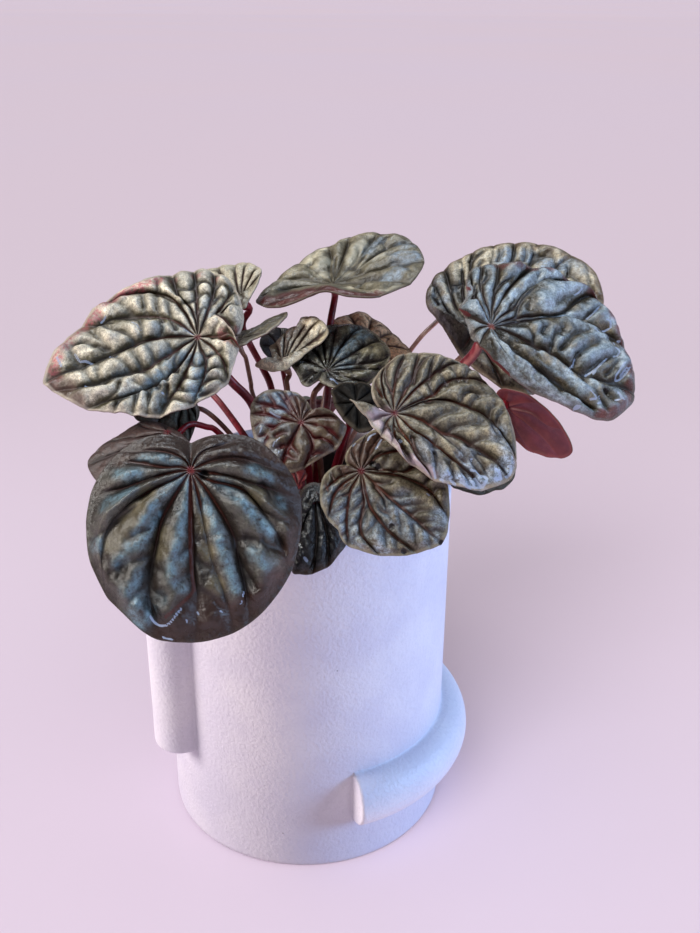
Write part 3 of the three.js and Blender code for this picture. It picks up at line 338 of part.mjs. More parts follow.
function crownGeometry() {
  const z0 = SOIL_TOP + 0.3, p = [[0, 0], [CROWN_R, 0], [CROWN_R * 1.05, 2], [CROWN_R * 0.85, 5], [CROWN_R * 0.5, CROWN_H - 1], [0, CROWN_H]];
  const g = new THREE.LatheGeometry(p.map(([a, b]) => new THREE.Vector2(a, z0 + b)), 12).rotateX(Math.PI / 2);
  return g.translate(1, 1, 0);
}
add("crown", crownGeometry(), 0x4a2a22, 0.7);

// ---------- leaves ----------
// Points of a smooth curve through the rim's control points, with the length run so far.
function dense(points, closed, per = 12) {
  const c = new THREE.CatmullRomCurve3(points.map((q) => new THREE.Vector3(...q)), closed, "catmullrom", 0.5);
  const n = (closed ? points.length : points.length - 1) * per, out = [];
  for (let i = 0; i <= n; i++) out.push(c.getPoint(i / n));
  let total = 0;
  const run = [0];
  for (let i = 1; i < out.length; i++) {
    total += Math.hypot(out[i].x - out[i - 1].x, out[i].y - out[i - 1].y);
    run.push(total);
  }
  return { out, run: run.map((v) => v / total) };
}

function along(curve, s) {
  let i = 1;
  while (i < curve.run.length - 1 && curve.run[i] < s) i++;
  const a = curve.run[i - 1], b = curve.run[i], f = b > a ? (s - a) / (b - a) : 0;
  return curve.out[i - 1].clone().lerp(curve.out[i], f);
}

function leafGeometry(leaf, wide, rings) {
  const rim = dense(leaf.rim, !leaf.open);
  const at = (s) => along(rim, leaf.open ? s : ((s % 1) + 1) % 1);
  const veins = leaf.veins.map(([s, pts]) => ({ s, pts }));
  if (!leaf.open) veins.push({ s: veins[0].s + 1, pts: veins[0].pts });
  const lines = veins.map((v) => {
    const e = at(v.s);
    return dense([[0, 0, 0], ...v.pts.map((q) => [q[0], q[1], 0]), [e.x, e.y, 0]], false, 8);
  });
  const cols = [];
  for (let i = 0; i + 1 < veins.length; i++) {
    const w = at(veins[i].s).distanceTo(at(veins[i + 1].s));
    const parts = w > wide ? 4 : 2;
    const last = i + 2 === veins.length && leaf.open ? 1 : 0;
    for (let k = 0; k < parts + last; k++) {
      const f = k / parts, s = veins[i].s + f * (veins[i + 1].s - veins[i].s), o = at(s), col = [];
      for (let j = 1; j <= rings; j++) {
        const t = j / rings;
        const a = along(lines[i], t), b = along(lines[i + 1], t), p = a.clone().lerp(b, f);
        const ea = along(lines[i], 1), eb = along(lines[i + 1], 1), e = ea.lerp(eb, f);
        const x = p.x + t * t * (o.x - e.x), y = p.y + t * t * (o.y - e.y);
        const gap = a.distanceTo(b);
        const amp = Math.min(RIB, 0.24 * gap) * (t > 0.9 ? 0.35 : 1);
        col.push([x, y, o.z * t * t + amp * Math.pow(Math.sin(Math.PI * f), 0.7)]);
      }
      cols.push(col);
    }
  }
  const n = new THREE.Vector3(...leaf.n), u = new THREE.Vector3(...leaf.u), v = new THREE.Vector3().crossVectors(n, u);
  const o = new THREE.Vector3(...leaf.at), half = leaf.th / 2;
  const world = ([x, y, z], side) => o.clone().addScaledVector(u, x).addScaledVector(v, y).addScaledVector(n, z + side * half);
  const pos = [];
  const tri = (a, b, c) => pos.push(a.x, a.y, a.z, b.x, b.y, b.z, c.x, c.y, c.z);
  const m = cols.length, span = leaf.open ? m - 1 : m;
  for (const side of [1, -1]) {
    const c = world([0, 0, 0], side);
    const q = (i, j) => world(cols[i % m][j], side);
    const face = (a, b, d) => (side > 0 ? tri(a, b, d) : tri(a, d, b));
    for (let i = 0; i < span; i++) {
      face(c, q(i, 0), q(i + 1, 0));
      for (let j = 0; j + 1 < rings; j++) {
        face(q(i, j), q(i, j + 1), q(i + 1, j + 1));
        face(q(i, j), q(i + 1, j + 1), q(i + 1, j));
      }
    }
  }
  const wall = (a, b) => {
    const at0 = world(a, 1), bt = world(b, 1), ab = world(a, -1), bb = world(b, -1);
    tri(at0, ab, bb);
    tri(at0, bb, bt);
  };
  for (let i = 0; i < span; i++) wall(cols[i % m][rings - 1], cols[(i + 1) % m][rings - 1]);
  if (leaf.open) {
    const first = [[0, 0, 0], ...cols[0]], last = [[0, 0, 0], ...cols[m - 1]];
    for (let j = 0; j < rings; j++) {
      wall(first[j], first[j + 1]);
      wall(last[j + 1], last[j]);
    }
  }
  const g = new THREE.BufferGeometry();
  g.setAttribute("position", new THREE.Float32BufferAttribute(pos, 3));
  return g;
}

const FINISH = {
  A: [0x9a9685, 0.42], B: [0xb0ad9a, 0.5], C: [0x847e6e, 0.5], D: [0x55503f, 0.55], E: [0x3a3f3e, 0.5],
  F: [0xa89b82, 0.6], G: [0x4d5152, 0.4], H: [0x6c5850, 0.55], I: [0x7f746a, 0.45], J: [0x7b786c, 0.45],
  K: [0x8a8274, 0.42], L: [0x5d6063, 0.35], M: [0x4e3a36, 0.5], M2: [0x55554c, 0.5], N: [0x33332f, 0.45],
  O: [0x7d7a68, 0.5], P: [0x6f8191, 0.32], Q: [0x6b2b31, 0.55], R: [0x2c2a26, 0.5], T: [0x6a2f2e, 0.5],
  U: [0x3c3832, 0.5], V: [0x6d6a58, 0.5], W: [0x8a8a7c, 0.48], X: [0x6b6956, 0.5], Y: [0x84887c, 0.45],
  Z: [0x45423a, 0.5],
};
const SMALL = new Set(["B", "D", "E", "F", "N", "R", "T", "U", "V", "M2", "X", "Y", "Z"]);
for (const [key, leaf] of Object.entries(LEAVES)) {
  const g = leafGeometry(leaf, SMALL.has(key) ? 99 : 10, SMALL.has(key) ? 3 : 4);
  add("leaf_" + key, g, ...FINISH[key]);
}

// ---------- petioles ----------
function stemGeometry(stem) {
  const curve = new THREE.CatmullRomCurve3(stem.path.map((q) => new THREE.Vector3(...q)), false, "catmullrom", 0.5);
  const n = Math.max(8, Math.min(12, Math.round(curve.getLength() / 6)));
  const sections = [];
  let side = new THREE.Vector3(1, 0, 0);
  for (let i = 0; i <= n; i++) {
    const p = curve.getPointAt(i / n);
    const t = i === 0 ? new THREE.Vector3(0, 0, 1) : curve.getTangentAt(i / n);
    side = side.clone().addScaledVector(t, -side.dot(t)).normalize();
    const up = new THREE.Vector3().crossVectors(t, side);
    const r = stem.r * (i === n ? 0.95 : 1.12 - 0.2 * (i / n));
    const s = [];
    for (let k = 0; k < STEM_SIDES; k++) {
      const a = (k / STEM_SIDES) * 2 * Math.PI;
      s.push(p.clone().addScaledVector(side, r * Math.cos(a)).addScaledVector(up, r * Math.sin(a)));
    }
    sections.push(s);
  }
  return loft(sections);
}

const RED = 0x6e1420, BROWN = 0x6b4a3a;
const BROWNISH = new Set(["D", "F", "G", "M2", "V", "T"]);
for (const [key, stem] of Object.entries(STEMS)) add("petiole_" + key, stemGeometry(stem), BROWNISH.has(key) ? BROWN : RED, 0.45);

export default group;
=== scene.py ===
import math
import bpy
import numpy as np
from mathutils import Matrix, Vector

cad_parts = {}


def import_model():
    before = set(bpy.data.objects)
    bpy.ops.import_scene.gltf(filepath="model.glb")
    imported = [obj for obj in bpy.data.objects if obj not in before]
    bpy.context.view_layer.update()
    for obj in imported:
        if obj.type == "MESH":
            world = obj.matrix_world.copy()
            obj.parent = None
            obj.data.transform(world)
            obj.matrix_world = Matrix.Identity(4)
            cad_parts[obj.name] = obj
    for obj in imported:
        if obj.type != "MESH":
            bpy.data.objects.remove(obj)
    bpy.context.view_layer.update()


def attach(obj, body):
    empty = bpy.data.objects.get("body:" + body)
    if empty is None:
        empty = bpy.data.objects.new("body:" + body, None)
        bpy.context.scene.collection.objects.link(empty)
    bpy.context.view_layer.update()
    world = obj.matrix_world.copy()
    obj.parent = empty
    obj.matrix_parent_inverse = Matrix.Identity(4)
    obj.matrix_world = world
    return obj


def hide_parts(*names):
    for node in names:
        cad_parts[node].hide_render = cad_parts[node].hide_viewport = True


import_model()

# Potted peperomia, in metres in the CAD frame; the numbers below are millimetres.
# Each leaf is a ruled net between its sunken veins: the pillows, the side veins and the curl are real
# geometry, and the same fields drive the colours.
# at = petiole point, u = long axis, n = normal of the upper face, rim = [along u, across, above],
# veins = [place on the rim, points between the petiole and the rim].
LEAVES = {
    "A": {"at": [-27.03,-10.0,149.8], "u": [-0.9326,-0.2947,-0.2085], "n": [0.0026,-0.5832,0.8123], "th": 1.0, "open": True,
     "rim": [[-10.9,1.1,-1.5],[-12.2,-0.6,-2.0],[-13.4,-3.1,-2.5],[-13.9,-5.6,-2.3],[-14.3,-8.4,-2.3],[-14.6,-12.0,-2.3],[-14.0,-15.5,-2.3],[-13.1,-18.1,-2.3],[-11.5,-20.4,-2.3],[-9.8,-22.2,-2.3],[-7.4,-23.7,-2.3],[-4.6,-24.1,-2.3],[-1.9,-24.4,-2.3],[0.9,-24.9,-2.3],[4.4,-25.4,-2.3],[8.0,-24.7,-2.3],[12.4,-23.9,-2.3],[16.2,-22.9,-2.3],[19.2,-22.0,-2.3],[22.1,-20.5,-2.3],[24.8,-18.3,-2.3],[27.5,-16.1,-2.3],[29.8,-14.4,-2.3],[32.8,-12.0,-2.3],[35.7,-9.7,-2.3],[38.3,-6.5,-2.3],[39.9,-4.1,-2.3],[40.9,-1.8,-2.3],[39.8,0.5,-2.3],[37.9,3.3,-2.3],[36.0,6.3,-2.3],[34.0,8.7,-2.3],[31.4,10.7,-2.3],[28.5,12.6,-2.3],[25.1,14.5,-2.3],[21.7,16.4,-2.3],[18.2,18.0,-2.3],[14.6,19.0,-2.3],[10.8,19.4,-2.3],[8.0,18.8,-2.3],[5.9,18.1,-2.3],[3.7,17.8,-2.3],[1.7,17.2,-2.3],[-0.7,16.5,-2.3],[-3.0,15.0,-2.3],[-4.7,13.0,-2.3],[-6.7,10.0,-2.3],[-8.0,7.7,-2.3],[-9.3,5.5,-2.3],[-8.9,6.0,2.0],[-8.7,3.6,2.6],[-7.7,0.8,3.0],[-6.5,-1.5,3.2],[-5.2,-2.6,3.2],[-3.7,-2.1,3.0]],
     "veins": [[0.0,[[-2.4,-3.3],[-3.8,-5.1],[-5.8,-5.9],[-7.4,-4.6],[-8.9,-1.7],[-9.7,1.2]]],[0.1006,[[-2.8,-2.2],[-7.2,-5.9],[-11.3,-10.2]]],[0.1494,[[-2.7,-3.6],[-5.9,-8.9],[-9.0,-14.6]]],[0.1845,[[-1.6,-5.5],[-3.6,-13.2],[-4.9,-18.9]]],[0.2211,[[-1.0,-4.3],[-1.0,-9.9],[0.8,-14.5],[0.7,-19.0]]],[0.3481,[[0.2,-2.9],[1.0,-9.9],[3.2,-15.9],[7.9,-19.4],[13.1,-21.0],[17.2,-21.0]]],[0.403,[[1.4,-2.6],[3.6,-6.4],[6.4,-9.0],[10.5,-11.3],[15.5,-13.2],[19.7,-14.2],[23.6,-13.8]]],[0.5272,[[3.1,-1.4],[8.1,-2.8],[14.2,-3.5],[19.8,-2.7],[24.5,-2.3],[29.1,-1.9],[33.9,-2.0]]],[0.551,[[2.4,0.8],[7.0,2.5],[11.4,3.8],[15.2,5.2],[19.7,5.0],[24.1,4.5],[28.1,4.7],[33.2,3.6]]],[0.6183,[[2.2,2.9],[5.3,6.1],[9.1,8.8],[12.8,10.5],[17.5,11.1],[22.7,10.9],[27.8,10.3]]],[0.7331,[[2.0,4.0],[4.6,7.9],[7.5,11.5],[10.5,14.3],[13.6,16.7]]],[0.7879,[[0.4,3.9],[0.1,7.5],[1.4,11.4],[3.4,14.2],[5.3,16.2]]],[0.8582,[[-1.5,2.2],[-3.0,5.2],[-3.9,8.2],[-3.9,11.4]]],[0.935,[[-2.5,0.8],[-5.4,2.4],[-7.7,2.9]]],[1.0,[[-2.4,-2.6]]]]},
    "B": {"at": [-16.84,8.0,154.38], "u": [-0.5572,0.7996,0.2241], "n": [-0.5222,-0.5472,0.6541], "th": 1.0, "open": False,
     "rim": [[-3.0,0.5,0.6],[-2.3,-1.3,0.6],[-1.4,-3.7,0.6],[-0.3,-6.6,0.6],[0.9,-8.5,0.6],[2.2,-10.3,0.6],[4.9,-10.2,0.6],[8.1,-9.6,0.6],[10.4,-8.4,0.6],[12.6,-6.5,0.6],[15.7,-4.5,0.6],[18.5,-2.1,0.6],[20.5,-0.0,0.6],[18.8,1.7,0.6],[14.8,2.4,0.6],[9.7,2.6,0.6],[4.8,2.3,0.6],[0.2,1.9,0.6]],
     "veins": [[0.1813,[[0.8,-2.4],[1.4,-5.9]]],[0.245,[[2.2,-3.0],[3.3,-6.6]]],[0.3275,[[3.2,-2.5],[6.2,-5.8]]],[0.3976,[[3.9,-1.7],[8.0,-4.1]]],[0.5084,[[4.7,-0.6],[10.3,-1.4]]],[0.6173,[[4.3,0.6],[9.7,1.6]]]]},
    "C": {"at": [7.76,18.0,157.07], "u": [0.3819,0.8838,0.2703], "n": [-0.1855,-0.2133,0.9592], "th": 1.0, "open": False,
     "rim": [[17.8,-20.4,1.3],[21.5,-17.8,1.3],[25.3,-14.2,1.3],[27.5,-11.2,1.3],[28.7,-8.1,1.3],[29.0,-4.8,1.3],[29.6,-1.3,1.3],[28.9,1.4,1.3],[27.8,3.6,1.3],[26.8,5.9,1.3],[24.7,7.3,1.3],[21.7,8.7,1.3],[20.0,10.9,1.3],[18.0,12.7,1.3],[14.7,13.9,1.3],[10.2,15.1,1.3],[5.8,16.3,1.3],[0.8,17.2,1.3],[-4.6,17.8,1.3],[-8.7,18.3,1.3],[-14.6,16.8,2.2],[-17.7,11.9,2.4],[-18.3,8.1,2.7],[-18.2,4.9,3.2],[-17.2,2.3,3.9],[-16.2,-0.2,4.7],[-14.7,-2.4,5.2],[-13.9,-5.0,5.6],[-13.6,-6.8,5.2],[-14.0,-8.7,5.0],[-13.9,-10.7,4.6],[-13.2,-13.2,4.0],[-11.9,-17.0,3.4],[-9.9,-18.9,2.8],[-7.3,-20.7,2.2],[-3.3,-22.0,1.3],[-0.9,-23.4,1.3],[2.5,-24.2,1.3],[6.0,-24.4,1.3],[9.5,-24.0,1.3],[13.6,-22.8,1.3]],
     "veins": [[0.0553,[[5.4,-3.0],[14.1,-6.4],[20.9,-10.1]]],[0.1491,[[5.9,-1.2],[16.4,-2.3],[23.3,-2.8]]],[0.2122,[[6.4,1.2],[16.1,3.1]]],[0.2681,[[7.2,4.1],[13.3,6.1]]],[0.3535,[[3.6,5.1],[7.7,11.4]]],[0.4296,[[0.7,5.0],[0.3,10.6]]],[0.5044,[[-1.3,1.9],[-2.4,6.2],[-5.0,11.3]]],[0.7944,[[-2.3,-4.8],[-4.7,-10.5]]],[0.8717,[[0.8,-5.0],[0.1,-11.5],[0.4,-17.5]]],[0.9613,[[3.7,-3.8],[6.0,-9.1],[9.3,-14.0],[11.8,-19.2]]]]},
    "D": {"at": [-17.29,-4.0,146.65], "u": [0.7359,0.592,0.3286], "n": [-0.4291,0.0323,0.9027], "th": 1.0, "open": False,
     "rim": [[15.9,2.1,-0.0],[13.2,3.4,-0.0],[9.9,5.1,-0.0],[6.9,7.3,0.0],[4.7,9.8,0.0],[3.5,12.7,-0.0],[0.7,15.6,-0.0],[-1.6,15.2,0.0],[-3.0,8.5,-0.0],[-3.2,1.6,0.0],[-2.3,-3.0,-0.0],[-1.1,-6.2,-0.0],[1.3,-6.1,0.0],[4.0,-7.4,0.0],[7.2,-7.7,0.0],[11.5,-6.4,0.0],[14.9,-3.2,-0.0],[17.2,-0.0,-0.0]],
     "veins": [[0.0833,[[3.1,1.0],[6.8,2.6]]],[0.25,[[1.6,3.5],[2.8,7.9]]],[0.4167,[[-0.2,2.9],[-1.1,6.3]]],[0.5833,[[-0.7,-0.6],[-1.6,-1.2]]],[0.75,[[1.9,-1.9],[3.8,-4.5]]],[0.9167,[[4.3,-0.6],[9.5,-1.5]]]]},
    "E": {"at": [-7.64,14.0,138.74], "u": [0.3005,0.8561,0.4205], "n": [0.2743,-0.4998,0.8216], "th": 1.0, "open": False,
     "rim": [[8.9,-0.0,0.4],[8.3,2.6,0.4],[6.7,4.8,0.4],[4.6,6.0,0.4],[2.2,6.3,0.4],[-0.2,6.0,0.4],[-2.3,4.5,0.4],[-3.6,2.8,0.4],[-4.2,0.7,0.4],[-4.0,-1.7,0.4],[-1.7,-4.0,0.4],[1.8,-4.9,0.4],[5.3,-4.2,0.4],[7.9,-2.6,0.4]],
     "veins": [[0.0714,[[2.4,0.6],[5.2,1.5]]],[0.2143,[[1.5,1.5],[3.0,3.5]]],[0.3571,[[0.0,1.6],[-0.3,3.5]]],[0.5,[[-1.1,0.4],[-2.6,0.8]]],[0.6429,[[-0.4,-1.1],[-1.2,-2.4]]],[0.7857,[[1.1,-1.2],[2.2,-2.8]]],[0.9286,[[2.3,-0.6],[5.0,-1.4]]]]},
    "F": {"at": [-4.69,-2.0,139.32], "u": [0.4497,0.6516,0.6109], "n": [-0.2925,-0.5388,0.79], "th": 1.0, "open": False,
     "rim": [[-0.9,-1.7,1.2],[1.1,-2.5,1.2],[2.9,-3.5,1.2],[5.7,-4.5,1.2],[8.0,-5.8,1.2],[10.5,-7.1,1.2],[12.9,-7.0,1.2],[14.7,-5.7,1.2],[16.1,-3.2,1.2],[16.8,-0.9,1.2],[16.5,1.4,1.2],[15.6,2.8,1.2],[14.1,3.0,1.2],[12.8,2.6,1.2],[11.8,4.4,1.2],[10.1,5.4,1.2],[8.1,5.6,1.2],[6.0,6.4,1.2],[4.2,7.4,1.2],[2.7,5.8,1.2],[1.0,4.5,1.2],[-0.5,4.6,1.2],[-1.0,7.0,1.2],[-2.5,8.1,1.2],[-3.1,6.4,1.2],[-3.0,3.8,1.2],[-2.9,1.5,1.2],[-2.1,-0.0,1.2]],
     "veins": [[0.2677,[[2.6,-0.5],[6.7,-2.2],[10.6,-4.8]]],[0.3448,[[3.7,0.1],[8.6,-0.5],[13.2,-1.4]]],[0.4076,[[4.1,1.3],[9.1,1.4],[13.2,1.0]]],[0.4853,[[4.2,2.0],[7.9,2.7]]],[0.555,[[3.3,2.5],[6.5,3.9]]],[0.6214,[[2.2,2.9],[4.2,4.6]]]]},
    "G": {"at": [6.53,-4.0,138.94], "u": [0.4948,0.76,0.4214], "n": [-0.0493,-0.4595,0.8868], "th": 1.0, "open": False,
     "rim": [[13.4,-12.1,-1.0],[15.3,-10.8,-1.0],[17.1,-8.5,-1.0],[18.7,-5.4,-1.0],[19.7,-2.2,-1.0],[20.1,0.5,-1.0],[19.3,3.4,-1.0],[17.9,6.5,-1.0],[16.1,9.0,-1.0],[13.2,10.3,-1.0],[9.5,10.6,-1.0],[5.3,11.0,-1.0],[1.4,10.9,-1.0],[-2.0,10.0,-1.0],[-3.1,8.4,-1.0],[-4.7,6.1,-1.0],[-6.4,3.8,-1.0],[-6.4,2.2,-1.0],[-4.8,1.3,-1.0],[-3.4,0.6,-1.0],[-3.8,-0.6,-1.0],[-4.0,-2.6,-1.0],[-3.7,-5.6,-1.0],[-2.8,-8.1,-1.0],[-1.2,-10.0,-1.0],[1.2,-11.4,-1.0],[3.5,-12.6,-1.0],[5.8,-13.1,-1.0],[9.7,-12.9,-1.0]],
     "veins": [[0.0029,[[3.0,-2.3],[6.2,-6.8],[9.6,-10.5]]],[0.0883,[[3.6,-1.1],[7.6,-2.8],[13.9,-4.9]]],[0.172,[[4.5,0.5],[10.0,1.1],[15.3,1.0]]],[0.2636,[[5.1,1.8],[11.1,4.4]]],[0.3301,[[4.4,3.3],[8.7,6.5]]],[0.4092,[[2.6,3.4],[5.3,7.4]]],[0.485,[[0.2,3.0],[0.5,6.4]]],[0.5964,[[-2.0,0.7],[-2.9,3.0]]],[0.791,[[-1.4,-2.7],[-2.1,-5.3]]],[0.8576,[[0.2,-3.4],[0.3,-7.6]]],[0.9466,[[1.7,-3.1],[4.5,-7.1],[6.6,-11.2]]]]},
    "H": {"at": [17.25,12.0,139.57], "u": [-0.1575,0.8798,0.4484], "n": [0.1776,-0.4214,0.8893], "th": 1.0, "open": False,
     "rim": [[7.2,9.9,-1.0],[2.3,9.4,-1.0],[-2.5,7.8,-1.0],[-5.6,4.8,-1.0],[-6.6,0.9,-1.0],[-6.1,-3.3,-1.0],[-4.8,-7.0,-1.0],[-3.1,-10.3,-1.0],[-1.0,-12.8,-1.0],[1.1,-13.8,-1.0],[3.0,-13.3,-1.0],[4.8,-11.8,-1.0],[7.3,-10.8,-1.0],[9.3,-9.3,-1.0],[11.4,-8.2,-1.0],[13.3,-6.7,-1.0],[14.7,-5.1,-1.0],[16.2,-3.8,-1.0],[17.2,-2.1,-1.0],[17.5,-0.4,-1.0],[16.5,1.9,-1.0],[15.3,4.5,-1.0],[13.7,6.9,-1.0],[11.5,8.4,-1.0]],
     "veins": [[0.0556,[[1.4,2.5],[2.6,5.7]]],[0.1667,[[-0.9,2.0],[-2.3,4.2]]],[0.2778,[[-1.8,-0.4],[-4.0,-0.7]]],[0.3889,[[-0.6,-2.7],[-1.9,-5.7]]],[0.5,[[1.4,-3.7],[2.1,-8.4]]],[0.6111,[[2.9,-2.3],[6.0,-5.5]]],[0.7222,[[4.4,-1.0],[9.6,-2.5]]],[0.8333,[[4.6,0.6],[10.1,1.4]]],[0.9444,[[3.4,2.0],[7.2,4.8]]]]},
    "I": {"at": [0.1,-20.0,130.1], "u": [-0.2809,-0.6855,-0.6717], "n": [0.0045,-0.7008,0.7133], "th": 1.0, "open": False,
     "rim": [[0.1,-13.8,-1.1],[2.2,-13.1,-1.1],[5.3,-11.5,-1.1],[8.3,-9.6,-1.1],[10.0,-7.4,-1.1],[11.8,-4.7,-1.1],[13.2,-2.6,-1.1],[13.9,-0.2,-1.1],[13.6,1.6,-1.1],[12.1,3.5,-1.1],[10.0,5.6,-1.1],[8.2,7.2,-1.1],[6.3,8.5,-1.1],[4.8,9.9,-1.1],[3.2,11.0,-1.1],[0.8,11.4,-1.1],[-1.1,11.6,-1.1],[-2.8,11.4,-1.1],[-3.9,10.2,-1.1],[-4.9,8.6,-1.1],[-5.6,7.0,-1.1],[-6.1,5.5,-1.1],[-6.0,3.3,-1.1],[-4.9,1.7,-1.1],[-5.8,0.6,-1.1],[-7.2,-0.9,-1.1],[-7.9,-2.6,-1.1],[-8.5,-4.4,-1.1],[-8.4,-6.3,-1.1],[-7.9,-8.4,-1.1],[-7.2,-10.4,-1.1],[-6.3,-11.8,-1.1],[-5.0,-13.0,-1.1],[-3.5,-13.9,-1.1],[-1.9,-14.2,-1.1]],
     "veins": [[0.0112,[[0.2,-2.9],[0.3,-5.5],[0.2,-8.4],[0.3,-11.1]]],[0.0633,[[1.3,-3.9],[3.0,-5.8],[3.3,-7.9],[3.2,-10.2]]],[0.1699,[[0.3,-2.4],[1.0,-4.6],[2.9,-6.2],[5.4,-7.0],[8.3,-7.2]]],[0.2558,[[3.1,-0.4],[6.6,-0.9],[10.1,-1.1]]],[0.3389,[[1.9,2.5],[4.2,4.3],[5.9,5.1],[8.1,5.0]]],[0.464,[[1.6,2.5],[3.0,4.5],[2.4,6.7],[2.9,9.2]]],[0.5036,[[-0.5,2.4],[-0.5,5.1],[-0.2,7.8],[0.7,10.0]]],[0.5967,[[-2.2,2.0],[-3.4,4.7],[-4.4,7.3]]],[0.7178,[[-3.0,0.4]]],[0.7478,[[-3.2,-0.5],[-5.2,-0.6]]],[0.8122,[[-3.8,-1.8],[-6.4,-3.7]]],[0.841,[[-2.9,-2.6],[-5.3,-5.0]]],[0.962,[[-1.5,-3.0],[-2.4,-5.2],[-2.6,-8.0],[-2.4,-10.7]]]]},
    "J": {"at": [15.56,-46.5,128.44], "u": [0.7498,-0.4571,-0.4784], "n": [-0.023,-0.7406,0.6716], "th": 1.0, "open": False,
     "rim": [[-4.2,10.9,-1.7],[-5.2,9.8,-1.7],[-5.7,7.9,-1.7],[-6.2,5.8,-1.7],[-6.4,3.9,-1.7],[-6.1,2.1,-1.7],[-5.5,0.6,-1.7],[-4.7,-0.2,-1.7],[-4.0,-0.6,-1.7],[-5.2,-1.8,-1.7],[-5.9,-3.1,-1.7],[-6.2,-4.9,-1.7],[-6.0,-6.6,-1.7],[-5.0,-8.7,-1.7],[-3.8,-10.3,-1.7],[-2.0,-12.0,-1.7],[-0.3,-12.8,-1.7],[1.5,-13.5,-1.7],[3.4,-13.8,-1.7],[5.1,-13.9,-1.7],[6.4,-14.7,-1.7],[8.2,-15.3,-1.7],[9.9,-15.1,-1.7],[11.8,-14.4,-1.7],[13.7,-13.7,-1.7],[15.6,-12.7,-1.7],[17.5,-11.3,-1.7],[19.3,-9.8,-1.7],[21.0,-8.2,-1.7],[22.1,-6.6,-1.7],[23.3,-4.8,-1.7],[24.3,-3.1,-1.7],[25.2,-1.3,-1.7],[25.3,0.4,-1.7],[24.7,2.5,-1.7],[23.5,4.3,-1.7],[22.3,6.2,-1.7],[20.7,8.0,-1.7],[18.9,9.8,-1.7],[17.5,11.1,-1.7],[15.3,12.2,-1.7],[12.4,13.0,-1.7],[8.8,13.6,-1.7],[5.0,13.6,-1.7],[1.0,13.1,-1.7],[-2.1,12.5,-1.7]],
     "veins": [[0.03,[[-2.2,2.1],[-3.8,4.7]]],[0.0685,[[-3.2,1.4],[-5.4,2.8]]],[0.1329,[[-2.2,-0.4]]],[0.2447,[[-1.7,-2.1],[-2.9,-4.6],[-3.4,-7.3]]],[0.3123,[[-0.4,-2.4],[-1.1,-5.2],[-1.0,-8.2],[0.2,-10.9]]],[0.3984,[[0.6,-2.1],[1.2,-4.9],[2.6,-7.4],[4.7,-10.3],[7.1,-13.0]]],[0.4728,[[2.6,-2.6],[5.1,-4.7],[7.0,-7.5],[8.5,-9.9],[10.5,-11.5],[13.2,-12.0]]],[0.561,[[2.3,-1.6],[4.6,-3.5],[7.4,-5.2],[10.7,-6.1],[14.4,-6.7],[17.2,-6.7],[20.0,-6.3]]],[0.6245,[[2.9,-0.1],[6.3,-0.3],[10.2,-0.5],[14.2,-0.4],[17.5,-0.3],[21.0,-0.4]]],[0.6912,[[3.0,2.0],[6.7,4.7],[10.6,6.3],[13.9,7.2],[16.5,7.1],[19.1,6.2]]],[0.8612,[[1.7,2.0],[4.8,4.3],[7.6,6.2],[8.5,9.2]]],[0.8968,[[0.1,3.1],[0.6,5.8],[2.0,8.2],[3.6,10.4]]],[0.9848,[[-0.8,2.7],[-1.5,5.2],[-2.3,8.1]]]]},
    "K": {"at": [23.18,-44.0,142.05], "u": [0.9076,-0.2463,-0.34], "n": [0.1248,-0.6149,0.7786], "th": 1.0, "open": True,
     "rim": [[-10.4,-3.3,3.5],[-8.9,-3.8,3.0],[-8.1,-4.2,2.4],[-6.5,-4.7,1.8],[-4.8,-4.9,1.4],[-3.2,-6.1,1.0],[-1.3,-7.1,1.4],[0.9,-8.1,1.6],[3.1,-9.0,1.6],[5.5,-10.0,1.4],[7.1,-10.6,1.0],[8.9,-9.6,-1.6],[10.7,-10.1,-1.6],[12.6,-10.5,-1.6],[14.2,-10.7,-1.6],[16.4,-10.6,-1.6],[19.2,-10.0,-1.6],[22.2,-9.3,-1.6],[24.9,-8.4,-1.6],[26.9,-7.1,-1.6],[28.8,-5.2,-1.6],[30.1,-3.3,-1.6],[30.9,-1.4,-1.6],[31.0,1.0,-1.6],[30.5,3.1,-1.6],[29.2,6.1,-1.6],[27.7,8.9,-1.6],[25.8,11.9,-1.6],[23.4,14.8,-1.6],[20.7,17.1,-1.6],[18.0,18.8,-1.6],[15.4,20.0,-1.6],[12.3,21.3,-1.6],[9.3,21.9,-1.6],[6.1,21.8,-1.6],[3.0,21.5,-1.6],[-0.0,20.4,-1.6],[-2.9,19.0,-1.6],[-5.3,16.9,-1.6],[-6.8,14.0,-1.6],[-7.7,11.2,-1.6],[-8.1,8.4,-1.6],[-8.2,6.4,-1.6],[-7.5,4.2,-1.6],[-6.2,2.0,-1.0],[-4.3,0.7,-0.8]],
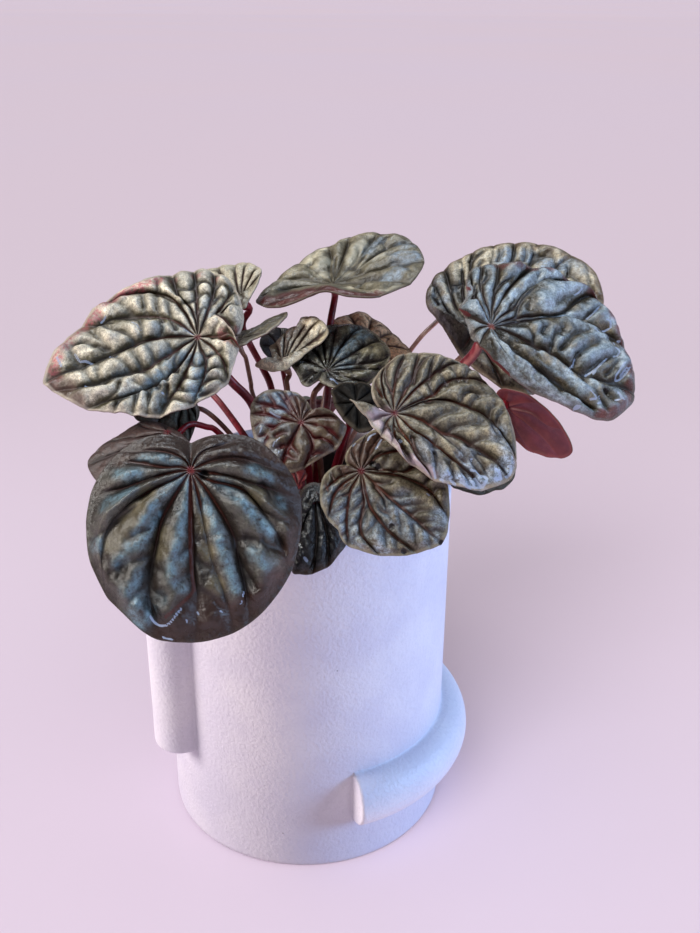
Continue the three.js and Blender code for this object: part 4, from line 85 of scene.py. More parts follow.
     "veins": [[0.0,[[-2.3,-0.7],[-3.9,-1.1],[-6.4,-1.4]]],[0.0551,[[-2.2,-2.3],[-3.5,-4.3]]],[0.0973,[[-0.7,-2.7],[-0.4,-5.3]]],[0.1769,[[1.2,-3.5],[2.9,-6.5],[5.2,-8.3]]],[0.2373,[[2.2,-2.8],[4.5,-4.4],[6.7,-5.8],[8.8,-7.7],[11.4,-9.1]]],[0.3334,[[2.7,-1.0],[5.7,-2.4],[8.9,-2.7],[12.0,-3.4],[15.3,-4.5],[18.7,-5.2],[22.1,-6.1]]],[0.3985,[[3.5,1.0],[7.6,1.1],[11.6,0.6],[15.6,1.1],[19.9,0.8],[24.2,0.3],[27.8,-0.9]]],[0.4497,[[3.0,3.9],[5.9,7.2],[9.3,9.2],[13.2,9.9],[17.3,10.3],[20.9,9.9],[24.2,8.1],[27.2,5.8]]],[0.6161,[[2.0,3.3],[4.2,6.1],[6.3,9.3],[7.1,12.8],[9.1,16.0],[12.3,18.1],[15.7,19.2]]],[0.7005,[[0.6,3.5],[1.6,7.9],[3.1,12.2],[4.8,16.7],[7.2,20.3]]],[0.8014,[[-0.2,3.0],[-0.1,7.0],[0.1,11.1],[-0.6,14.9]]],[0.8313,[[-2.2,3.9],[-3.2,7.7],[-4.1,12.0]]],[0.8853,[[-2.9,2.0],[-5.4,5.0],[-6.9,8.1]]],[1.0,[[-1.8,0.1]]]]},
    "L": {"at": [-23.72,-54.0,131.76], "u": [0.0584,-0.5557,-0.8293], "n": [0.1316,-0.8192,0.5582], "th": 1.0, "open": False,
     "rim": [[-7.1,0.1,-3.3],[-8.0,-1.6,-3.3],[-8.8,-3.4,-3.3],[-9.3,-5.7,-3.3],[-9.2,-8.0,-3.3],[-8.7,-10.3,-3.3],[-7.8,-12.7,-3.3],[-6.4,-15.0,-3.3],[-4.4,-17.3,-3.3],[-2.1,-19.3,-3.3],[0.7,-21.1,-3.3],[3.7,-22.5,-3.3],[6.7,-23.2,-3.3],[10.1,-23.7,-3.3],[13.5,-23.7,-3.3],[17.0,-23.5,-3.3],[20.0,-22.9,-3.3],[22.3,-22.0,-3.3],[24.8,-20.9,-3.3],[27.8,-19.4,-3.3],[29.7,-17.7,-3.3],[32.0,-15.5,-3.3],[34.3,-13.3,-3.3],[36.2,-11.1,-3.3],[37.7,-8.5,-3.3],[38.4,-5.2,-3.3],[38.7,-2.3,-3.3],[38.8,-0.0,-3.3],[38.6,2.7,-3.3],[38.0,5.6,-3.3],[37.2,8.4,-3.3],[36.0,10.9,-3.3],[34.7,13.0,-3.3],[32.8,15.4,-3.3],[30.4,17.7,-3.3],[27.7,19.9,-3.3],[25.0,21.7,-3.3],[23.0,22.7,-3.3],[20.0,23.7,-3.3],[16.5,24.6,-3.3],[13.0,25.2,-3.3],[9.4,25.4,-3.3],[5.9,25.1,-3.3],[2.7,24.2,-3.3],[0.1,22.9,-3.3],[-2.4,21.1,-3.3],[-4.8,18.9,-3.3],[-6.6,16.8,-3.3],[-8.0,14.5,-3.3],[-8.8,11.7,-3.3],[-9.0,8.9,-3.3],[-8.9,5.9,-3.3],[-8.4,3.5,-3.3],[-7.7,1.6,-3.3]],
     "veins": [[0.0,[[-2.7,0.1]]],[0.1109,[[-2.2,-0.8],[-3.7,-2.8],[-4.7,-5.7],[-5.2,-9.2],[-5.2,-12.6]]],[0.134,[[-0.9,-2.4],[-0.9,-5.8],[-1.8,-9.7],[-2.6,-13.3]]],[0.1809,[[0.2,-3.5],[1.3,-8.1],[2.5,-12.0],[3.5,-15.6],[3.9,-19.3]]],[0.3389,[[2.2,-4.3],[4.1,-8.6],[6.2,-12.3],[9.0,-15.7],[12.5,-18.5],[16.5,-19.9],[20.8,-20.2]]],[0.4479,[[3.7,-2.3],[7.0,-4.4],[11.1,-6.7],[16.0,-8.0],[20.7,-9.0],[25.2,-9.7],[29.6,-9.6],[33.9,-8.4]]],[0.4961,[[4.4,-0.0],[11.3,0.0],[18.1,0.1],[23.8,0.1],[29.0,0.7]]],[0.5511,[[4.5,1.3],[10.3,2.5],[16.0,3.5],[21.7,4.7],[27.0,6.4],[32.0,7.8]]],[0.5763,[[3.8,3.0],[8.0,5.6],[12.3,8.0],[16.4,9.7],[20.8,10.4],[25.4,11.4],[29.9,12.0]]],[0.6652,[[2.5,4.6],[3.5,8.5],[4.9,12.1],[8.0,14.8],[11.3,17.0],[14.8,19.2],[19.2,20.9]]],[0.7796,[[0.8,4.9],[1.6,9.0],[2.8,12.6],[4.0,16.3],[5.2,20.1]]],[0.8242,[[-1.6,3.3],[-2.6,6.8],[-2.8,10.5],[-2.1,14.2],[-0.8,17.9]]],[0.9164,[[-3.1,1.5],[-5.0,3.9],[-6.0,7.4]]]]},
    "M": {"at": [-33.02,-29.0,130.69], "u": [-0.7836,-0.4875,-0.3852], "n": [-0.1244,-0.4843,0.866], "th": 1.0, "open": False,
     "rim": [[-2.0,9.8,-1.1],[-2.8,6.7,-1.1],[-2.8,3.7,-1.1],[-2.6,1.2,-1.1],[-1.7,-2.3,-1.1],[-0.5,-5.4,-1.1],[1.3,-7.5,-1.1],[2.8,-9.0,-1.1],[4.2,-9.3,-1.1],[6.8,-9.3,-1.1],[10.0,-9.1,-1.1],[12.7,-9.5,-1.1],[15.3,-9.2,-1.1],[16.9,-8.5,-1.1],[18.6,-8.0,-1.1],[19.9,-7.0,-1.1],[20.7,-4.8,-1.1],[21.0,-0.9,-1.1],[20.3,3.9,-1.1],[17.9,8.8,-1.1],[14.4,12.5,-1.1],[9.7,14.4,-1.1],[4.8,14.0,-1.1],[0.8,12.3,-1.1]],
     "veins": [[0.0556,[[-0.5,1.7],[-1.4,3.6]]],[0.1667,[[-0.2,-0.9],[-0.7,-1.9]]],[0.2778,[[1.6,-2.4],[3.0,-5.5]]],[0.3889,[[3.9,-2.2],[8.2,-5.4]]],[0.5,[[5.8,-1.4],[12.7,-3.5]]],[0.6111,[[5.8,0.5],[12.8,1.3]]],[0.7222,[[5.1,2.3],[10.9,5.6]]],[0.8333,[[3.4,3.5],[6.8,8.3]]],[0.9444,[[1.1,3.4],[1.7,7.7]]]]},
    "M2": {"at": [-31.02,-14.0,133.72], "u": [-0.8068,-0.5808,-0.1079], "n": [0.2255,-0.4715,0.8525], "th": 1.0, "open": False,
     "rim": [[3.1,10.3,-0.8],[0.3,7.3,-0.8],[-1.9,4.9,-0.8],[-2.8,2.7,-0.8],[-3.3,-0.4,-0.8],[-2.2,-3.9,-0.8],[0.6,-6.5,-0.8],[4.7,-7.8,-0.8],[9.1,-6.7,-0.8],[12.8,-3.8,-0.8],[13.9,-0.5,-0.8],[12.9,1.4,-0.8],[10.7,2.6,-0.8],[8.8,3.4,-0.8],[7.6,5.6,-0.8],[6.6,8.1,-0.8],[5.7,10.3,-0.8],[5.2,11.9,-0.8]],
     "veins": [[0.0109,[[-0.4,3.6],[-0.0,6.7]]],[0.2053,[[-1.4,0.8],[-2.7,0.7]]],[0.3227,[[-1.1,-1.9],[-1.2,-3.2]]],[0.4796,[[1.8,-2.3],[4.4,-5.1]]],[0.633,[[3.5,-1.2],[8.2,-2.2]]],[0.7706,[[3.4,0.7],[6.6,1.4]]],[0.9051,[[2.3,2.6],[4.8,5.7]]],[0.9717,[[0.8,3.2],[2.5,7.4]]]]},
    "N": {"at": [4.6,-33.0,116.71], "u": [-0.2469,-0.7144,-0.6547], "n": [0.0132,-0.678,0.7349], "th": 1.0, "open": False,
     "rim": [[-0.9,-3.7,-1.9],[2.7,-4.3,-1.9],[8.1,-3.8,-1.9],[14.8,-2.7,-1.9],[19.1,-1.7,-1.9],[21.7,-0.2,-1.9],[21.6,1.6,-1.9],[21.1,3.5,-1.9],[20.1,5.2,-1.9],[18.7,6.9,-1.9],[17.1,8.3,-1.9],[14.5,9.4,-1.9],[12.1,10.3,-1.9],[9.8,10.7,-1.9],[6.6,10.4,-1.9],[3.4,8.8,-1.9],[0.6,6.5,-1.9],[-1.5,3.8,-1.9],[-2.6,1.4,-1.9],[-2.7,-1.6,-1.9]],
     "veins": [[0.3466,[[3.8,-0.8],[9.3,-1.1],[14.7,-1.2]]],[0.443,[[4.3,0.7],[9.7,2.7],[14.7,3.8]]],[0.5068,[[4.0,1.9],[9.1,4.8],[13.4,6.5]]],[0.6354,[[2.8,2.9],[5.9,6.3],[9.0,9.2]]]]},
    "O": {"at": [49.99,22.0,143.32], "u": [0.8581,0.3622,0.364], "n": [-0.0802,-0.6057,0.7917], "th": 1.0, "open": False,
     "rim": [[-7.4,15.5,-2.6],[-7.3,12.4,-2.6],[-7.3,7.5,-2.6],[-7.7,3.5,-2.6],[-8.0,-0.6,-2.6],[-8.3,-4.4,-2.6],[-8.0,-8.1,-2.6],[-7.2,-12.0,-2.6],[-5.8,-16.1,-2.6],[-4.5,-19.6,-2.6],[-2.3,-22.5,-2.6],[0.9,-25.3,-2.6],[4.9,-25.9,-2.6],[10.1,-25.3,-2.6],[16.5,-23.7,-2.6],[22.8,-21.3,-2.6],[28.3,-18.1,-2.6],[33.2,-14.4,-2.6],[37.2,-10.5,-2.6],[39.6,-6.3,-2.6],[41.1,-1.9,-2.6],[41.4,1.6,-2.6],[40.8,5.7,-2.6],[39.6,9.2,-2.6],[37.8,12.8,-2.6],[35.4,16.3,-2.6],[32.1,19.5,-2.6],[28.4,22.2,-2.6],[24.3,24.3,-2.6],[19.8,25.9,-2.6],[15.4,26.5,-2.6],[11.8,26.5,-2.6],[8.0,26.3,-2.6],[5.0,25.5,-2.6],[1.5,25.1,-2.6],[-1.2,23.6,-2.6],[-4.1,21.4,-2.6],[-6.3,18.4,-2.6]],
     "veins": [[0.1064,[[-3.7,-1.4],[-5.9,-2.2]]],[0.2182,[[-1.9,-4.9],[-3.1,-9.9],[-3.5,-15.2]]],[0.2698,[[0.5,-6.5],[1.2,-14.7],[2.2,-20.8]]],[0.3801,[[3.8,-5.8],[8.9,-13.6],[14.0,-20.2]]],[0.5388,[[6.6,-2.6],[16.7,-4.9],[28.5,-5.9]]],[0.6395,[[7.3,0.4],[18.2,2.4],[29.5,5.6]]],[0.7056,[[7.3,3.1],[18.1,7.5],[26.3,11.4]]],[0.7477,[[6.7,5.3],[16.5,11.9],[23.3,16.4]]],[0.7879,[[5.6,7.4],[12.6,14.6],[18.3,19.8]]],[0.8296,[[3.3,7.6],[7.6,15.7],[12.5,22.5]]],[0.8555,[[2.3,11.0],[6.0,17.1]]],[0.8992,[[-1.6,7.2],[-0.2,13.7],[3.4,21.9]]],[0.9361,[[-4.6,4.7],[-3.8,11.9],[-2.3,18.2]]]]},
    "P": {"at": [48.53,-14.0,154.51], "u": [0.9044,-0.0927,-0.4164], "n": [0.2712,-0.6283,0.7291], "th": 1.0, "open": False,
     "rim": [[-7.0,2.5,-3.0],[-6.1,0.6,-3.0],[-4.7,-1.3,-3.0],[-2.9,-3.4,-3.0],[-0.9,-4.3,-3.0],[1.5,-5.3,-3.0],[3.6,-6.8,-3.0],[6.6,-8.1,-3.0],[9.9,-9.3,-3.0],[13.6,-10.2,-3.0],[16.8,-10.5,-3.0],[18.8,-10.5,-3.0],[21.7,-10.3,-3.0],[25.4,-10.2,-3.0],[28.3,-10.2,-3.0],[31.1,-10.0,-3.0],[33.7,-9.9,-3.0],[35.8,-9.1,-3.0],[38.4,-7.7,-3.0],[40.0,-5.5,-3.0],[41.4,-2.7,-3.0],[42.5,-0.1,-3.0],[42.8,2.4,-3.0],[42.1,5.5,-3.0],[40.7,9.1,-3.0],[38.9,12.7,-3.0],[37.0,15.8,-3.0],[34.6,19.2,-3.0],[32.6,21.2,-3.0],[30.4,22.5,-3.0],[28.1,24.5,-3.0],[26.0,26.6,-3.0],[23.7,27.4,-3.0],[20.5,27.9,-3.0],[17.2,28.4,-3.0],[14.1,28.7,-3.0],[11.0,28.7,-3.0],[8.1,27.9,-3.0],[4.8,26.8,-3.0],[1.2,25.5,-3.0],[-1.5,24.1,-3.0],[-4.7,21.7,-3.0],[-6.4,20.5,-3.0],[-8.0,18.9,-3.0],[-9.5,16.9,-3.0],[-9.9,14.4,-3.0],[-9.6,11.7,-3.0],[-8.4,8.8,-3.0],[-8.5,5.2,-3.0],[-9.0,3.3,-3.0]],
     "veins": [[0.0022,[[-2.8,-0.1],[-5.3,0.9]]],[0.0465,[[-2.5,-1.4]]],[0.0698,[[-0.6,-2.5],[-0.5,-4.9]]],[0.1925,[[1.4,-2.9],[4.3,-5.3],[7.5,-7.5],[11.2,-8.8]]],[0.3359,[[2.5,-1.6],[6.2,-3.7],[10.0,-5.3],[14.5,-5.7],[19.1,-6.2],[23.9,-7.3],[28.7,-8.0],[33.0,-8.2]]],[0.4265,[[3.5,0.7],[8.5,0.6],[13.3,0.4],[17.4,0.8],[21.5,-0.0],[26.1,-0.9],[31.2,0.5],[36.7,2.3]]],[0.5179,[[3.5,2.8],[8.2,6.9],[13.2,11.0],[18.5,14.2],[23.8,15.8],[28.4,16.3],[32.9,16.4]]],[0.6112,[[3.2,4.0],[7.2,7.5],[11.7,10.8],[15.6,13.5],[18.0,17.6],[20.2,22.3],[23.2,26.2]]],[0.6729,[[1.4,4.0],[4.1,9.3],[5.0,13.7],[6.9,18.5],[10.1,23.3],[14.0,25.6]]],[0.7622,[[-0.0,5.0],[0.5,10.9],[1.8,16.5],[3.6,21.5]]],[0.8328,[[-1.2,5.0],[-1.9,9.9],[-2.3,15.6]]],[0.8667,[[-1.7,3.9],[-4.4,7.7],[-6.4,12.5]]],[0.8998,[[-2.3,2.3],[-5.2,5.4],[-7.8,9.1]]]]},
    "Q": {"at": [56.6,6.0,126.35], "u": [0.7823,-0.4359,-0.4449], "n": [0.5571,0.8091,0.1868], "th": 1.0, "open": False,
     "rim": [[-2.7,-1.5,-1.3],[-3.1,-2.9,-1.3],[-2.7,-4.4,-1.3],[-1.4,-5.9,-1.3],[1.1,-7.1,-1.3],[4.0,-8.3,-1.3],[6.2,-8.6,-1.3],[8.2,-8.6,-1.3],[10.7,-8.3,-1.3],[13.4,-7.7,-1.3],[15.8,-7.0,-1.3],[18.0,-6.0,-1.3],[20.5,-4.4,-1.3],[22.4,-2.7,-1.3],[23.4,-1.1,-1.3],[23.2,0.8,-1.3],[22.1,2.7,-1.3],[20.4,4.0,-1.3],[18.8,5.5,-1.3],[17.0,6.2,-1.3],[15.0,6.9,-1.3],[12.6,7.8,-1.3],[10.0,7.5,-1.3],[7.8,7.3,-1.3],[4.7,6.1,-1.3],[1.2,3.9,-1.3],[-1.5,1.2,-1.3]],
     "veins": [[0.088,[[0.1,-2.2],[-0.3,-4.2]]],[0.2294,[[1.9,-1.2],[4.7,-5.1]]],[0.3823,[[3.0,-0.4],[7.7,-3.0],[13.7,-3.8]]],[0.5587,[[3.8,0.5],[9.5,0.6],[15.0,1.0]]],[0.6863,[[2.2,1.5],[5.4,3.6],[10.3,5.9]]],[0.8878,[[1.0,2.3],[1.6,4.0]]]]},
    "R": {"at": [14.38,-18.5,135.19], "u": [0.3245,-0.875,-0.3594], "n": [-0.1315,-0.418,0.8989], "th": 1.0, "open": False,
     "rim": [[-6.1,4.8,-0.6],[-8.1,1.6,-0.6],[-8.8,-1.6,-0.6],[-8.0,-4.1,-0.6],[-5.0,-4.8,-0.6],[-1.2,-5.2,-0.6],[2.1,-4.9,-0.6],[5.2,-4.3,-0.6],[7.9,-3.4,-0.6],[9.8,-1.8,-0.6],[10.4,0.1,-0.6],[9.0,2.0,-0.6],[5.3,4.1,-0.6],[1.2,5.6,-0.6],[-2.4,6.4,-0.6]],
     "veins": [[0.0625,[[-2.1,0.8],[-4.8,1.6]]],[0.1875,[[-2.2,-1.2],[-5.1,-2.5]]],[0.3125,[[-0.4,-1.6],[-1.2,-3.3]]],[0.4375,[[1.2,-1.1],[2.5,-2.7]]],[0.5625,[[2.6,-0.5],[5.8,-1.3]]],[0.6875,[[2.3,0.6],[5.1,1.4]]],[0.8125,[[1.0,1.3],[2.0,3.0]]],[0.9375,[[-0.6,1.9],[-1.7,4.0]]]]},
    "T": {"at": [-0.71,-24.0,113.28], "u": [0.0997,0.8219,0.5608], "n": [0.1259,-0.5695,0.8123], "th": 1.0, "open": False,
     "rim": [[0.1,-0.7,0.6],[1.7,-0.8,0.6],[2.7,-1.5,0.6],[4.0,-1.8,0.6],[5.2,-1.1,0.6],[5.7,0.0,0.6],[5.2,1.3,0.6],[4.2,2.2,0.6],[2.9,2.6,0.6],[0.9,1.8,0.6],[-1.1,0.7,0.6]],
     "veins": [[0.1,[[0.5,-0.2],[1.2,-0.5]]],[0.3,[[1.4,-0.3],[3.1,-0.8]]],[0.5,[[1.4,0.4],[3.1,0.9]]],[0.7,[[0.6,0.5],[1.2,1.3]]],[0.9,[[-0.3,0.2],[-0.6,0.3]]]]},
    "U": {"at": [44.33,-22.0,121.66], "u": [0.5274,-0.8072,-0.2651], "n": [-0.0169,-0.322,0.9466], "th": 1.0, "open": False,
     "rim": [[2.3,-8.9,-0.9],[5.4,-9.6,-0.9],[7.7,-8.7,-0.9],[9.6,-7.6,-0.9],[11.6,-5.9,-0.9],[12.3,-3.7,-0.9],[12.6,-1.3,-0.9],[13.3,0.6,-0.9],[12.5,3.2,-0.9],[11.2,5.9,-0.9],[7.2,9.0,-0.9],[1.5,10.8,-0.9],[-3.7,10.1,-0.9],[-7.0,7.2,-0.9],[-8.0,2.6,-0.9],[-6.3,-2.2,-0.9],[-2.5,-6.5,-0.9]],
     "veins": [[0.0625,[[2.2,-2.3],[4.4,-5.5]]],[0.1875,[[3.5,-1.0],[7.7,-2.4]]],[0.3125,[[3.5,0.8],[7.8,1.9]]],[0.4375,[[2.4,2.2],[4.8,5.2]]],[0.5625,[[0.4,3.1],[0.2,6.8]]],[0.6875,[[-1.8,2.1],[-4.2,4.4]]],[0.8125,[[-1.9,-0.4],[-4.2,-0.9]]],[0.9375,[[0.0,-2.1],[-0.4,-4.6]]]]},
    "V": {"at": [47.99,52.0,146.85], "u": [0.2107,-0.9273,-0.3095], "n": [-0.1361,-0.3413,0.93], "th": 1.0, "open": False,
     "rim": [[0.2,-7.0,-0.6],[5.2,-6.1,-0.6],[9.0,-3.7,-0.6],[11.2,0.2,-0.6],[10.2,4.7,-0.6],[7.2,8.2,-0.6],[2.3,10.4,-0.6],[-3.0,10.5,-0.6],[-7.4,8.8,-0.6],[-10.0,5.6,-0.6],[-10.4,1.7,-0.6],[-8.5,-2.5,-0.6],[-4.6,-6.0,-0.6]],
     "veins": [[0.0625,[[1.5,-1.6],[2.9,-3.8]]],[0.1875,[[2.9,-0.5],[6.4,-1.2]]],[0.3125,[[2.9,1.2],[6.3,2.9]]],[0.4375,[[1.7,2.6],[3.1,5.9]]],[0.5625,[[-0.4,3.1],[-1.6,6.7]]],[0.6875,[[-2.5,2.0],[-5.8,4.1]]],[0.8125,[[-2.6,-0.5],[-5.7,-1.0]]],[0.9375,[[-0.7,-2.0],[-1.8,-4.2]]]]},
    "W": {"at": [-35.0,27.0,129.0], "u": [-0.6312,0.4552,-0.628], "n": [-0.4201,0.4801,0.7701], "th": 0.9, "open": False,
     "rim": [[26.9,0.0,-2.4],[26.1,3.3,-2.1],[24.1,6.5,-1.8],[21.2,9.5,-1.6],[17.7,12.0,-1.6],[14.0,14.0,-1.6],[10.2,15.4,-1.6],[6.1,15.9,-1.5],[2.0,15.2,-1.3],[-1.6,13.3,-1.1],[-4.3,10.7,-1.0],[-5.9,7.7,-1.2],[-6.4,4.1,-1.7],[-6.4,-0.0,-2.3],[-6.5,-4.1,-2.7],[-6.1,-7.9,-2.9],[-4.5,-11.0,-2.6],[-1.6,-13.5,-2.0],[2.0,-15.0,-1.2],[5.9,-15.4,-0.7],[9.8,-14.9,-0.5],[13.8,-13.8,-0.7],[18.0,-12.2,-1.2],[21.8,-9.8,-1.8],[24.8,-6.7,-2.3],[26.5,-3.3,-2.5]],
     "veins": [[0.1028,[[6.4,1.9],[13.8,4.8]]],[0.2233,[[4.1,3.5],[8.0,8.6]]],[0.3334,[[1.2,4.0],[1.4,8.9]]],[0.4506,[[-1.5,1.7],[-3.7,3.4]]],[0.5503,[[-1.5,-1.8],[-3.7,-3.7]]],[0.678,[[1.5,-4.0],[2.2,-9.1]]],[0.7645,[[3.8,-3.5],[7.4,-8.4]]],[0.8768,[[6.2,-2.2],[13.4,-5.7]]],[0.9981,[[7.5,-0.0],[16.7,-0.1]]]]},
    "X": {"at": [7.0,44.0,128.5], "u": [0.0425,0.8324,-0.5526], "n": [0.0201,0.5523,0.8334], "th": 0.9, "open": False,
     "rim": [[23.2,0.0,-0.4],[22.5,2.7,-0.4],[20.6,5.4,-0.7],[17.9,7.7,-1.2],[14.6,9.6,-1.7],[11.3,10.9,-2.1],[8.1,12.0,-2.2],[4.8,12.6,-2.0],[1.4,12.4,-1.7],[-1.8,11.1,-1.4],[-4.1,8.9,-1.2],[-5.4,6.3,-1.2],[-5.6,3.3,-1.2],[-5.6,-0.0,-1.2],[-5.6,-3.3,-1.2],[-5.4,-6.2,-1.1],[-4.1,-8.8,-1.0],[-1.7,-11.0,-1.0],[1.4,-12.5,-1.2],[4.9,-12.8,-1.6],[8.2,-12.2,-2.0],[11.3,-11.0,-2.3],[14.5,-9.5,-2.3],[17.7,-7.6,-1.9],[20.6,-5.3,-1.4],[22.5,-2.7,-0.8]],
     "veins": [[0.0043,[[6.5,0.1],[14.4,0.2]]],[0.101,[[5.4,1.5],[11.8,3.8]]],[0.2135,[[3.5,2.6],[7.0,6.4]]],[0.3284,[[1.0,3.4],[1.3,7.5]]],[0.4366,[[-1.2,1.8],[-3.1,3.8]]],[0.5438,[[-1.4,-1.3],[-3.3,-2.6]]],[0.6631,[[0.8,-3.3],[0.9,-7.4]]],[0.7825,[[3.4,-2.7],[6.8,-6.6]]],[0.8919,[[5.3,-1.5],[11.5,-3.9]]]]},
    "Y": {"at": [50.0,36.0,119.0], "u": [0.6742,0.3544,-0.6479], "n": [0.5028,0.4224,0.7542], "th": 0.9, "open": False,
     "rim": [[24.7,0.0,-0.9],[24.0,3.0,-1.3],[22.2,5.9,-1.6],[19.5,8.6,-1.7],[16.3,10.9,-1.8],[12.9,12.6,-1.7],[9.3,13.9,-1.7],[5.5,14.4,-1.8],[1.7,13.7,-1.9],[-1.6,12.0,-2.0],[-4.2,9.7,-2.0],[-5.6,6.9,-1.7],[-6.0,3.7,-1.3],[-6.1,-0.0,-0.8],[-6.1,-3.7,-0.6],[-5.8,-7.1,-0.6],[-4.3,-9.9,-1.0],[-1.7,-12.2,-1.7],[1.7,-13.5,-2.3],[5.3,-13.9,-2.6],[9.0,-13.4,-2.6],[12.7,-12.5,-2.3],[16.5,-11.0,-1.7],[20.0,-8.9,-1.1],[22.8,-6.1,-0.8],[24.4,-3.0,-0.7]],
     "veins": [[0.0011,[[6.9,0.0],[15.3,0.1]]],[0.1218,[[5.5,2.0],[11.9,5.0]]],[0.2296,[[3.6,3.3],[7.0,7.8]]],[0.3376,[[0.9,3.6],[1.0,8.0]]],[0.439,[[-1.4,1.9],[-3.3,3.8]]],[0.547,[[-1.5,-1.6],[-3.5,-3.2]]],[0.6665,[[1.1,-3.6],[1.3,-8.1]]],[0.7897,[[4.0,-2.9],[8.1,-7.1]]],[0.8994,[[6.1,-1.7],[13.2,-4.4]]]]},
    "Z": {"at": [-2.0,43.0,112.0], "u": [-0.2099,0.7224,-0.6588], "n": [-0.2205,0.6215,0.7518], "th": 0.9, "open": False,
     "rim": [[20.9,0.0,-1.4],[20.0,2.6,-0.9],[18.3,5.1,-0.5],[15.9,7.3,-0.3],[13.2,9.2,-0.5],[10.3,10.6,-1.0],[7.3,11.7,-1.5],[4.2,12.3,-1.9],[1.1,12.0,-2.1],[-1.8,10.6,-2.0],[-3.9,8.5,-1.7],[-5.0,5.9,-1.4],[-5.2,3.1,-1.1],[-5.2,-0.0,-1.0],[-5.4,-3.2,-1.1],[-5.2,-6.1,-1.1],[-4.0,-8.6,-1.1],[-1.8,-10.6,-1.1],[1.1,-11.8,-1.0],[4.2,-12.1,-1.0],[7.2,-11.5,-1.1],[10.1,-10.5,-1.4],[13.1,-9.2,-1.8],[16.2,-7.4,-2.1],[18.9,-5.2,-2.1],[20.6,-2.6,-1.9]],
     "veins": [[0.0052,[[5.8,0.1],[12.9,0.2]]],[0.1011,[[4.9,1.4],[10.5,3.6]]],[0.2276,[[2.9,2.7],[5.7,6.6]]],[0.3429,[[0.5,3.2],[0.3,6.9]]],[0.4422,[[-1.2,1.5],[-2.9,3.1]]],[0.5422,[[-1.4,-1.2],[-3.2,-2.5]]],[0.6568,[[0.6,-3.2],[0.4,-6.9]]],[0.7868,[[3.2,-2.5],[6.4,-6.1]]],[0.8891,[[4.8,-1.5],[10.5,-3.9]]]]},
}
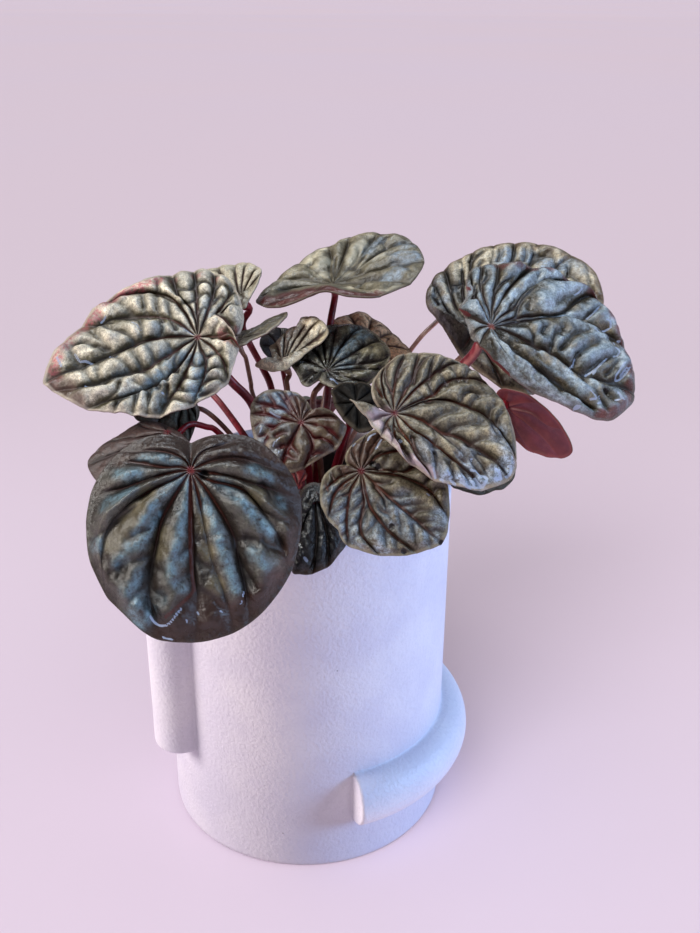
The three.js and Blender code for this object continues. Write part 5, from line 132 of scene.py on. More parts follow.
STEMS = {
    "A": {"r": 1.25, "path": [[-7.6,-2.8,90.3],[-7.8,-2.9,93.3],[-9.3,-3.5,108.5],[-13.2,-5.0,128.2],[-19.1,-8.0,137.6],[-27.0,-7.8,146.8],[-27.0,-9.4,149.0]]},
    "B": {"r": 1.0, "path": [[-4.4,3.9,90.3],[-4.6,4.0,93.3],[-5.8,4.6,109.3],[-9.3,6.0,129.8],[-12.1,8.0,136.2],[-17.2,9.0,147.3],[-15.2,9.7,152.3],[-16.3,8.5,153.8]]},
    "C": {"r": 1.0, "path": [[2.4,6.1,90.3],[2.6,6.2,93.3],[3.6,6.2,107.9],[6.4,6.5,127.0],[6.5,10.5,140.6],[7.1,15.0,147.4],[8.3,18.7,154.0],[7.9,18.2,156.2]]},
    "D": {"r": 0.65, "path": [[-4.9,0.0,90.3],[-5.3,0.0,93.3],[-7.6,0.0,109.4],[-13.9,0.0,130.1],[-14.5,-1.0,134.6],[-15.5,-2.0,141.8],[-15.9,-4.1,143.8],[-16.9,-4.0,145.8]]},
    "E": {"r": 0.7, "path": [[-1.5,6.0,90.3],[-1.7,6.3,93.3],[-3.0,8.1,110.9],[-6.5,13.0,133.1],[-8.5,15.6,136.2],[-7.9,14.5,138.0]]},
    "F": {"r": 0.75, "path": [[-1.9,-3.4,90.3],[-2.0,-3.3,93.3],[-2.6,-3.2,110.6],[-4.2,-3.0,132.5],[-4.6,-2.0,135.6],[-3.8,-0.3,136.8],[-4.4,-1.5,138.6]]},
    "G": {"r": 0.85, "path": [[5.5,-1.5,90.3],[5.4,-1.6,93.3],[4.7,-2.5,109.4],[2.7,-5.0,130.1],[4.6,-4.0,134.9],[6.7,-2.6,136.1],[6.6,-3.6,138.1]]},
    "H": {"r": 1.1, "path": [[6.3,3.3,90.3],[6.4,3.3,93.3],[7.6,2.9,102.0],[10.9,2.0,114.7],[13.4,5.0,123.4],[16.7,13.4,136.6],[17.1,12.4,138.7]]},
    "I": {"r": 0.9, "path": [[2.1,-3.6,90.3],[2.1,-3.9,93.3],[1.7,-5.5,105.6],[0.8,-9.8,122.0],[0.1,-17.8,127.8],[0.1,-19.3,129.4]]},
    "J": {"r": 1.1, "path": [[6.8,-6.5,90.3],[7.0,-7.5,93.3],[8.9,-14.1,105.0],[13.9,-31.8,120.8],[15.6,-44.0,126.2],[15.6,-45.8,127.8]]},
    "K": {"r": 1.2, "path": [[9.6,-3.1,90.3],[9.9,-4.2,93.3],[12.1,-11.4,108.2],[18.0,-30.6,127.5],[20.4,-33.6,134.2],[21.9,-38.0,138.6],[22.7,-41.8,139.3],[23.1,-43.4,141.3]]},
    "L": {"r": 1.35, "path": [[-2.8,-8.0,90.3],[-3.5,-9.1,93.3],[-8.2,-16.6,106.6],[-20.7,-36.6,124.2],[-24.2,-50.8,129.6],[-23.8,-53.2,131.2]]},
    "M": {"r": 0.8, "path": [[-5.9,-5.8,90.3],[-6.6,-6.2,93.3],[-10.6,-8.6,106.9],[-21.5,-15.0,124.8],[-24.7,-19.5,128.9],[-28.8,-23.2,130.9],[-32.6,-27.5,128.0],[-32.9,-28.5,129.9]]},
    "M2": {"r": 0.7, "path": [[-8.6,1.3,90.3],[-9.0,0.9,93.3],[-11.9,-1.5,105.4],[-19.5,-8.0,121.7],[-26.2,-12.0,130.7],[-31.7,-12.5,131.0],[-31.2,-13.6,132.9]]},
    "N": {"r": 0.9, "path": [[2.3,-8.7,90.3],[2.3,-9.3,93.3],[2.8,-13.2,100.3],[4.0,-23.6,111.0],[4.6,-30.9,114.4],[4.6,-32.4,116.0]]},
    "O": {"r": 1.1, "path": [[9.3,5.6,90.3],[10.8,6.2,93.3],[20.3,10.6,111.7],[45.8,22.5,134.9],[48.6,28.0,137.8],[50.3,24.0,140.7],[50.1,22.6,142.6]]},
    "P": {"r": 1.45, "path": [[10.6,1.3,90.3],[11.9,0.8,93.3],[20.1,-2.4,115.6],[42.2,-11.0,143.0],[46.1,-13.0,149.7],[47.4,-11.4,151.5],[48.3,-13.4,153.8]]},
    "Q": {"r": 1.0, "path": [[13.5,-1.5,90.3],[14.7,-1.6,93.3],[22.3,-1.9,105.9],[42.7,-2.6,122.8],[54.8,3.5,125.8],[56.1,5.2,126.2]]},
    "R": {"r": 0.8, "path": [[5.3,-3.5,90.3],[5.5,-3.8,93.3],[7.3,-5.3,106.6],[11.9,-9.6,124.1],[14.8,-17.2,132.4],[14.5,-18.1,134.3]]},
    "T": {"r": 0.55, "path": [[-0.8,-11.4,90.3],[-0.9,-11.7,93.0],[-1.0,-13.3,98.8],[-1.3,-17.7,108.0],[-1.1,-22.2,110.7],[-0.8,-23.5,112.5]]},
    "U": {"r": 0.8, "path": [[11.0,-6.9,90.3],[12.0,-7.3,93.3],[18.6,-9.5,100.6],[36.3,-15.6,111.7],[44.4,-21.0,118.7],[44.3,-21.7,120.8]]},
    "V": {"r": 0.7, "path": [[5.4,8.9,90.3],[6.4,9.8,93.3],[13.1,16.1,111.0],[31.0,33.0,133.3],[38.9,40.0,140.1],[48.4,53.1,143.9],[48.1,52.3,146.0]]},
    "W": {"r": 1.0, "path": [[-6.8,5.3,90.3],[-7.5,5.8,93.3],[-12.3,9.1,104.9],[-25.1,18.2,120.6],[-33.7,25.5,126.6],[-34.6,26.6,128.3]]},
    "X": {"r": 0.9, "path": [[0.7,9.9,90.3],[0.9,10.8,93.3],[2.1,16.4,104.4],[5.3,31.6,119.6],[6.9,42.3,125.9],[7.0,43.5,127.7]]},
    "Y": {"r": 1.0, "path": [[9.0,8.9,90.3],[10.1,9.6,93.3],[17.7,14.4,100.3],[37.9,27.2,111.1],[48.4,34.7,116.7],[49.5,35.6,118.3]]},
    "Z": {"r": 0.85, "path": [[-2.0,12.4,90.3],[-1.9,13.3,92.8],[-1.6,18.6,98.0],[-0.7,33.2,106.4],[-1.3,41.1,109.7],[-1.8,42.4,111.3]]},
}
# side veins of the larger leaves, each a line from its main vein outward
SIDE = {
    "A": [[[4.7,-3.7],[4.8,-7.7],[4.2,-12.3]],[[7.0,-7.1],[7.4,-11.6],[6.6,-15.4]],[[9.9,-9.7],[10.4,-14.0],[9.9,-17.7]],[[13.3,-11.3],[13.9,-14.2],[14.1,-17.8]],[[14.7,-11.9],[14.6,-14.8],[15.7,-17.3],[18.1,-19.4]],[[19.8,-12.7],[21.3,-14.1],[22.6,-17.0]],[[9.6,-2.8],[8.1,-5.0],[7.9,-7.7]],[[14.4,-2.6],[13.0,-6.1],[12.7,-10.3]],[[15.9,-2.4],[16.0,-5.0],[18.2,-8.3],[20.5,-9.7],[21.8,-12.5]],[[22.0,-1.6],[22.3,-4.2],[23.8,-7.4],[25.0,-11.4]],[[22.9,-4.1],[25.9,-6.7],[28.2,-8.4],[31.2,-8.6]],[[30.4,-1.9],[31.4,-4.7],[31.8,-8.0]],[[9.1,4.2],[7.6,2.6],[7.5,0.3]],[[13.6,5.3],[12.6,2.3],[12.8,-0.6]],[[16.5,6.0],[16.2,2.4],[17.1,-0.9]],[[18.9,6.0],[19.4,2.6],[21.3,-0.2]],[[26.6,5.8],[27.2,2.5],[26.5,0.5]],[[28.1,5.3],[29.4,2.6],[29.7,0.5]],[[8.0,9.3],[7.7,5.7],[6.2,3.2]],[[11.1,11.1],[11.8,7.8],[11.6,4.6]],[[13.6,12.0],[14.5,10.0],[15.2,6.8]],[[16.9,11.7],[17.5,10.3],[19.1,8.4]],[[22.5,7.4],[24.1,9.3],[27.1,10.2],[31.1,10.6]],[[11.5,12.3],[12.6,15.0],[13.6,16.9],[15.6,18.8]],[[16.1,11.7],[17.1,14.3],[18.5,17.3]],[[19.3,11.7],[20.5,14.0],[21.9,16.0]],[[23.8,11.1],[25.3,13.1],[26.0,13.8]],[[3.9,7.1],[2.9,9.2],[0.7,8.9]],[[6.4,11.0],[4.8,12.7],[2.0,12.4]],[[8.9,13.7],[7.2,15.4],[4.0,15.7]],[[11.1,15.8],[9.0,17.6],[6.6,18.1]],[[-0.4,7.3],[-2.3,6.9],[-4.7,6.2]],[[1.1,11.2],[-1.0,11.2],[-4.3,11.0]],[[2.9,14.1],[0.4,13.9],[-3.3,14.6]],[[4.7,16.6],[2.3,16.8],[0.2,16.7]],[[-3.4,1.7],[-4.4,0.6],[-6.2,-0.4]],[[-6.2,3.0],[-7.3,2.7],[-9.2,-0.6]],[[-3.2,-12.3],[-1.3,-11.7],[1.1,-11.7]],[[-4.3,-17.2],[-2.3,-16.3],[0.2,-18.1]],[[2.7,-13.8],[4.4,-15.7],[5.2,-19.1]],[[6.0,-16.8],[5.4,-19.5],[4.6,-22.4]],[[-2.5,-7.8],[-4.7,-8.9],[-5.9,-7.4]],[[-3.9,-13.1],[-6.3,-13.5],[-7.9,-11.4]],[[-5.0,-17.7],[-7.2,-17.7],[-9.2,-15.4]],[[-7.1,-9.6],[-9.7,-10.9],[-11.4,-9.3]],[[-9.5,-14.8],[-11.6,-15.6],[-13.2,-12.9]],[[-8.5,-6.0],[-10.7,-7.2],[-13.1,-7.2]]],
    "K": [[[15.8,10.0],[15.5,12.0],[16.4,14.0]],[[13.2,10.0],[12.8,12.3],[13.7,14.0],[15.7,14.2]],[[20.5,9.9],[20.1,11.9],[20.8,13.5]],[[22.9,9.0],[22.5,11.1],[23.0,12.9]],[[12.0,16.6],[11.3,18.5],[11.6,20.5]],[[15.1,18.1],[15.3,19.9]],[[6.3,6.7],[4.5,7.3],[2.8,8.3]],[[6.5,8.8],[4.8,10.4],[3.7,12.1]],[[8.2,13.4],[6.9,14.6],[5.4,15.6]],[[10.3,15.8],[9.1,17.1],[7.4,18.6]],[[0.9,9.9],[0.1,13.7],[0.5,17.6],[1.5,19.4]],[[3.8,13.0],[2.8,16.2],[2.3,19.7]],[[5.2,16.2],[4.9,18.5],[5.2,20.6]],[[-0.1,6.0],[-0.9,9.0],[-0.6,11.6]],[[-3.0,9.8],[-3.1,12.2],[-2.6,14.6]],[[-2.8,4.9],[-5.6,7.8],[-6.7,11.2],[-6.2,14.0]],[[-4.4,2.6],[-6.5,4.4],[-8.0,6.9]],[[8.5,1.2],[9.3,3.2],[11.1,5.4],[13.6,7.1]],[[13.2,0.5],[14.0,3.1],[16.4,4.9],[20.6,7.5]],[[18.6,-0.0],[19.9,2.2],[22.4,4.2],[25.7,4.6]],[[21.8,-0.4],[24.3,0.0],[26.8,0.3],[29.0,-0.3]],[[21.9,8.3],[23.2,6.9],[24.8,6.2]],[[11.4,0.5],[14.3,-0.8],[17.1,-1.8],[19.9,-3.1]],[[11.7,-3.8],[11.7,-2.0],[10.1,-0.1]],[[20.8,-3.0],[22.7,-4.4],[25.4,-5.5]],[[21.0,-1.3],[23.8,-3.1],[26.0,-5.1]],[[19.9,-3.9],[18.1,-3.8],[16.6,-3.0]],[[12.3,-5.5],[14.0,-7.8],[15.3,-10.4]],[[16.7,-6.1],[18.0,-7.8],[19.5,-9.5]],[[19.7,-6.0],[21.5,-7.2],[22.8,-8.5]],[[6.1,-4.1],[8.1,-6.4],[11.2,-8.6]],[[3.7,-6.1],[5.7,-7.8],[8.1,-9.0]],[[1.8,-3.4],[3.7,-4.2],[5.7,-5.2]],[[-0.6,-4.2],[1.3,-5.5],[2.8,-8.3]]],
    "J": [[[9.0,-0.5],[11.0,1.1],[12.9,3.5]],[[13.1,0.1],[14.5,1.6],[16.8,4.1]],[[15.9,-0.2],[16.8,1.9],[20.8,4.6]],[[18.8,-0.4],[20.3,1.5],[22.9,3.4]],[[21.7,-0.8],[22.6,1.0],[24.2,2.2]],[[4.6,0.2],[6.1,1.0],[7.5,2.6]],[[5.2,-0.8],[8.7,-1.6],[11.4,-3.4],[14.6,-4.4],[16.6,-5.0]],[[13.8,-2.2],[16.4,-4.0],[17.9,-5.4]],[[17.8,-1.8],[20.2,-3.4],[21.7,-4.9]],[[22.3,-1.2],[23.5,-2.3],[24.4,-2.9]],[[11.3,-3.9],[9.9,-4.1],[8.3,-3.3]],[[7.6,-8.2],[7.1,-6.2],[7.5,-5.0]],[[14.1,-7.4],[15.7,-9.0],[17.3,-10.4]],[[17.8,-7.5],[19.2,-9.0]],[[11.0,-6.8],[11.3,-9.2],[11.1,-10.7]],[[5.3,-5.6],[5.2,-7.6],[4.9,-9.4]],[[7.8,-8.8],[7.7,-10.4],[7.3,-12.0]],[[10.0,-11.6],[9.7,-13.0],[9.5,-14.7]],[[3.4,-3.0],[3.0,-4.4],[2.8,-6.2]],[[1.5,-6.3],[0.7,-7.9],[0.1,-9.7]],[[3.2,-9.0],[2.8,-10.6],[2.0,-12.4]],[[5.3,-11.2],[5.0,-12.7],[4.1,-13.8]],[[7.3,-13.2],[6.8,-14.5],[7.0,-14.9]],[[0.1,-4.0],[-0.1,-5.2],[-0.1,-7.0]],[[-0.6,-6.1],[-1.1,-8.0],[-0.6,-9.9]],[[-2.0,-3.5],[-3.8,-2.9],[-5.0,-1.7]],[[-3.0,-5.9],[-4.7,-5.1],[-6.0,-3.8]],[[-2.8,-8.6],[-4.3,-7.9],[-5.4,-6.8]],[[6.1,4.6],[5.9,6.3],[6.4,8.2]],[[3.1,2.6],[3.2,4.7],[2.7,7.1]],[[13.6,7.4],[13.3,8.9],[13.9,10.4]],[[16.2,7.2],[16.4,8.9],[17.7,10.3]],[[0.6,3.3],[0.1,5.0],[0.6,6.9]],[[-1.7,4.8],[-2.2,7.2],[-2.2,9.4]]],
    "L": [[[13.2,-9.4],[14.1,-11.6],[15.6,-14.5]],[[19.2,-9.3],[20.1,-11.8],[21.3,-15.2],[22.6,-18.3]],[[25.2,-9.7],[27.2,-12.0],[28.4,-13.5],[30.5,-15.0]],[[7.8,-12.2],[9.2,-14.2],[10.3,-16.6]],[[13.4,-19.5],[14.4,-21.3],[14.9,-22.9]],[[19.6,-19.8],[20.4,-21.2],[21.6,-22.1]],[[17.8,-0.3],[19.0,-2.0],[20.5,-3.7]],[[23.3,0.1],[24.3,-2.2],[26.0,-3.7]],[[28.2,0.7],[30.0,-1.2],[30.7,-3.2],[32.8,-4.7]],[[21.5,-9.2],[22.6,-7.6],[23.6,-6.4]],[[26.9,-9.4],[27.8,-7.9],[28.8,-6.5]],[[16.0,0.8],[17.4,2.3],[18.1,3.7]],[[20.9,1.2],[22.1,2.9],[23.0,4.4]],[[27.6,1.4],[28.4,3.4],[29.7,4.9],[31.3,5.8]],[[17.4,6.7],[18.1,8.3],[17.4,9.8]],[[16.0,3.4],[15.2,4.4],[14.6,5.7]],[[16.7,9.8],[16.0,12.4],[16.8,14.8],[18.0,17.3],[19.6,20.3]],[[9.0,13.6],[9.9,16.1],[11.8,19.2],[12.9,22.5]],[[22.2,10.9],[23.9,12.1],[26.0,13.2]],[[16.4,15.8],[18.9,17.0]],[[-2.1,-9.6],[-2.6,-10.9],[-2.0,-12.3]],[[2.3,-12.4],[3.2,-14.2],[3.4,-16.5]],[[3.5,16.3],[5.1,17.6],[7.0,18.0]]],
    "O": [[[-1.7,13.5],[-2.2,16.5],[-3.6,17.5]],[[1.4,16.1],[1.8,19.4],[0.8,21.3]],[[5.5,16.4],[3.8,16.6],[2.3,17.5]],[[-4.8,14.0],[-4.5,17.3],[-5.5,18.7]],[[-2.6,18.9],[-1.9,22.0],[-1.4,23.1]],[[12.3,18.5],[14.6,19.9],[17.6,19.0]],[[19.1,18.0],[21.6,20.0],[22.5,21.8]],[[21.3,13.3],[24.1,14.5],[25.6,13.5]],[[25.6,13.5],[27.6,15.4],[29.0,17.4]],[[27.6,12.4],[29.6,13.1],[32.4,11.2],[34.8,7.8]],[[35.4,4.6],[33.5,2.1],[30.7,0.9]],[[33.5,8.6],[31.8,6.0],[29.9,3.2]],[[12.2,22.8],[15.5,23.2],[18.1,23.9]],[[38.0,-3.7],[38.8,-0.9],[40.3,2.1]],[[7.8,10.7],[10.3,12.3],[12.3,14.3]]],
    "P": [[[5.5,5.8],[5.2,9.4],[5.6,12.7],[7.1,17.4]],[[13.3,11.2],[14.6,16.1],[16.6,20.9],[18.8,23.9]],[[22.7,15.6],[24.0,18.7],[26.1,22.3]],[[27.6,14.9],[29.3,16.6],[31.5,19.8]],[[31.4,14.4],[33.2,16.4],[34.5,19.1]],[[16.8,0.5],[16.6,3.4],[16.4,7.4]],[[24.0,0.6],[23.8,3.7],[25.5,7.2],[28.8,12.0]],[[27.8,-0.2],[29.1,3.4],[30.9,6.1],[34.2,10.3]],[[19.1,3.1],[20.4,6.5],[21.7,9.6],[25.1,13.5]],[[13.1,-0.5],[11.6,2.0],[9.9,4.2]],[[13.5,-2.4],[17.1,-3.2],[20.5,-3.8],[24.0,-4.6]],[[27.5,-1.9],[30.8,-3.7],[33.7,-5.1],[36.3,-6.5]],[[33.2,3.2],[34.4,5.7],[34.9,8.4]],[[34.8,1.5],[37.4,4.8],[38.4,8.5]],[[20.6,-6.3],[22.5,-6.4],[24.8,-7.8]],[[8.4,-8.0],[10.2,-8.3],[13.2,-9.0],[16.4,-9.5]],[[4.2,-6.0],[6.0,-7.2],[8.7,-8.7]],[[14.6,-8.9],[17.6,-9.5],[21.4,-9.8]],[[23.1,-9.2],[25.5,-9.6],[28.3,-10.1]],[[0.9,-3.9],[2.9,-5.8],[4.2,-7.3]],[[-0.4,4.4],[0.9,8.2],[1.9,10.7]],[[3.0,8.7],[3.7,12.1],[4.2,14.4]],[[-2.0,11.9],[-0.8,15.4],[0.9,18.1]],[[6.2,17.0],[7.3,20.0],[7.6,23.6]],[[-5.6,12.6],[-5.0,15.4],[-5.7,18.1]],[[-6.9,5.9],[-6.8,8.4],[-7.4,10.8]]],
    "I": [[[7.7,-2.7],[7.3,-1.4],[6.5,-0.5]],[[8.0,-2.8],[9.0,-3.9],[10.5,-4.4]],[[7.0,-0.5],[7.8,0.8],[8.8,2.0]],[[9.5,-0.5],[10.0,0.7],[10.2,1.9]],[[7.7,5.4],[6.4,6.7],[6.1,8.5]],[[-2.3,-7.8],[-3.9,-8.9],[-5.1,-10.6]],[[-2.3,-3.4],[-4.5,-5.5],[-6.2,-7.7]],[[5.5,-5.0],[4.5,-3.7],[4.2,-2.4]],[[5.0,-7.3],[6.3,-8.3],[6.9,-9.5]],[[2.3,7.2],[1.0,7.6],[-0.0,7.9]],[[-1.4,-11.2],[-0.8,-10.3],[0.1,-10.6]],[[-5.1,-5.7],[-6.3,-5.0],[-7.7,-4.9]]],
    "C": [[[1.3,-3.5],[6.1,-3.6],[11.9,-3.1],[18.9,-2.7],[24.5,-2.5]],[[6.1,-5.4],[12.0,-5.5],[15.4,-6.8],[17.8,-8.7]],[[11.8,-8.5],[14.7,-10.8],[16.8,-12.5],[17.8,-14.7],[17.6,-17.0]],[[5.9,-12.5],[9.5,-14.7],[10.1,-17.6],[11.1,-21.1]],[[11.6,-15.7],[7.6,-19.5],[5.0,-22.6]],[[16.1,12.3],[10.4,11.0],[4.9,8.3],[1.4,5.1]],[[13.6,5.0],[8.1,3.0],[2.3,0.4]],[[1.5,7.7],[1.0,10.6],[-1.3,12.7]],[[-6.0,-10.2],[-1.6,-9.9],[-1.1,-12.2]],[[-7.1,-19.4],[-3.1,-19.7],[-1.4,-22.0]],[[18.8,-0.9],[14.0,-1.9],[8.5,-2.6]],[[20.1,-8.7],[22.9,-7.0],[25.6,-7.3]]],
}
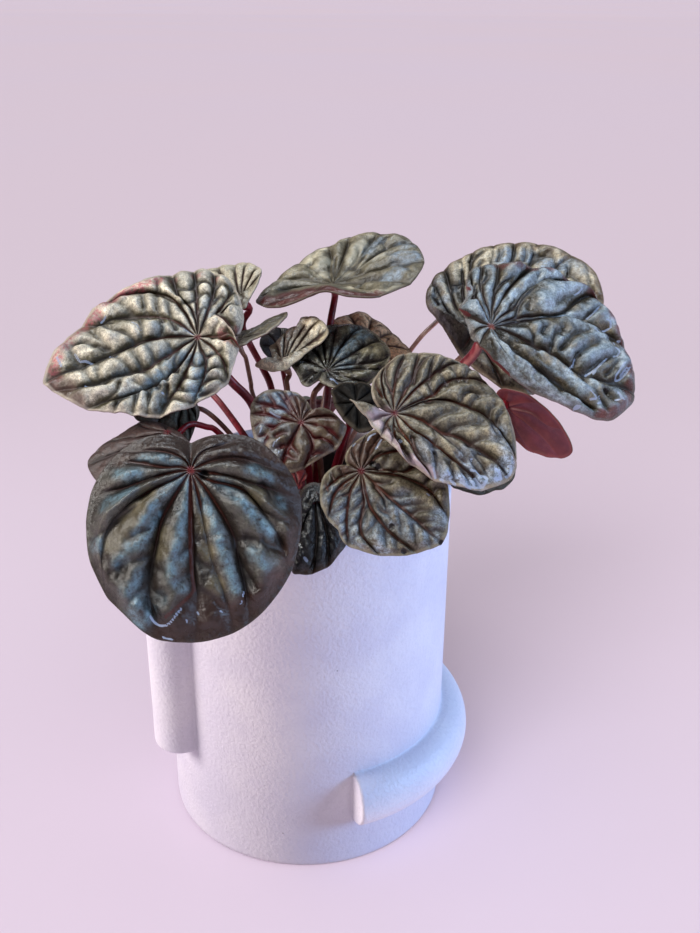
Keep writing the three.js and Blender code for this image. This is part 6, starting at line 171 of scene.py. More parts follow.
# patches listed one by one: [mask, along, across, radius, strength]
# the t1 patches are mostly a painted blue reflection of the sky on the ridges, and O's t2 patches are a painted shadow
# under P
PAINT = {
    "A": [["t2",4.6,-22.4,1.9,0.95],["t2",7.1,-21.6,1.9,0.95],["t2",9.3,-21.4,1.9,0.95],["t2",11.6,-21.1,1.9,0.95],["t2",13.8,-20.9,1.9,0.95],["t2",15.8,-20.6,1.9,0.95],["t2",18.0,-20.1,1.9,0.95],["t2",20.5,-19.0,1.9,0.95],["t2",23.0,-16.6,1.9,0.95],["t2",25.0,-16.2,1.9,0.95],["t2",27.8,-13.6,1.9,0.95],["t2",29.6,-12.0,1.9,0.95],["t2",31.7,-10.5,1.9,0.95],["t2",33.4,-9.1,1.9,0.95],["t2",35.8,-6.4,1.9,0.95],["t2",37.7,-3.9,1.9,0.95],["t2",37.7,-0.7,1.9,0.95],["t2",0.5,-21.6,1.2,0.6],["t2",-5.3,-20.9,1.2,0.6],["t2",-6.9,-20.3,1.2,0.6],["t2",-10.3,-18.0,1.2,0.6],["t2",-6.0,2.2,1.2,0.6],["t2",-6.7,4.7,1.2,0.6],["t2",-10.4,0.4,1.2,0.6],["t1",12.8,9.7,2.5,0.95],["t1",9.4,7.1,2.5,0.95],["t1",6.1,5.1,2.5,0.95],["t1",15.4,11.2,2.5,0.95],["t1",5.3,15.2,2.5,0.95],["t1",2.8,11.3,2.5,0.95],["t1",1.8,7.2,2.5,0.95],["t1",21.9,10.1,2.2,0.6],["t1",19.8,11.8,2.2,0.6],["t1",15.3,15.9,2.2,0.6],["t1",12.6,-0.5,2.2,0.6],["t1",-6.0,-10.8,2.2,0.6],["t1",-4.5,-7.1,2.2,0.6],["t1",9.4,1.9,2.2,0.6],["t1",22.1,4.8,2.2,0.6],["t1",3.2,-3.3,2.2,0.6],["t1",8.6,-5.5,2.2,0.6],["t3",37.8,0.4,2.8,0.8],["t3",35.9,2.9,2.8,0.8],["t3",37.2,4.3,2.8,0.8],["t3",34.5,7.4,2.8,0.8],["flat",35.0,3.6,2.8,0.7],["flat",37.0,1.4,2.8,0.7],["flat",38.2,2.8,2.8,0.7],["wet",28.4,-3.5,2.2,0.8],["wet",25.7,-7.5,2.2,0.8],["wet",15.7,-9.3,2.2,0.8],["wet",35.5,-6.0,2.2,0.8],["wet",29.9,-6.9,2.2,0.8]],
    "K": [["t1",24.8,-7.2,2.2,1.0],["t1",27.1,-4.0,2.2,1.0],["t1",22.2,-8.5,2.2,1.0],["t1",28.8,0.2,2.2,1.0],["t1",20.3,-9.5,2.2,1.0],["t1",17.9,-9.9,2.2,1.0],["t1",27.0,3.8,2.2,0.5],["t1",24.5,5.4,2.2,0.5],["t1",19.0,-2.3,2.2,0.5],["t1",11.6,-6.2,2.2,0.5],["t1",21.0,-4.0,2.2,0.5],["t1",14.4,-8.8,2.2,0.5],["t1",9.7,-4.5,2.2,0.5],["t1",23.6,7.3,2.2,0.5],["t2",-4.2,-5.0,1.6,0.95],["t2",-3.3,-2.6,1.6,0.95],["t2",-1.9,-1.0,1.6,0.95],["t2",-2.3,-5.2,1.6,0.95],["t2",0.9,-6.8,1.6,0.95],["t2",2.7,-7.9,1.6,0.95],["t2",4.7,-9.5,1.6,0.95],["t2",7.0,-10.5,1.6,0.95],["t2",8.7,-9.6,1.6,0.95],["t2",10.6,-10.1,1.6,0.95],["t2",12.4,-10.4,1.6,0.95],["t2",13.8,-10.6,1.6,0.95],["wet",24.8,-7.2,2.8,1.0],["wet",27.1,-4.0,2.8,1.0],["wet",29.0,0.6,2.8,1.0],["wet",21.6,-8.9,2.8,1.0],["wet",18.4,-10.0,2.8,1.0],["wet",4.0,-6.2,2.8,1.0]],
    "J": [["t1",1.9,-9.5,2.8,0.7],["t1",3.3,-12.8,2.8,0.7],["t1",6.7,-13.2,2.8,0.7],["t1",10.7,-14.2,2.8,0.7],["t1",7.3,-9.6,2.8,0.7],["t1",10.9,-2.6,2.8,0.7],["t1",12.2,-8.4,2.8,0.7],["t1",15.7,-9.9,2.8,0.7],["t1",18.0,-3.2,2.8,0.7],["t1",21.7,3.5,2.8,0.7],["t1",23.1,-1.7,2.8,0.7],["t1",-1.6,-9.2,2.8,0.7],["t1",4.5,-4.7,2.8,0.7],["t1",14.4,-3.2,2.8,0.7],["t1",12.5,0.8,2.8,0.7],["t3",-5.2,3.7,2.5,0.85],["t3",-3.1,4.2,2.5,0.85],["t3",-4.6,1.2,2.5,0.85],["t3",-3.9,-1.4,2.5,0.85],["t3",-1.9,1.8,2.5,0.85],["t3",-2.8,8.2,2.5,0.85],["t3",-6.3,4.7,2.5,0.85],["pit",0.9,3.3,0.8,1.0],["pit",2.2,3.5,0.8,1.0],["pit",14.5,-5.4,0.8,1.0],["pit",20.2,-7.8,0.7,1.0],["pit",25.3,-0.2,0.7,1.0],["wet",-0.6,8.6,1.9,0.9],["wet",-3.7,8.1,1.9,0.9],["wet",15.8,5.9,1.9,0.9]],
    "L": [["t1",1.4,17.8,1.9,0.45],["t1",0.2,15.0,1.9,0.45],["t1",8.0,20.8,1.9,0.45],["t1",16.2,-21.3,1.9,0.45],["t1",29.1,-7.5,1.9,0.45],["t1",19.8,-15.8,1.9,0.45],["t1",26.6,-14.8,1.9,0.45],["t1",20.2,14.3,1.9,0.45],["t2",5.6,-9.9,2.2,0.9],["t2",8.6,-11.7,2.2,0.9],["t2",11.4,-13.9,2.2,0.9],["t2",14.3,-16.0,2.2,0.9],["t2",16.4,-17.7,2.2,0.9],["t2",14.7,-6.0,2.2,0.9],["t2",18.3,-7.1,2.2,0.9],["t2",12.4,2.1,2.2,0.9],["t2",18.9,3.0,2.2,0.9],["t2",26.5,5.0,2.2,0.9],["t2",6.3,14.9,2.2,0.9],["t3",-4.6,-16.9,3.1,0.8],["t3",-6.1,-13.8,3.1,0.8],["t3",-7.7,-10.2,3.1,0.8],["t3",-8.2,-6.7,3.1,0.8],["t3",-7.3,-4.1,3.1,0.8],["t3",-6.1,-1.4,3.1,0.8],["t3",-6.4,2.5,3.1,0.8],["t3",-7.7,5.7,3.1,0.8],["t3",-7.8,9.7,3.1,0.8],["t3",-6.8,13.5,3.1,0.8],["t3",-4.9,16.6,3.1,0.8],["t3",-1.9,19.3,3.1,0.8],["t3",1.1,21.6,3.1,0.8],["t3",4.4,23.3,3.1,0.8],["t3",8.2,24.4,3.1,0.8],["t3",12.7,24.3,3.1,0.8],["t3",16.6,23.9,3.1,0.8],["t3",19.3,22.6,3.1,0.8],["t3",-4.6,4.1,3.4,0.8],["t3",-4.6,8.0,3.4,0.8],["t3",-3.4,11.4,3.4,0.8],["t3",31.3,12.4,3.4,0.95],["t3",33.3,9.7,3.4,0.95],["t3",34.6,6.6,3.4,0.95],["t3",35.8,3.5,3.4,0.95],["t3",35.8,0.1,3.4,0.95],["t3",36.6,-3.7,3.4,0.95],["t3",36.7,-6.4,3.4,0.95],["t3",30.9,2.4,3.4,0.95],["t3",32.3,-1.1,3.4,0.95],["t3",32.4,4.6,3.4,0.95],["t3",29.2,15.5,3.4,0.95],["t3",26.3,18.5,3.4,0.95],["flat",33.8,10.3,4.1,0.75],["flat",34.7,6.9,4.1,0.75],["flat",35.2,3.5,4.1,0.75],["flat",34.8,0.1,4.1,0.75],["flat",36.0,-3.3,4.1,0.75],["flat",36.7,-6.7,4.1,0.75],["flat",31.4,2.5,4.1,0.75],["flat",32.5,-0.9,4.1,0.75],["flat",-4.5,-16.4,4.4,0.75],["flat",-6.0,-13.6,4.4,0.75],["flat",-6.9,-10.2,4.4,0.75],["flat",-7.3,-6.8,4.4,0.75],["flat",-6.3,-3.4,4.4,0.75],["flat",-5.8,3.0,4.4,0.75],["flat",-7.0,8.1,4.4,0.75],["flat",-6.2,11.6,4.4,0.75],["flat",-4.6,14.9,4.4,0.75],["flat",-2.1,18.4,4.4,0.75],["flat",2.0,21.7,4.4,0.75],["flat",6.7,23.3,4.4,0.75],["wet",34.5,-5.5,3.4,1.0],["wet",33.7,-8.7,3.4,1.0],["wet",31.5,-10.9,3.4,1.0],["wet",32.0,-2.1,3.4,1.0],["wet",33.2,0.7,3.4,1.0],["wet",33.0,5.8,3.4,1.0],["wet",31.1,10.4,3.4,1.0],["wet",24.6,19.0,3.4,1.0],["wet",28.0,17.2,3.4,1.0],["wet",36.1,-9.9,3.4,1.0],["wet",30.6,-14.3,3.4,1.0],["pit",1.0,3.1,1.1,1.0]],
    "O": [["t1",-4.2,18.4,1.9,0.55],["t1",-1.5,19.3,1.9,0.55],["t1",-1.9,14.2,1.9,0.55],["t1",-5.0,11.1,1.9,0.55],["t1",1.6,16.4,1.9,0.55],["t1",0.9,21.8,1.9,0.55],["t1",-4.6,7.8,1.9,0.55],["t1",-5.3,14.5,1.9,0.55],["t1",22.8,18.6,2.8,0.9],["t1",19.9,16.4,2.8,0.9],["t1",29.9,8.9,2.8,0.9],["t1",33.8,5.5,2.8,0.9],["t1",27.8,14.7,2.8,0.9],["t1",37.5,1.4,2.8,0.5],["t1",36.9,4.7,2.8,0.5],["t2",-4.6,3.5,3.8,1.0],["t2",-5.1,-1.2,3.8,1.0],["t2",-7.7,-3.1,3.8,1.0],["t2",-7.4,-6.8,3.8,1.0],["t2",-6.9,-11.2,3.8,1.0],["t2",-6.1,-15.0,3.8,1.0],["t2",-4.3,-19.2,3.8,1.0],["t2",-2.5,-22.2,3.8,1.0],["t2",-5.9,7.5,3.8,1.0],["t2",-4.0,-6.1,3.8,1.0],["t2",-7.2,3.7,3.8,1.0],["t2",-5.0,17.1,1.6,0.5],["t2",-7.0,10.7,1.6,0.5],["t3",28.6,19.9,1.9,0.5],["t3",31.8,16.7,1.9,0.5],["t3",35.0,13.3,1.9,0.5],["t3",37.3,8.8,1.9,0.5],["t3",39.8,4.5,1.9,0.5],["t3",40.6,-0.3,1.9,0.5],["t3",39.6,-5.0,1.9,0.5],["t3",37.5,-9.5,1.9,0.5],["t3",36.2,-8.2,1.9,0.5]],
    "P": [["t2",26.4,26.1,1.9,0.9],["t2",23.2,27.3,1.9,0.9],["t2",19.1,28.1,1.9,0.9],["t2",15.0,28.3,1.9,0.9],["t2",9.1,27.1,1.9,0.9],["t2",5.0,25.0,1.9,0.9],["t2",1.0,23.4,1.9,0.9],["t2",-2.8,21.6,1.9,0.9],["t2",30.1,22.2,1.9,0.9],["t2",33.5,19.3,1.9,0.9],["t2",35.8,15.9,1.9,0.9],["t2",37.7,12.5,1.9,0.9],["t2",39.4,8.4,1.9,0.9],["t2",40.8,4.4,1.9,0.9],["t2",40.6,0.4,1.9,0.9],["t2",39.6,-3.5,1.9,0.9],["t2",38.0,-6.6,1.9,0.9],["t2",35.3,-9.2,1.9,0.9],["t1",-6.9,11.0,1.9,0.9],["t1",-2.2,17.6,1.9,0.9],["t1",-0.7,20.8,1.9,0.9],["t1",2.6,16.2,1.9,0.9],["t1",7.6,13.1,1.9,0.9],["t1",9.3,10.6,1.9,0.9],["t1",19.4,18.4,1.9,0.9],["t1",21.0,5.6,1.9,0.9],["t1",22.4,8.4,1.9,0.9],["t1",33.3,6.7,1.9,0.9],["t1",26.6,9.8,1.9,0.9],["t1",32.4,-0.5,1.9,0.9],["t1",25.0,-1.7,1.9,0.9],["t1",20.4,-1.3,1.9,0.9],["t1",16.1,-2.1,1.9,0.9],["t1",32.8,13.9,1.9,0.9],["t1",22.0,-6.8,1.9,0.9],["t1",30.9,-6.2,1.9,0.9],["t1",19.0,10.0,1.9,0.9],["t1",9.4,4.1,1.9,0.9],["t1",15.0,9.4,1.9,0.9],["t1",32.4,3.2,1.9,0.9],["t1",33.2,-3.0,1.9,0.9],["t1",35.7,-3.2,1.9,0.9],["t1",8.3,-1.5,1.9,0.9],["t1",11.0,-2.4,1.9,0.9],["t1",13.4,-3.7,1.9,0.9],["t1",27.3,18.0,1.9,0.9],["t1",29.7,17.3,1.9,0.9],["wet",29.7,19.0,2.2,1.0],["wet",34.2,10.2,2.2,1.0],["wet",37.0,6.3,2.2,1.0],["wet",29.1,2.5,2.2,1.0],["wet",31.9,-5.6,2.2,1.0],["wet",39.1,-1.7,2.2,1.0],["wet",19.0,24.4,2.2,1.0],["wet",25.7,21.0,2.2,1.0],["wet",28.8,-10.0,2.2,1.0],["wet",23.5,-0.1,2.2,1.0],["wet",33.7,-4.6,2.2,1.0],["pit",34.0,-2.1,0.9,1.0]],
    "C": [["t3",-14.6,16.8,3.3,1.0],["t3",-17.7,11.9,3.3,1.0],["t3",-18.3,8.1,3.3,1.0],["t3",-18.2,4.9,3.3,1.0],["t3",-17.2,2.3,3.3,1.0],["t3",-16.2,-0.2,3.3,1.0],["t3",-14.7,-2.4,3.3,1.0],["t3",-13.9,-5.0,3.3,1.0],["t3",-13.6,-6.8,3.3,1.0],["t3",-14.0,-8.7,3.3,1.0],["t3",-13.9,-10.7,3.3,1.0],["t3",-13.2,-13.2,3.3,1.0],["t3",-11.9,-17.0,3.3,1.0],["t3",-16.6,13.0,4.1,1.0],["t3",-16.0,9.9,4.1,1.0],["t3",-12.0,7.6,4.1,1.0],["t3",-11.2,3.3,4.1,1.0],["t3",-13.7,-3.3,4.1,1.0],["flat",4.2,-0.6,7.5,0.8],["flat",-1.2,-0.2,3.1,0.8],["flat",0.3,-2.3,3.1,0.8],["flat",-0.9,-5.1,3.1,0.8],["t2",11.2,14.8,2.2,0.9],["t2",10.1,12.7,2.2,0.9],["t2",13.6,12.1,2.2,0.9],["t2",17.2,11.4,2.2,0.9],["t2",14.4,13.9,2.2,0.9],["t2",11.0,7.0,2.2,0.9],["t2",18.7,0.4,2.2,0.9],["t2",14.1,-0.3,2.2,0.9],["t1",20.5,-4.1,2.5,0.8],["t1",17.7,-4.0,2.5,0.8],["t1",23.0,-5.1,2.5,0.8],["t1",11.2,-17.1,2.5,0.8],["t1",13.7,-18.0,2.5,0.8],["t1",13.9,-14.9,2.5,0.8],["t1",14.5,-19.6,2.5,0.8],["t1",2.6,-18.3,2.5,0.8],["t1",4.9,-19.0,2.5,0.8],["t1",1.5,-16.6,2.5,0.8],["t1",21.4,-13.3,2.5,0.8],["t1",20.0,-15.8,2.5,0.8],["t2",12.8,10.2,1.9,0.7],["t2",8.4,7.6,1.9,0.7],["t2",4.4,4.5,1.9,0.7],["t2",15.9,12.1,1.9,0.7],["t2",11.8,-1.2,1.9,0.7],["t2",16.4,-0.6,1.9,0.7],["t2",21.1,-0.6,1.9,0.7],["t2",6.0,-2.4,1.9,0.7],["t2",10.8,-4.8,1.9,0.7],["t2",11.8,-7.5,1.9,0.7],["t2",14.2,-9.2,1.9,0.7],["t2",-6.3,-8.6,1.9,0.7],["t2",-5.9,-20.9,1.9,0.7],["t2",-3.4,-21.8,1.9,0.7],["t3",-16.6,13.0,1.2,0.8],["t3",-16.6,11.0,1.2,0.8],["t3",-14.8,9.4,1.2,0.8],["t3",-12.7,7.9,1.2,0.8],["t3",-11.7,5.4,1.2,0.8],["t3",-11.6,2.6,1.2,0.8],["t3",-12.5,-0.8,1.2,0.8],["t3",-11.7,-2.9,1.2,0.8],["t3",-13.1,-5.9,1.2,0.8],["t3",-15.9,14.7,1.2,0.8],["t3",-13.4,-11.5,1.2,0.8],["t3",-11.4,-13.1,1.2,0.8],["t3",-10.4,-15.3,1.2,0.8],["t3",-9.1,-17.5,1.2,0.8],["t3",-9.1,-19.3,1.2,0.8],["t3",-15.9,14.7,2.2,1.0],["t3",-17.1,12.3,2.2,1.0],["t3",-16.3,10.9,2.2,1.0],["t3",-15.4,8.8,2.2,1.0],["t3",-12.4,7.8,2.2,1.0],["t3",-12.0,4.7,2.2,1.0],["t3",-12.0,1.3,2.2,1.0],["t3",-14.0,-3.3,2.2,1.0]],
    "G": [["t2",14.8,-5.7,1.9,0.75],["t2",12.5,-8.8,1.9,0.75],["t2",10.5,-11.3,1.9,0.75],["t2",6.1,-9.9,1.9,0.75],["t2",3.2,-7.9,1.9,0.75],["t2",0.8,-5.2,1.9,0.75],["t2",10.8,-6.1,1.9,0.75],["t2",15.9,-8.8,1.9,0.75],["t1",11.4,-1.3,2.5,0.7],["t1",15.7,-3.0,2.5,0.7],["t1",7.3,0.1,2.5,0.7],["t1",17.7,0.5,2.5,0.7],["t1",3.6,-3.6,2.5,0.7],["wet",2.7,0.6,2.2,0.7],["wet",1.4,-4.9,2.2,0.7],["wet",2.2,-9.0,2.2,0.7],["wet",6.9,-11.0,2.2,0.7]],
    "I": [["t1",-3.7,-11.0,1.9,0.9],["t1",-4.0,-6.2,1.9,0.9],["t1",-5.4,-8.0,1.9,0.9],["t1",-1.0,-7.1,1.9,0.9],["t1",1.8,-7.8,1.9,0.9],["t1",-2.8,-5.8,1.9,0.9],["t1",-6.8,-4.6,1.9,0.9],["t1",4.3,-9.7,1.6,0.4],["t1",6.0,-9.7,1.6,0.4],["t1",7.4,-8.2,1.6,0.4],["t1",9.0,-3.9,1.6,0.4],["t1",10.4,-2.8,1.6,0.4],["t1",3.3,-3.3,1.6,0.4],["t3",-4.8,-1.8,1.9,0.8],["t3",-3.2,0.1,1.9,0.8],["t3",-1.8,1.9,1.9,0.8],["t3",-3.1,2.9,1.9,0.8],["t3",-6.0,-3.0,1.9,0.8],["t3",-3.0,7.0,1.9,0.8],["wet",7.9,-3.6,1.6,1.0],["wet",10.9,-2.4,1.6,1.0],["wet",5.2,-8.9,1.6,1.0]],
    "E": [["wet",7.5,-3.0,0.9,0.2]],
    "N": [["wet",18.1,2.2,1.9,1.0],["wet",19.2,4.0,1.9,1.0],["wet",16.5,0.2,1.9,1.0]],
}
# painted highlight: glints of standing water, bright strokes painted into the colour: [half width, points]
PAINTED_GLINTS = {
    "P": [[0.25,[[18.4,22.4],[19.3,23.8],[19.8,25.3]]],[0.25,[[23.7,17.1],[25.0,19.9],[25.9,22.6]]],[0.3,[[28.8,19.4],[29.9,19.5],[30.8,18.5]]],[0.25,[[30.5,18.0],[29.3,16.6],[28.5,15.9]]],[0.25,[[34.0,16.2],[34.6,16.5]]],[0.25,[[26.1,14.4],[27.7,14.2]]],[0.25,[[29.1,15.4],[31.4,14.4],[32.7,12.8]]],[0.25,[[33.1,12.1],[34.5,11.8],[34.5,10.3],[33.4,9.2]]],[0.25,[[23.5,2.5],[23.5,0.3],[22.5,-1.2]]],[0.25,[[31.9,7.7],[30.8,5.3]]],[0.27,[[30.8,5.3],[29.7,2.8],[27.8,-0.2]]],[0.25,[[29.9,2.4],[29.6,1.2]]],[0.25,[[36.8,8.8],[36.15,6.28],[35.75,4.3],[36.23,3.52],[37.35,4.55],[38.25,6.7],[38.7,8.8]]],[0.25,[[36.5,8.4],[36.0,5.5]]],[0.25,[[37.9,8.3],[37.0,5.2]]],[0.33,[[37.2,-1.0],[38.4,-1.7],[39.1,-2.1]]],[0.25,[[37.2,-3.2],[38.2,-2.5]]],[0.25,[[29.6,-5.0],[31.1,-5.5],[31.9,-6.2],[30.6,-6.9]]],[0.25,[[32.6,-4.4],[33.6,-5.9],[32.8,-7.0]]],[0.25,[[27.8,-10.0],[28.8,-9.8]]]],
    "K": [[0.31,[[29.2,-0.0],[29.9,0.1],[30.2,-1.4],[29.6,-2.6]]],[0.47,[[26.8,-3.0],[27.8,-3.0],[28.6,-3.7]]],[0.37,[[27.5,-4.9],[28.4,-4.1]]],[0.25,[[22.7,-5.1],[23.9,-5.5],[25.2,-5.3]]],[0.37,[[25.2,-5.3],[25.8,-5.8],[25.7,-7.3]]],[0.25,[[25.7,-7.3],[24.5,-8.2],[22.9,-8.8]]],[0.31,[[23.2,-6.6],[24.3,-7.2],[25.1,-7.5]]],[0.25,[[22.4,-7.5],[23.9,-8.2]]],[0.33,[[20.5,-8.8],[21.4,-9.0],[22.4,-9.0],[23.1,-8.9]]],[0.33,[[18.6,-9.7],[19.6,-9.7]]],[0.25,[[17.0,-8.6],[17.5,-9.1]]],[0.25,[[16.2,-10.3],[16.9,-10.3]]],[0.25,[[20.7,-2.8],[20.8,-3.0]]],[0.25,[[13.8,-9.2],[14.5,-9.8],[15.0,-10.3]]],[0.25,[[21.6,-5.3],[22.5,-5.3]]],[0.25,[[3.9,-6.0],[4.4,-6.3]]]],
    "L": [[0.26,[[32.6,-9.8],[33.8,-9.12],[34.65,-8.05],[34.88,-6.75],[34.35,-5.55],[33.3,-4.55],[32.2,-3.67],[31.3,-2.8]]],[0.2,[[33.9,-1.7],[34.6,-1.9]]],[0.2,[[32.2,0.7],[32.8,1.0]]],[0.2,[[28.2,11.3],[29.1,11.0]]],[0.2,[[30.3,10.8],[30.9,10.5]]],[0.2,[[32.2,5.8],[32.4,6.2]]],[0.2,[[37.4,-7.3],[38.0,-5.1]]]],
    "I": [[0.2,[[6.2,-3.7],[7.3,-4.4],[8.8,-4.8]]],[0.2,[[9.6,-2.8],[10.2,-2.8]]],[0.2,[[10.9,-3.5],[11.7,-2.4]]],[0.2,[[4.5,-9.2],[5.7,-9.3]]],[0.2,[[-0.6,-8.6],[-0.1,-7.1],[0.1,-5.6]]]],
    "A": [[0.3,[[35.8,-6.4],[35.5,-4.7],[35.3,-3.6]]],[0.25,[[31.2,-5.9],[30.5,-3.7],[29.1,-3.0],[27.7,-2.0]]],[0.25,[[22.9,-2.4],[22.0,-1.3],[21.1,-1.2]]],[0.25,[[15.9,-2.4],[14.9,-1.9]]],[0.25,[[14.8,-9.5],[13.8,-7.9],[13.4,-6.5]]],[0.25,[[13.4,14.0],[13.2,14.0]]],[0.25,[[2.7,-4.0],[1.8,-2.3],[0.9,-1.2]]],[0.25,[[31.2,4.0],[29.6,5.3]]],[0.25,[[20.8,-15.1],[22.4,-14.4]]]],
    "J": [[0.25,[[-1.7,9.2],[-1.2,7.4],[-1.0,6.5]]],[0.25,[[-3.9,6.9],[-4.2,7.7],[-3.9,9.5]]],[0.25,[[15.5,5.9],[16.2,5.9]]],[0.25,[[-6.0,3.9],[-6.0,4.6]]]],
    "N": [[0.4,[[17.9,1.8],[18.4,2.4]]]],
    "G": [[0.25,[[-2.2,-6.4],[-1.9,-8.9]]],[0.25,[[-2.4,-2.6],[-2.7,-4.8]]]],
}
# ridge crests and ribs, listed one by one: [half width, points]
# painted highlight: the crest strokes are added to the t1 patches as a bright line along the ridge tops
CREST_HIGHLIGHTS = {
    "L": [[1.12,[[2.1,-0.8],[6.88,-1.35],[11.73,-2.15],[16.5,-3.27],[20.4,-4.38],[23.42,-4.67],[25.55,-3.8],[26.7,-2.4]]],[1.12,[[7.0,2.6],[9.88,4.08],[13.23,5.3],[17.07,6.4],[20.8,7.52],[24.25,8.6],[27.6,9.5]]],[1.19,[[3.3,7.0],[6.95,10.32],[10.1,13.25],[12.78,15.7],[15.0,17.7]]],[1.0,[[1.9,-2.6],[3.88,-4.67],[6.25,-6.92],[9.03,-9.18],[11.78,-11.0],[14.0,-12.3]]],[1.25,[[14.4,-10.5],[16.7,-12.1],[17.2,-14.0]]],[1.06,[[-2.0,-3.2],[-3.0,-5.8],[-3.0,-8.7],[-3.4,-10.9]]],[1.25,[[0.4,-11.9],[0.5,-14.2],[0.1,-16.4]]],[1.0,[[6.6,-17.6],[5.1,-14.9],[4.1,-12.6]]],[0.94,[[8.1,-19.7],[6.0,-18.3]]],[1.25,[[0.1,13.6],[1.1,16.4],[2.1,18.2]]],[0.94,[[7.3,20.3],[8.7,21.4]]],[1.25,[[19.1,13.6],[21.6,15.6],[24.6,17.3],[26.8,17.7]]],[0.94,[[19.3,-15.8],[20.9,-17.1]]],[1.25,[[23.4,-11.9],[26.6,-14.1]]],[1.41,[[29.0,-12.1],[31.5,-13.7],[34.5,-12.1]]],[1.12,[[30.4,-9.4],[33.5,-10.6]]],[0.94,[[10.1,-7.5],[12.9,-9.3],[15.8,-10.8]]],[0.81,[[18.9,-1.5],[20.4,-2.8]]]],
    "G": [[0.94,[[11.4,-1.3],[14.2,-2.2],[16.5,-3.5]]],[0.94,[[7.8,-0.8],[10.6,0.1]]]],
}
RIB = {
    "L": [[0.53,[[1.6,-0.1],[8.97,-0.35],[15.95,-0.47],[22.2,-0.35],[27.3,0.1]]],[0.47,[[27.3,0.1],[28.82,-1.23],[30.32,-3.0],[31.8,-4.75],[33.0,-6.4]]]],
}
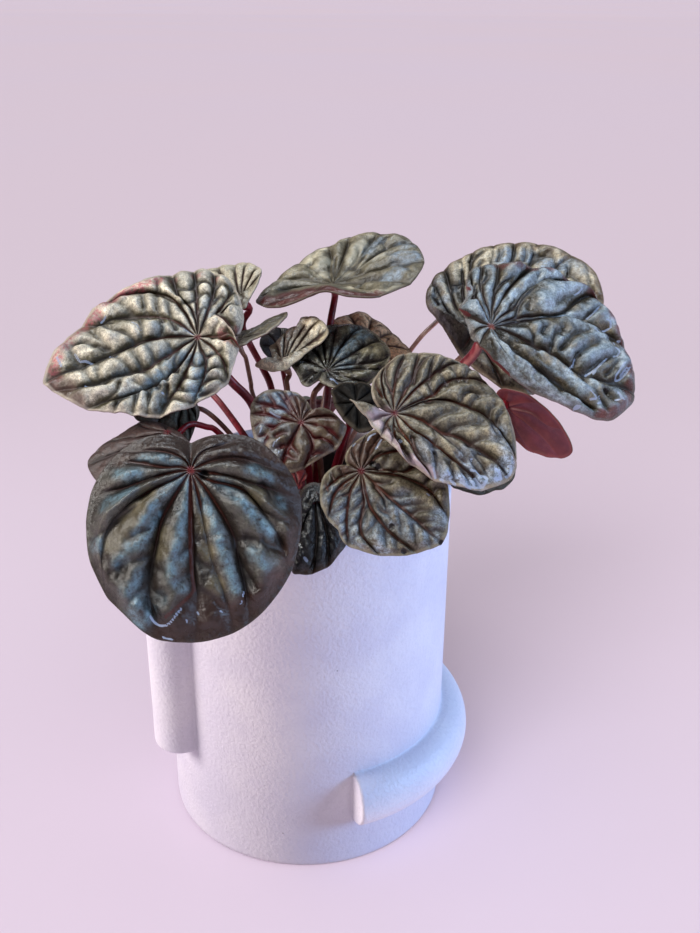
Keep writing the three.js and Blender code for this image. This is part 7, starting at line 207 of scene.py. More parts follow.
# paler and darker tracts of the blades, listed one by one: [half width, points]
# painted light: the paler tracts are light painted into the colour
PAINTED_LIGHT_TRACTS = {
    "A": [[1.56,[[14.5,-16.3],[12.68,-13.77],[9.65,-11.57],[6.65,-9.47],[4.8,-7.7]]],[1.56,[[21.4,-16.6],[19.5,-14.2]]],[1.25,[[26.1,-15.3],[24.6,-14.3]]],[1.25,[[14.4,-6.1],[13.9,-3.5]]],[1.25,[[22.8,-6.5],[21.4,-3.8]]],[1.25,[[30.6,-5.9],[27.3,-4.0]]],[1.88,[[35.5,-6.0],[34.8,-0.9]]],[1.56,[[14.7,-23.1],[7.2,-21.2],[3.8,-18.0],[2.1,-13.9]]],[1.25,[[-11.3,-15.6],[-10.9,-10.6],[-9.8,-8.5]]],[1.25,[[-6.2,-15.9],[-4.3,-8.7]]],[2.03,[[-4.0,-0.1],[-6.5,2.6],[-8.5,5.0],[-8.8,6.1]]],[1.56,[[-2.9,4.9],[-3.2,9.4],[-2.5,14.4]]],[1.25,[[33.3,2.2],[29.4,2.2],[25.8,2.9]]],[1.41,[[32.5,9.2],[27.5,9.9],[22.2,9.9],[17.8,10.2]]],[1.72,[[11.5,9.5],[10.3,14.3],[9.7,16.6]]],[1.56,[[13.8,19.0],[10.98,19.07],[7.98,18.02],[5.78,14.8],[4.8,9.3]]],[1.25,[[20.2,15.7],[16.2,16.5]]],[1.25,[[13.9,4.4],[12.0,6.7]]]],
    "C": [[1.56,[[1.3,14.0],[5.58,12.55],[10.9,11.32],[17.0,9.88],[22.18,7.15],[25.47,3.02],[27.3,-2.4]]],[1.25,[[7.1,9.5],[3.5,6.1]]],[1.41,[[-15.2,13.5],[-2.6,15.3],[4.6,14.8]]],[1.09,[[-2.3,-5.0],[-7.6,-12.2],[-7.1,-19.4]]]],
    "F": [[1.25,[[13.6,2.9],[15.7,-0.6]]]],
    "G": [[1.41,[[17.3,7.6],[14.9,5.3],[8.8,3.3]]],[1.72,[[16.6,2.4],[20.1,0.0],[19.3,-3.5]]],[1.25,[[9.3,-1.9],[13.2,-2.9]]],[1.09,[[9.4,-6.6],[11.4,-8.5]]]],
    "K": [[1.41,[[-7.2,13.0],[-5.8,5.7]]],[1.25,[[-2.4,14.4],[-1.5,8.0]]],[1.56,[[-0.7,19.0],[5.2,19.8],[7.5,21.6]]],[1.25,[[6.8,15.4],[11.2,18.0],[15.3,18.4]]],[1.41,[[12.6,10.4],[14.6,11.5]]],[1.41,[[2.4,-2.5],[5.2,-5.4],[6.9,-8.1]]],[1.25,[[10.4,-1.7],[12.7,-2.8],[16.2,-3.8],[18.9,-4.6]]],[1.25,[[22.4,2.1],[26.0,1.6]]],[1.25,[[27.8,-3.0],[30.1,-2.3]]],[1.25,[[3.5,8.4],[6.0,8.6]]],[1.25,[[18.3,2.7],[22.2,5.0]]]],
    "J": [[1.56,[[16.4,6.1],[19.8,5.6],[22.4,4.1]]],[1.56,[[21.4,-1.4],[25.0,-0.5]]],[1.25,[[13.1,-12.2],[16.7,-10.4],[18.6,-7.4]]],[1.25,[[13.2,-2.5],[14.0,-4.9]]],[0.94,[[3.3,-10.4],[6.4,-13.9]]],[0.94,[[4.1,-13.8],[3.7,-13.8]]],[0.94,[[8.7,-11.5],[10.1,-12.4]]]],
    "L": [[1.25,[[3.6,-21.0],[2.4,-17.1],[1.3,-12.5],[1.0,-9.2]]],[1.56,[[19.6,-20.6],[15.95,-20.25],[12.2,-19.3],[9.28,-16.75],[7.3,-12.6]]],[1.25,[[20.7,-20.4],[25.5,-19.3]]],[1.41,[[9.8,2.9],[13.95,3.35],[18.58,4.22],[23.33,5.6],[27.47,7.23],[30.7,8.8]]],[1.56,[[7.0,11.8],[11.2,16.0],[14.7,19.1]]],[2.5,[[24.8,18.4],[21.8,21.3]]],[0.94,[[0.6,7.1],[1.6,11.2],[3.0,14.9]]],[0.94,[[3.2,-4.7],[4.8,-8.1]]],[1.56,[[-4.9,16.9],[-2.6,20.5]]],[1.25,[[-4.4,-14.8],[-1.9,-16.0]]]],
    "O": [[1.56,[[0.1,20.8],[-1.7,14.5]]],[1.25,[[-2.9,20.8],[-6.4,17.2]]],[0.94,[[11.6,25.6],[8.5,22.0]]],[1.56,[[14.7,17.8],[20.8,22.7]]],[1.25,[[-1.0,8.0],[-0.1,4.7]]],[0.94,[[6.5,14.0],[10.3,18.9]]],[1.25,[[34.0,7.9],[38.1,8.9]]],[1.56,[[39.8,-0.1],[38.0,-6.9]]],[0.94,[[32.6,18.2],[31.0,14.6]]],[1.09,[[18.2,13.5],[22.2,12.8]]]],
    "P": [[1.56,[[1.0,7.9],[2.65,11.6],[4.62,15.95],[7.58,20.9],[11.7,25.9]]],[1.56,[[14.4,19.8],[18.0,24.6]]],[2.19,[[12.2,12.4],[16.1,16.5]]],[1.88,[[17.5,13.3],[22.4,14.3],[26.1,14.9],[29.0,14.2]]],[1.56,[[30.5,20.3],[33.8,18.1]]],[1.56,[[2.5,-3.4],[5.45,-6.1],[8.97,-7.97],[13.08,-8.97],[17.23,-9.43],[20.8,-9.6]]],[1.41,[[14.5,-1.9],[17.7,-2.7],[21.0,-3.4],[24.5,-3.9]]],[1.25,[[23.2,-9.4],[27.7,-9.0]]],[1.25,[[33.9,-7.9],[36.7,-7.8]]],[1.25,[[29.5,-1.5],[30.5,-4.3]]]],
    "N": [[0.94,[[15.3,-1.0],[16.6,2.8]]]],
    "I": [[1.09,[[3.4,-9.5],[5.2,-7.0]]],[1.25,[[8.3,-6.3],[10.8,-3.3]]],[1.09,[[0.0,5.2],[1.6,7.3]]]],
}
# painted shade: the darker tracts are shade painted into the colour
PAINTED_SHADE_TRACTS = {
    "A": [[1.25,[[14.3,-3.3],[9.42,-2.05],[4.6,-0.87],[0.93,1.17],[-0.9,4.6]]],[1.09,[[33.3,-0.9],[28.4,-1.4],[23.0,-1.0]]],[1.25,[[32.2,5.5],[28.12,5.83],[23.9,5.8],[19.88,5.78],[16.4,6.1]]],[0.94,[[25.3,12.3],[21.8,12.1]]],[1.25,[[15.3,11.7],[14.1,12.7]]],[1.25,[[10.3,9.7],[8.5,9.1],[5.9,6.1]]],[0.94,[[-7.1,-8.6],[-9.6,-14.5]]],[1.56,[[-2.3,-7.1],[-2.3,-0.6]]],[0.94,[[12.5,-19.8],[11.5,-18.6]]]],
    "C": [[1.41,[[-16.3,11.9],[-14.75,9.07],[-12.7,6.25],[-11.7,2.27],[-11.7,-2.9]]],[0.94,[[19.9,-5.0],[25.2,-6.8]]],[1.88,[[1.4,-9.6],[1.9,-12.7]]],[1.88,[[11.0,-14.7],[10.0,-19.4]]],[0.94,[[8.5,-2.6],[14.2,-3.4]]]],
    "G": [[1.25,[[-2.2,-1.8],[1.4,-4.9],[5.9,-8.9]]]],
    "K": [[1.25,[[5.9,-3.5],[9.4,-4.0],[12.0,-4.6],[15.0,-6.7]]],[1.25,[[1.3,2.0],[5.6,5.4],[8.7,8.1]]],[1.41,[[15.8,14.6],[19.3,15.9]]],[1.09,[[-0.1,8.5],[0.9,12.0]]],[0.94,[[26.0,-3.7],[27.0,-4.3]]]],
    "J": [[0.94,[[9.1,-1.7],[11.2,-1.3]]],[0.94,[[5.2,-4.7],[9.0,-8.4]]],[0.94,[[-0.2,-0.1],[0.8,1.6]]]],
    "L": [[1.56,[[20.2,1.4],[25.6,2.6]]],[1.25,[[8.3,-3.0],[4.4,-2.1]]],[1.25,[[16.8,12.5],[18.1,14.2]]],[1.25,[[21.5,-15.7],[24.1,-16.4]]],[1.56,[[28.9,-9.1],[29.8,-7.4]]],[1.56,[[4.6,7.1],[6.0,9.4]]],[1.09,[[25.5,12.8],[27.3,13.7]]],[1.09,[[11.5,1.1],[15.9,1.4]]]],
    "O": [[1.25,[[3.2,16.2],[1.3,11.1]]],[1.25,[[5.1,9.4],[4.2,5.3]]],[1.56,[[29.1,11.8],[33.9,12.3]]],[1.25,[[33.9,0.8],[34.3,-1.7]]]],
    "P": [[1.72,[[2.2,-0.0],[6.8,-3.08],[11.17,-4.92],[15.28,-5.92],[18.95,-6.75],[22.2,-7.5]]],[1.56,[[4.0,2.6],[8.4,5.3]]],[1.25,[[7.6,10.5],[7.7,14.5]]],[1.25,[[13.0,4.7],[13.6,7.0]]],[1.25,[[17.9,7.5],[18.3,9.5]]],[1.25,[[34.2,-2.6],[37.1,-2.9]]],[0.94,[[7.2,-1.4],[11.0,0.1]]]],
}

POT_R, POT_H, WALL, FLOOR = 42.0, 105.8, 3.6, 5.0
BAR_A, BAR_FILLET = 8.15, 0.8
RING_Z, RING_FROM, RING_TO = 24.15, 20.0, 190.0
POST_AZ, POST_Z0, POST_Z1 = -59.3, 30.3, 88.0
SOIL_TOP = 90.0


# ------------------------------------------------------------------ numbers
def smooth(x, lo, hi):
    t = np.clip((np.asarray(x, float) - lo) / (hi - lo), 0, 1)
    return t * t * (3 - 2 * t)


def _hash(ix, iy, seed):
    n = (ix.astype(np.int64) * 374761393 + iy.astype(np.int64) * 668265263 + seed * 1442695041) & 0xFFFFFFFF
    n = ((n ^ (n >> 13)) * 1274126177) & 0xFFFFFFFF
    return (n ^ (n >> 16)) & 0xFFFFFF


def noise2(x, y, seed=0):
    """Gradient noise, about -1 to 1."""
    x, y = np.broadcast_arrays(np.asarray(x, float), np.asarray(y, float))
    ix, iy = np.floor(x).astype(np.int64), np.floor(y).astype(np.int64)
    fx, fy = x - ix, y - iy

    def g(i, j):
        a = _hash(ix + i, iy + j, seed) / 0xFFFFFF * 2 * math.pi
        return np.cos(a) * (fx - i) + np.sin(a) * (fy - j)

    u = fx * fx * fx * (fx * (fx * 6 - 15) + 10)
    v = fy * fy * fy * (fy * (fy * 6 - 15) + 10)
    a = g(0, 0) * (1 - u) + g(1, 0) * u
    b = g(0, 1) * (1 - u) + g(1, 1) * u
    return (a * (1 - v) + b * v) * 1.5


def rand(k, seed):
    k = np.asarray(k)
    return _hash(np.floor(k).astype(np.int64), np.zeros_like(k, dtype=np.int64) + 7, seed) / 0xFFFFFF


def catmull(points, closed, per=12):
    p = np.asarray(points, float)
    n = len(p)
    out = []
    for i in range(n if closed else n - 1):
        if closed:
            p0, p1, p2, p3 = p[(i - 1) % n], p[i], p[(i + 1) % n], p[(i + 2) % n]
        else:
            p1, p2 = p[i], p[i + 1]
            p0 = p[i - 1] if i > 0 else 2 * p[0] - p[1]
            p3 = p[i + 2] if i + 2 < n else 2 * p[-1] - p[-2]
        t = (np.arange(per) / per)[:, None]
        out.append(0.5 * (2 * p1 + (p2 - p0) * t + (2 * p0 - 5 * p1 + 4 * p2 - p3) * t**2 + (3 * p1 - p0 - 3 * p2 + p3) * t**3))
    out.append((p[0] if closed else p[-1])[None, :])
    return np.vstack(out)


def run_of(curve, dims):
    seg = np.linalg.norm(np.diff(curve[:, :dims], axis=0), axis=1)
    c = np.r_[0, np.cumsum(seg)]
    return c / c[-1], c[-1]


def at_run(curve, run, s):
    return np.stack([np.interp(s, run, curve[:, k]) for k in range(curve.shape[1])], -1)


def srgb(h):
    c = [((h >> s) & 255) / 255 for s in (16, 8, 0)]
    return tuple(v / 12.92 if v <= 0.04045 else ((v + 0.055) / 1.055) ** 2.4 for v in c) + (1.0,)


# ------------------------------------------------------------------ node helpers
class Net:
    def __init__(self, name):
        self.mat = bpy.data.materials.new(name)
        self.mat.use_nodes = True
        self.t = self.mat.node_tree
        self.t.nodes.clear()
        self.out = self.t.nodes.new("ShaderNodeOutputMaterial")
        self.coord = self.t.nodes.new("ShaderNodeTexCoord").outputs["Object"]

    def node(self, kind, **props):
        n = self.t.nodes.new(kind)
        for k, v in props.items():
            setattr(n, k, v)
        return n

    def put(self, socket, value):
        if isinstance(value, bpy.types.NodeSocket):
            self.t.links.new(value, socket)
        elif value is not None:
            socket.default_value = value

    def attr(self, name):
        return self.node("ShaderNodeAttribute", attribute_name=name).outputs["Fac"]

    def math(self, op, a, b=None, c=None, clamp=False):
        n = self.node("ShaderNodeMath", operation=op, use_clamp=clamp)
        for i, v in enumerate((a, b, c)):
            if v is not None:
                self.put(n.inputs[i], v)
        return n.outputs[0]

    def step(self, v, lo, hi, a=0.0, b=1.0):
        n = self.node("ShaderNodeMapRange", interpolation_type="SMOOTHSTEP")
        for k, x in zip(("Value", "From Min", "From Max", "To Min", "To Max"), (v, lo, hi, a, b)):
            self.put(n.inputs[k], x)
        return n.outputs[0]

    def mix(self, f, a, b, blend="MIX"):
        n = self.node("ShaderNodeMix", data_type="RGBA", blend_type=blend)
        self.put(n.inputs["Factor"], f)
        self.put(n.inputs[6], a)
        self.put(n.inputs[7], b)
        return n.outputs[2]

    def noise(self, mm, detail=3.0, rough=0.55, distort=0.0, vector=None, stretch=None):
        v = vector or self.coord
        if stretch:
            m = self.node("ShaderNodeMapping")
            self.put(m.inputs["Vector"], v)
            m.inputs["Scale"].default_value = stretch
            v = m.outputs[0]
        n = self.node("ShaderNodeTexNoise")
        self.put(n.inputs["Vector"], v)
        n.inputs["Scale"].default_value = 1000.0 / mm
        n.inputs["Detail"].default_value = detail
        n.inputs["Roughness"].default_value = rough
        n.inputs["Distortion"].default_value = distort
        return n.outputs["Fac"]

    def voronoi(self, mm, feature="F1", vector=None, out="Distance", random=1.0):
        n = self.node("ShaderNodeTexVoronoi", feature=feature)
        self.put(n.inputs["Vector"], vector or self.coord)
        n.inputs["Scale"].default_value = 1000.0 / mm
        n.inputs["Randomness"].default_value = random
        return n.outputs[out]

    def bump(self, height, mm, strength=1.0, normal=None):
        n = self.node("ShaderNodeBump")
        n.inputs["Strength"].default_value = strength
        n.inputs["Distance"].default_value = mm / 1000.0
        self.put(n.inputs["Height"], height)
        self.put(n.inputs["Normal"], normal)
        return n.outputs[0]

    def finish(self, color, rough, normal=None, spec=0.5, coat=0.0, coat_rough=0.2, sheen=0.0, subsurface=0.0, sub_radius=(1, 0.4, 0.3), sub_scale=0.001):
        b = self.node("ShaderNodeBsdfPrincipled")
        self.put(b.inputs["Base Color"], color)
        self.put(b.inputs["Roughness"], rough)
        self.put(b.inputs["Normal"], normal)
        b.inputs["Specular IOR Level"].default_value = spec
        b.inputs["Coat Weight"].default_value = coat
        b.inputs["Coat Roughness"].default_value = coat_rough
        b.inputs["Sheen Weight"].default_value = sheen
        if subsurface:
            b.inputs["Subsurface Weight"].default_value = subsurface
            b.inputs["Subsurface Radius"].default_value = sub_radius
            b.inputs["Subsurface Scale"].default_value = sub_scale
        self.t.links.new(b.outputs[0], self.out.inputs["Surface"])
        return self.mat


def make_mesh(name, verts_mm, quads, tris, attrs=None, material_of=None, materials=(), sharp_deg=None):
    me = bpy.data.meshes.new(name)
    v = np.asarray(verts_mm, np.float64) / 1000.0
    q = np.asarray(quads, np.int64).reshape(-1, 4)
    t = np.asarray(tris, np.int64).reshape(-1, 3)
    me.vertices.add(len(v))
    me.vertices.foreach_set("co", v.astype(np.float32).ravel())
    loops = np.concatenate([q.ravel(), t.ravel()])
    me.loops.add(len(loops))
    me.loops.foreach_set("vertex_index", loops.astype(np.int32))
    me.polygons.add(len(q) + len(t))
    start = np.concatenate([np.arange(len(q)) * 4, len(q) * 4 + np.arange(len(t)) * 3])
    total = np.concatenate([np.full(len(q), 4), np.full(len(t), 3)])
    me.polygons.foreach_set("loop_start", start.astype(np.int32))
    me.polygons.foreach_set("loop_total", total.astype(np.int32))
    if material_of is not None:
        me.polygons.foreach_set("material_index", np.asarray(material_of, np.int32))
    me.polygons.foreach_set("use_smooth", np.ones(len(q) + len(t), bool))
    me.update(calc_edges=True)
    me.validate()
    for k, a in (attrs or {}).items():
        at = me.attributes.new(k, "FLOAT", "POINT")
        at.data.foreach_set("value", np.asarray(a, np.float32))
    if sharp_deg:
        me.set_sharp_from_angle(angle=math.radians(sharp_deg))
    for m in materials:
        me.materials.append(m)
    ob = bpy.data.objects.new(name, me)
    bpy.context.scene.collection.objects.link(ob)
    return ob


def place(ob, node):
    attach(ob, "root")
    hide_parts(node)


# ------------------------------------------------------------------ leaves
# hi / mid / gr: ridge tops, ridge flanks, sunken veins. amp: height of the pillows. sec: spacing of
# the side veins. D: their depth.
# t1 is the colour of a painted blue reflection of the sky on the ridges (olive on P)
BASE = dict(
    hi=0xC0BBA8, mid=0x6C6652, gr=0x2A2118, edge=0xA79D8A, t1=0x72869A, t2=0x9A4A50, t3=0x4A342A, pp=0x70222A, vein=0x4A231C,
    under=0x5C262A, under2=0x7E4038, amp=2.2, sec=4.2, D=0.75, chev=0.9, stag=0.7, vary=0.3, crinkle=0.10, rimfade=0.35, band=2.4,
    rough=0.40, coat=0.0, edge_w=0.8, edge_s=0.7, speck=0.5, lo_k=0.12, hi_k=0.85, lump=0.15, lump_mm=3.4, slot="leaf_silver", res=0.33,
    power=0.72, groove_w=0.5, wob=0.22, deep=0.34, knuckle=1.7, t2_min=0.7, spec=0.5, gr_s=0.93, steep=0.36, core=0.55, fill=0.7,
)
STYLE = {
    "A": dict(amp=3.5, sec=4.4, D=0.95, edge=0xCBBFAE, rimfade=0.5, t2=0xA0525A, power=0.9, hi=0xCFCAB8, mid=0x46412F, gr=0x1E1811, t1=0x6F8797, rough=0.34, crinkle=0.18, lump=0.2, groove_w=0.7, deep=0.36, t2_min=0.0, lo_k=0.2, hi_k=0.95, steep=0.44, core=0.7, fill=0.15),
    "B": dict(hi=0xC2BDA8, mid=0x7A745E, gr=0x2E2419, amp=1.9, sec=3.2, D=0.6, edge=0xB9B19B, res=0.29),
    "C": dict(hi=0x787360, mid=0x443E2E, gr=0x39321F, edge=0x5E5646, t1=0x8096AC, t2=0xB9B49E, t3=0x4A1A16, amp=1.9, sec=6.0, D=0.75, slot="leaf_olive", rough=0.34,
              edge_w=0.5, speck=0.5, deep=0.1, vein=0x3E3626, pp=0x4E4234, groove_w=0.4, gr_s=0.25, crinkle=0.05, lo_k=0.25, hi_k=0.95, steep=0.3),
    "D": dict(hi=0x5A5545, mid=0x3C382B, gr=0x2A2419, amp=0.8, D=0.2, slot="leaf_olive", t2=0x3A1A1A),
    "E": dict(hi=0x5A6468, mid=0x363B3B, gr=0x16130F, amp=1.0, sec=3.4, D=0.4, slot="leaf_slate", rough=0.34, edge=0x55564E),
    # painted light: F and H are coloured much lighter than their own tone to make up for the light they miss where they
    # sit
    "F": dict(hi=0xF0E6CC, mid=0xBDB296, gr=0x3A2A1C, amp=1.8, sec=2.4, D=0.7, slot="leaf_beige", rough=0.48, crinkle=0.26, res=0.25, edge=0xB4A78C, t3=0x4A2A1C, deep=0.16),
    "G": dict(hi=0x54554A, mid=0x1E1C18, gr=0x080706, edge=0x9C9580, t1=0x5D7588, amp=2.1, sec=3.8, D=0.7, slot="leaf_slate", rough=0.26, edge_w=0.7, edge_s=0.45, res=0.28, pp=0x3A2018, vein=0x241610, power=0.75, deep=0.42, lo_k=0.35, hi_k=1.0, t2=0x7A755F, t2_min=0.5, fill=0.5),
    "H": dict(hi=0xF2CCA2, mid=0xC8A884, gr=0x4E3220, edge=0x7B5A4C, t1=0x8A857A, amp=1.3, sec=3.4, D=0.6, slot="leaf_brown", rough=0.44, res=0.3, crinkle=0.16),
    "I": dict(hi=0x665B4C, mid=0x35281F, gr=0x4A1510, edge=0x857868, t1=0x7F98B0, t2=0x5A2424, t3=0x42291E, vein=0x571A1E, amp=2.5, sec=3.0, D=1.0, slot="leaf_mixed",
              rough=0.3, groove_w=0.9, res=0.28, power=0.6, deep=0.3, speck=0.4, lo_k=0.3, hi_k=0.98, crinkle=0.13, gr_s=0.97),
    "J": dict(hi=0x6E6857, mid=0x443E31, gr=0x24120A, edge=0x8E866F, t1=0x76899A, amp=2.8, sec=4.4, D=0.95, slot="leaf_beige", rough=0.34, vein=0x5A2A1C, power=0.65, crinkle=0.16, groove_w=0.62, deep=0.26, speck=0.7, res=0.29, lo_k=0.32, hi_k=0.98, fill=0.15, steep=0.42),
    "K": dict(hi=0x7C7664, mid=0x464034, gr=0x26120B, edge=0xA89C88, t1=0x9DB2CC, t2=0xC0AEB4, amp=3.0, sec=4.4, D=0.95, slot="leaf_beige", rough=0.34, vein=0x5A2A1C, power=0.6, crinkle=0.16, groove_w=0.62, deep=0.26, speck=0.7, res=0.29, lo_k=0.32, hi_k=0.98, fill=0.15, steep=0.42),
    "L": dict(hi=0x4E4C45, mid=0x2E2823, gr=0x110B08, edge=0x40332B, t1=0x6A8896, t2=0x5F5844, t3=0x2E1F1A, pp=0x8E3A3C, vein=0x4A1E12, amp=3.6, sec=9.0, D=0.55, chev=1.2,
              slot="leaf_slate", rough=0.3, rimfade=0.10, band=6.5, edge_w=0.5, crinkle=0.09, speck=0.3, groove_w=0.62, power=0.95, lo_k=0.34, hi_k=1.0, lump=0.24, lump_mm=6.0, stag=0.9, edge_s=0.5, deep=0.36, steep=0.44, core=0.8, fill=0.45),
    "M": dict(hi=0x4C3A36, mid=0x30231F, gr=0x1A110F, edge=0x47342F, t1=0x5F5D5B, amp=0.6, sec=5, D=0.2, slot="leaf_dark", rough=0.42),
    "M2": dict(hi=0x5A5D54, mid=0x36362E, gr=0x15110D, edge=0x4A4034, amp=1.3, sec=5, D=0.2, slot="leaf_dark", rough=0.42, res=0.34, vein=0x2A1C14, spec=0.4),
    "N": dict(hi=0x24272A, mid=0x141210, gr=0x100C0A, edge=0x3E3026, amp=1.8, sec=3.6, D=0.7, slot="leaf_dark", rough=0.26, edge_w=1.2, res=0.28, pp=0x3A2018, vein=0x241610, spec=0.4),
    # painted shadow: O's near-black t2 is put where P shades it
    "O": dict(hi=0xB4AD98, mid=0x4B4534, gr=0x1E150D, edge=0x7C6A58, t1=0x8CA3BA, t2=0x1C0E0A, t3=0x48301F, amp=3.0, sec=5.4, D=0.9, slot="leaf_olive", rough=0.33, power=0.7, speck=0.6, groove_w=0.7, deep=0.26, lo_k=0.3, hi_k=0.98, crinkle=0.14),
    "P": dict(hi=0x91A4B2, mid=0x3A382E, gr=0x1E1810, edge=0x76706A, t1=0x70664E, t2=0x5F302D, pp=0x9A5A50, vein=0x3A2A26, amp=3.3, sec=5.4, D=1.0, slot="leaf_blue", rough=0.26,
              speck=0.45, power=0.7, groove_w=0.85, crinkle=0.14, deep=0.34, lo_k=0.34, hi_k=1.0, fill=0.65),
    "Q": dict(hi=0x6A6654, mid=0x4E4838, gr=0x2A2018, under=0x6C2A30, under2=0x8A4440, amp=0.7, sec=5, D=0.1, slot="leaf_wine", crinkle=0.05, edge=0x8A7A60),
    "R": dict(hi=0x15120F, mid=0x0A0907, gr=0x050403, amp=1.7, D=0.5, slot="leaf_dark", edge=0x4A4238, pp=0x1A0D0A, vein=0x0E0806, speck=0.1, rough=0.6, spec=0.12, edge_w=0.9),
    "T": dict(hi=0x8A3A3C, mid=0x5F2326, gr=0x2A1011, amp=0.4, D=0.1, slot="leaf_wine", edge=0x7A4A44),
    "U": dict(hi=0x4A463D, mid=0x332F28, gr=0x15110E, amp=1.1, D=0.35, slot="leaf_dark", edge=0x3A362C),
    "V": dict(hi=0x7E7A64, mid=0x4C4737, gr=0x281F15, amp=1.1, D=0.35, slot="leaf_olive", edge=0x5A5543),
    "W": dict(amp=1.9, sec=4.0, D=0.7),
    "X": dict(hi=0x8A8570, mid=0x524C3A, gr=0x281F15, amp=1.8, sec=4.0, D=0.65, slot="leaf_olive", edge=0x6A6552),
    "Y": dict(hi=0x9FA39A, mid=0x5E6053, gr=0x2A2119, amp=1.9, sec=4.2, D=0.7),
    "Z": dict(hi=0x5B5F5A, mid=0x343430, gr=0x15110E, amp=1.5, sec=3.6, D=0.5, slot="leaf_dark", edge=0x44443C),
}


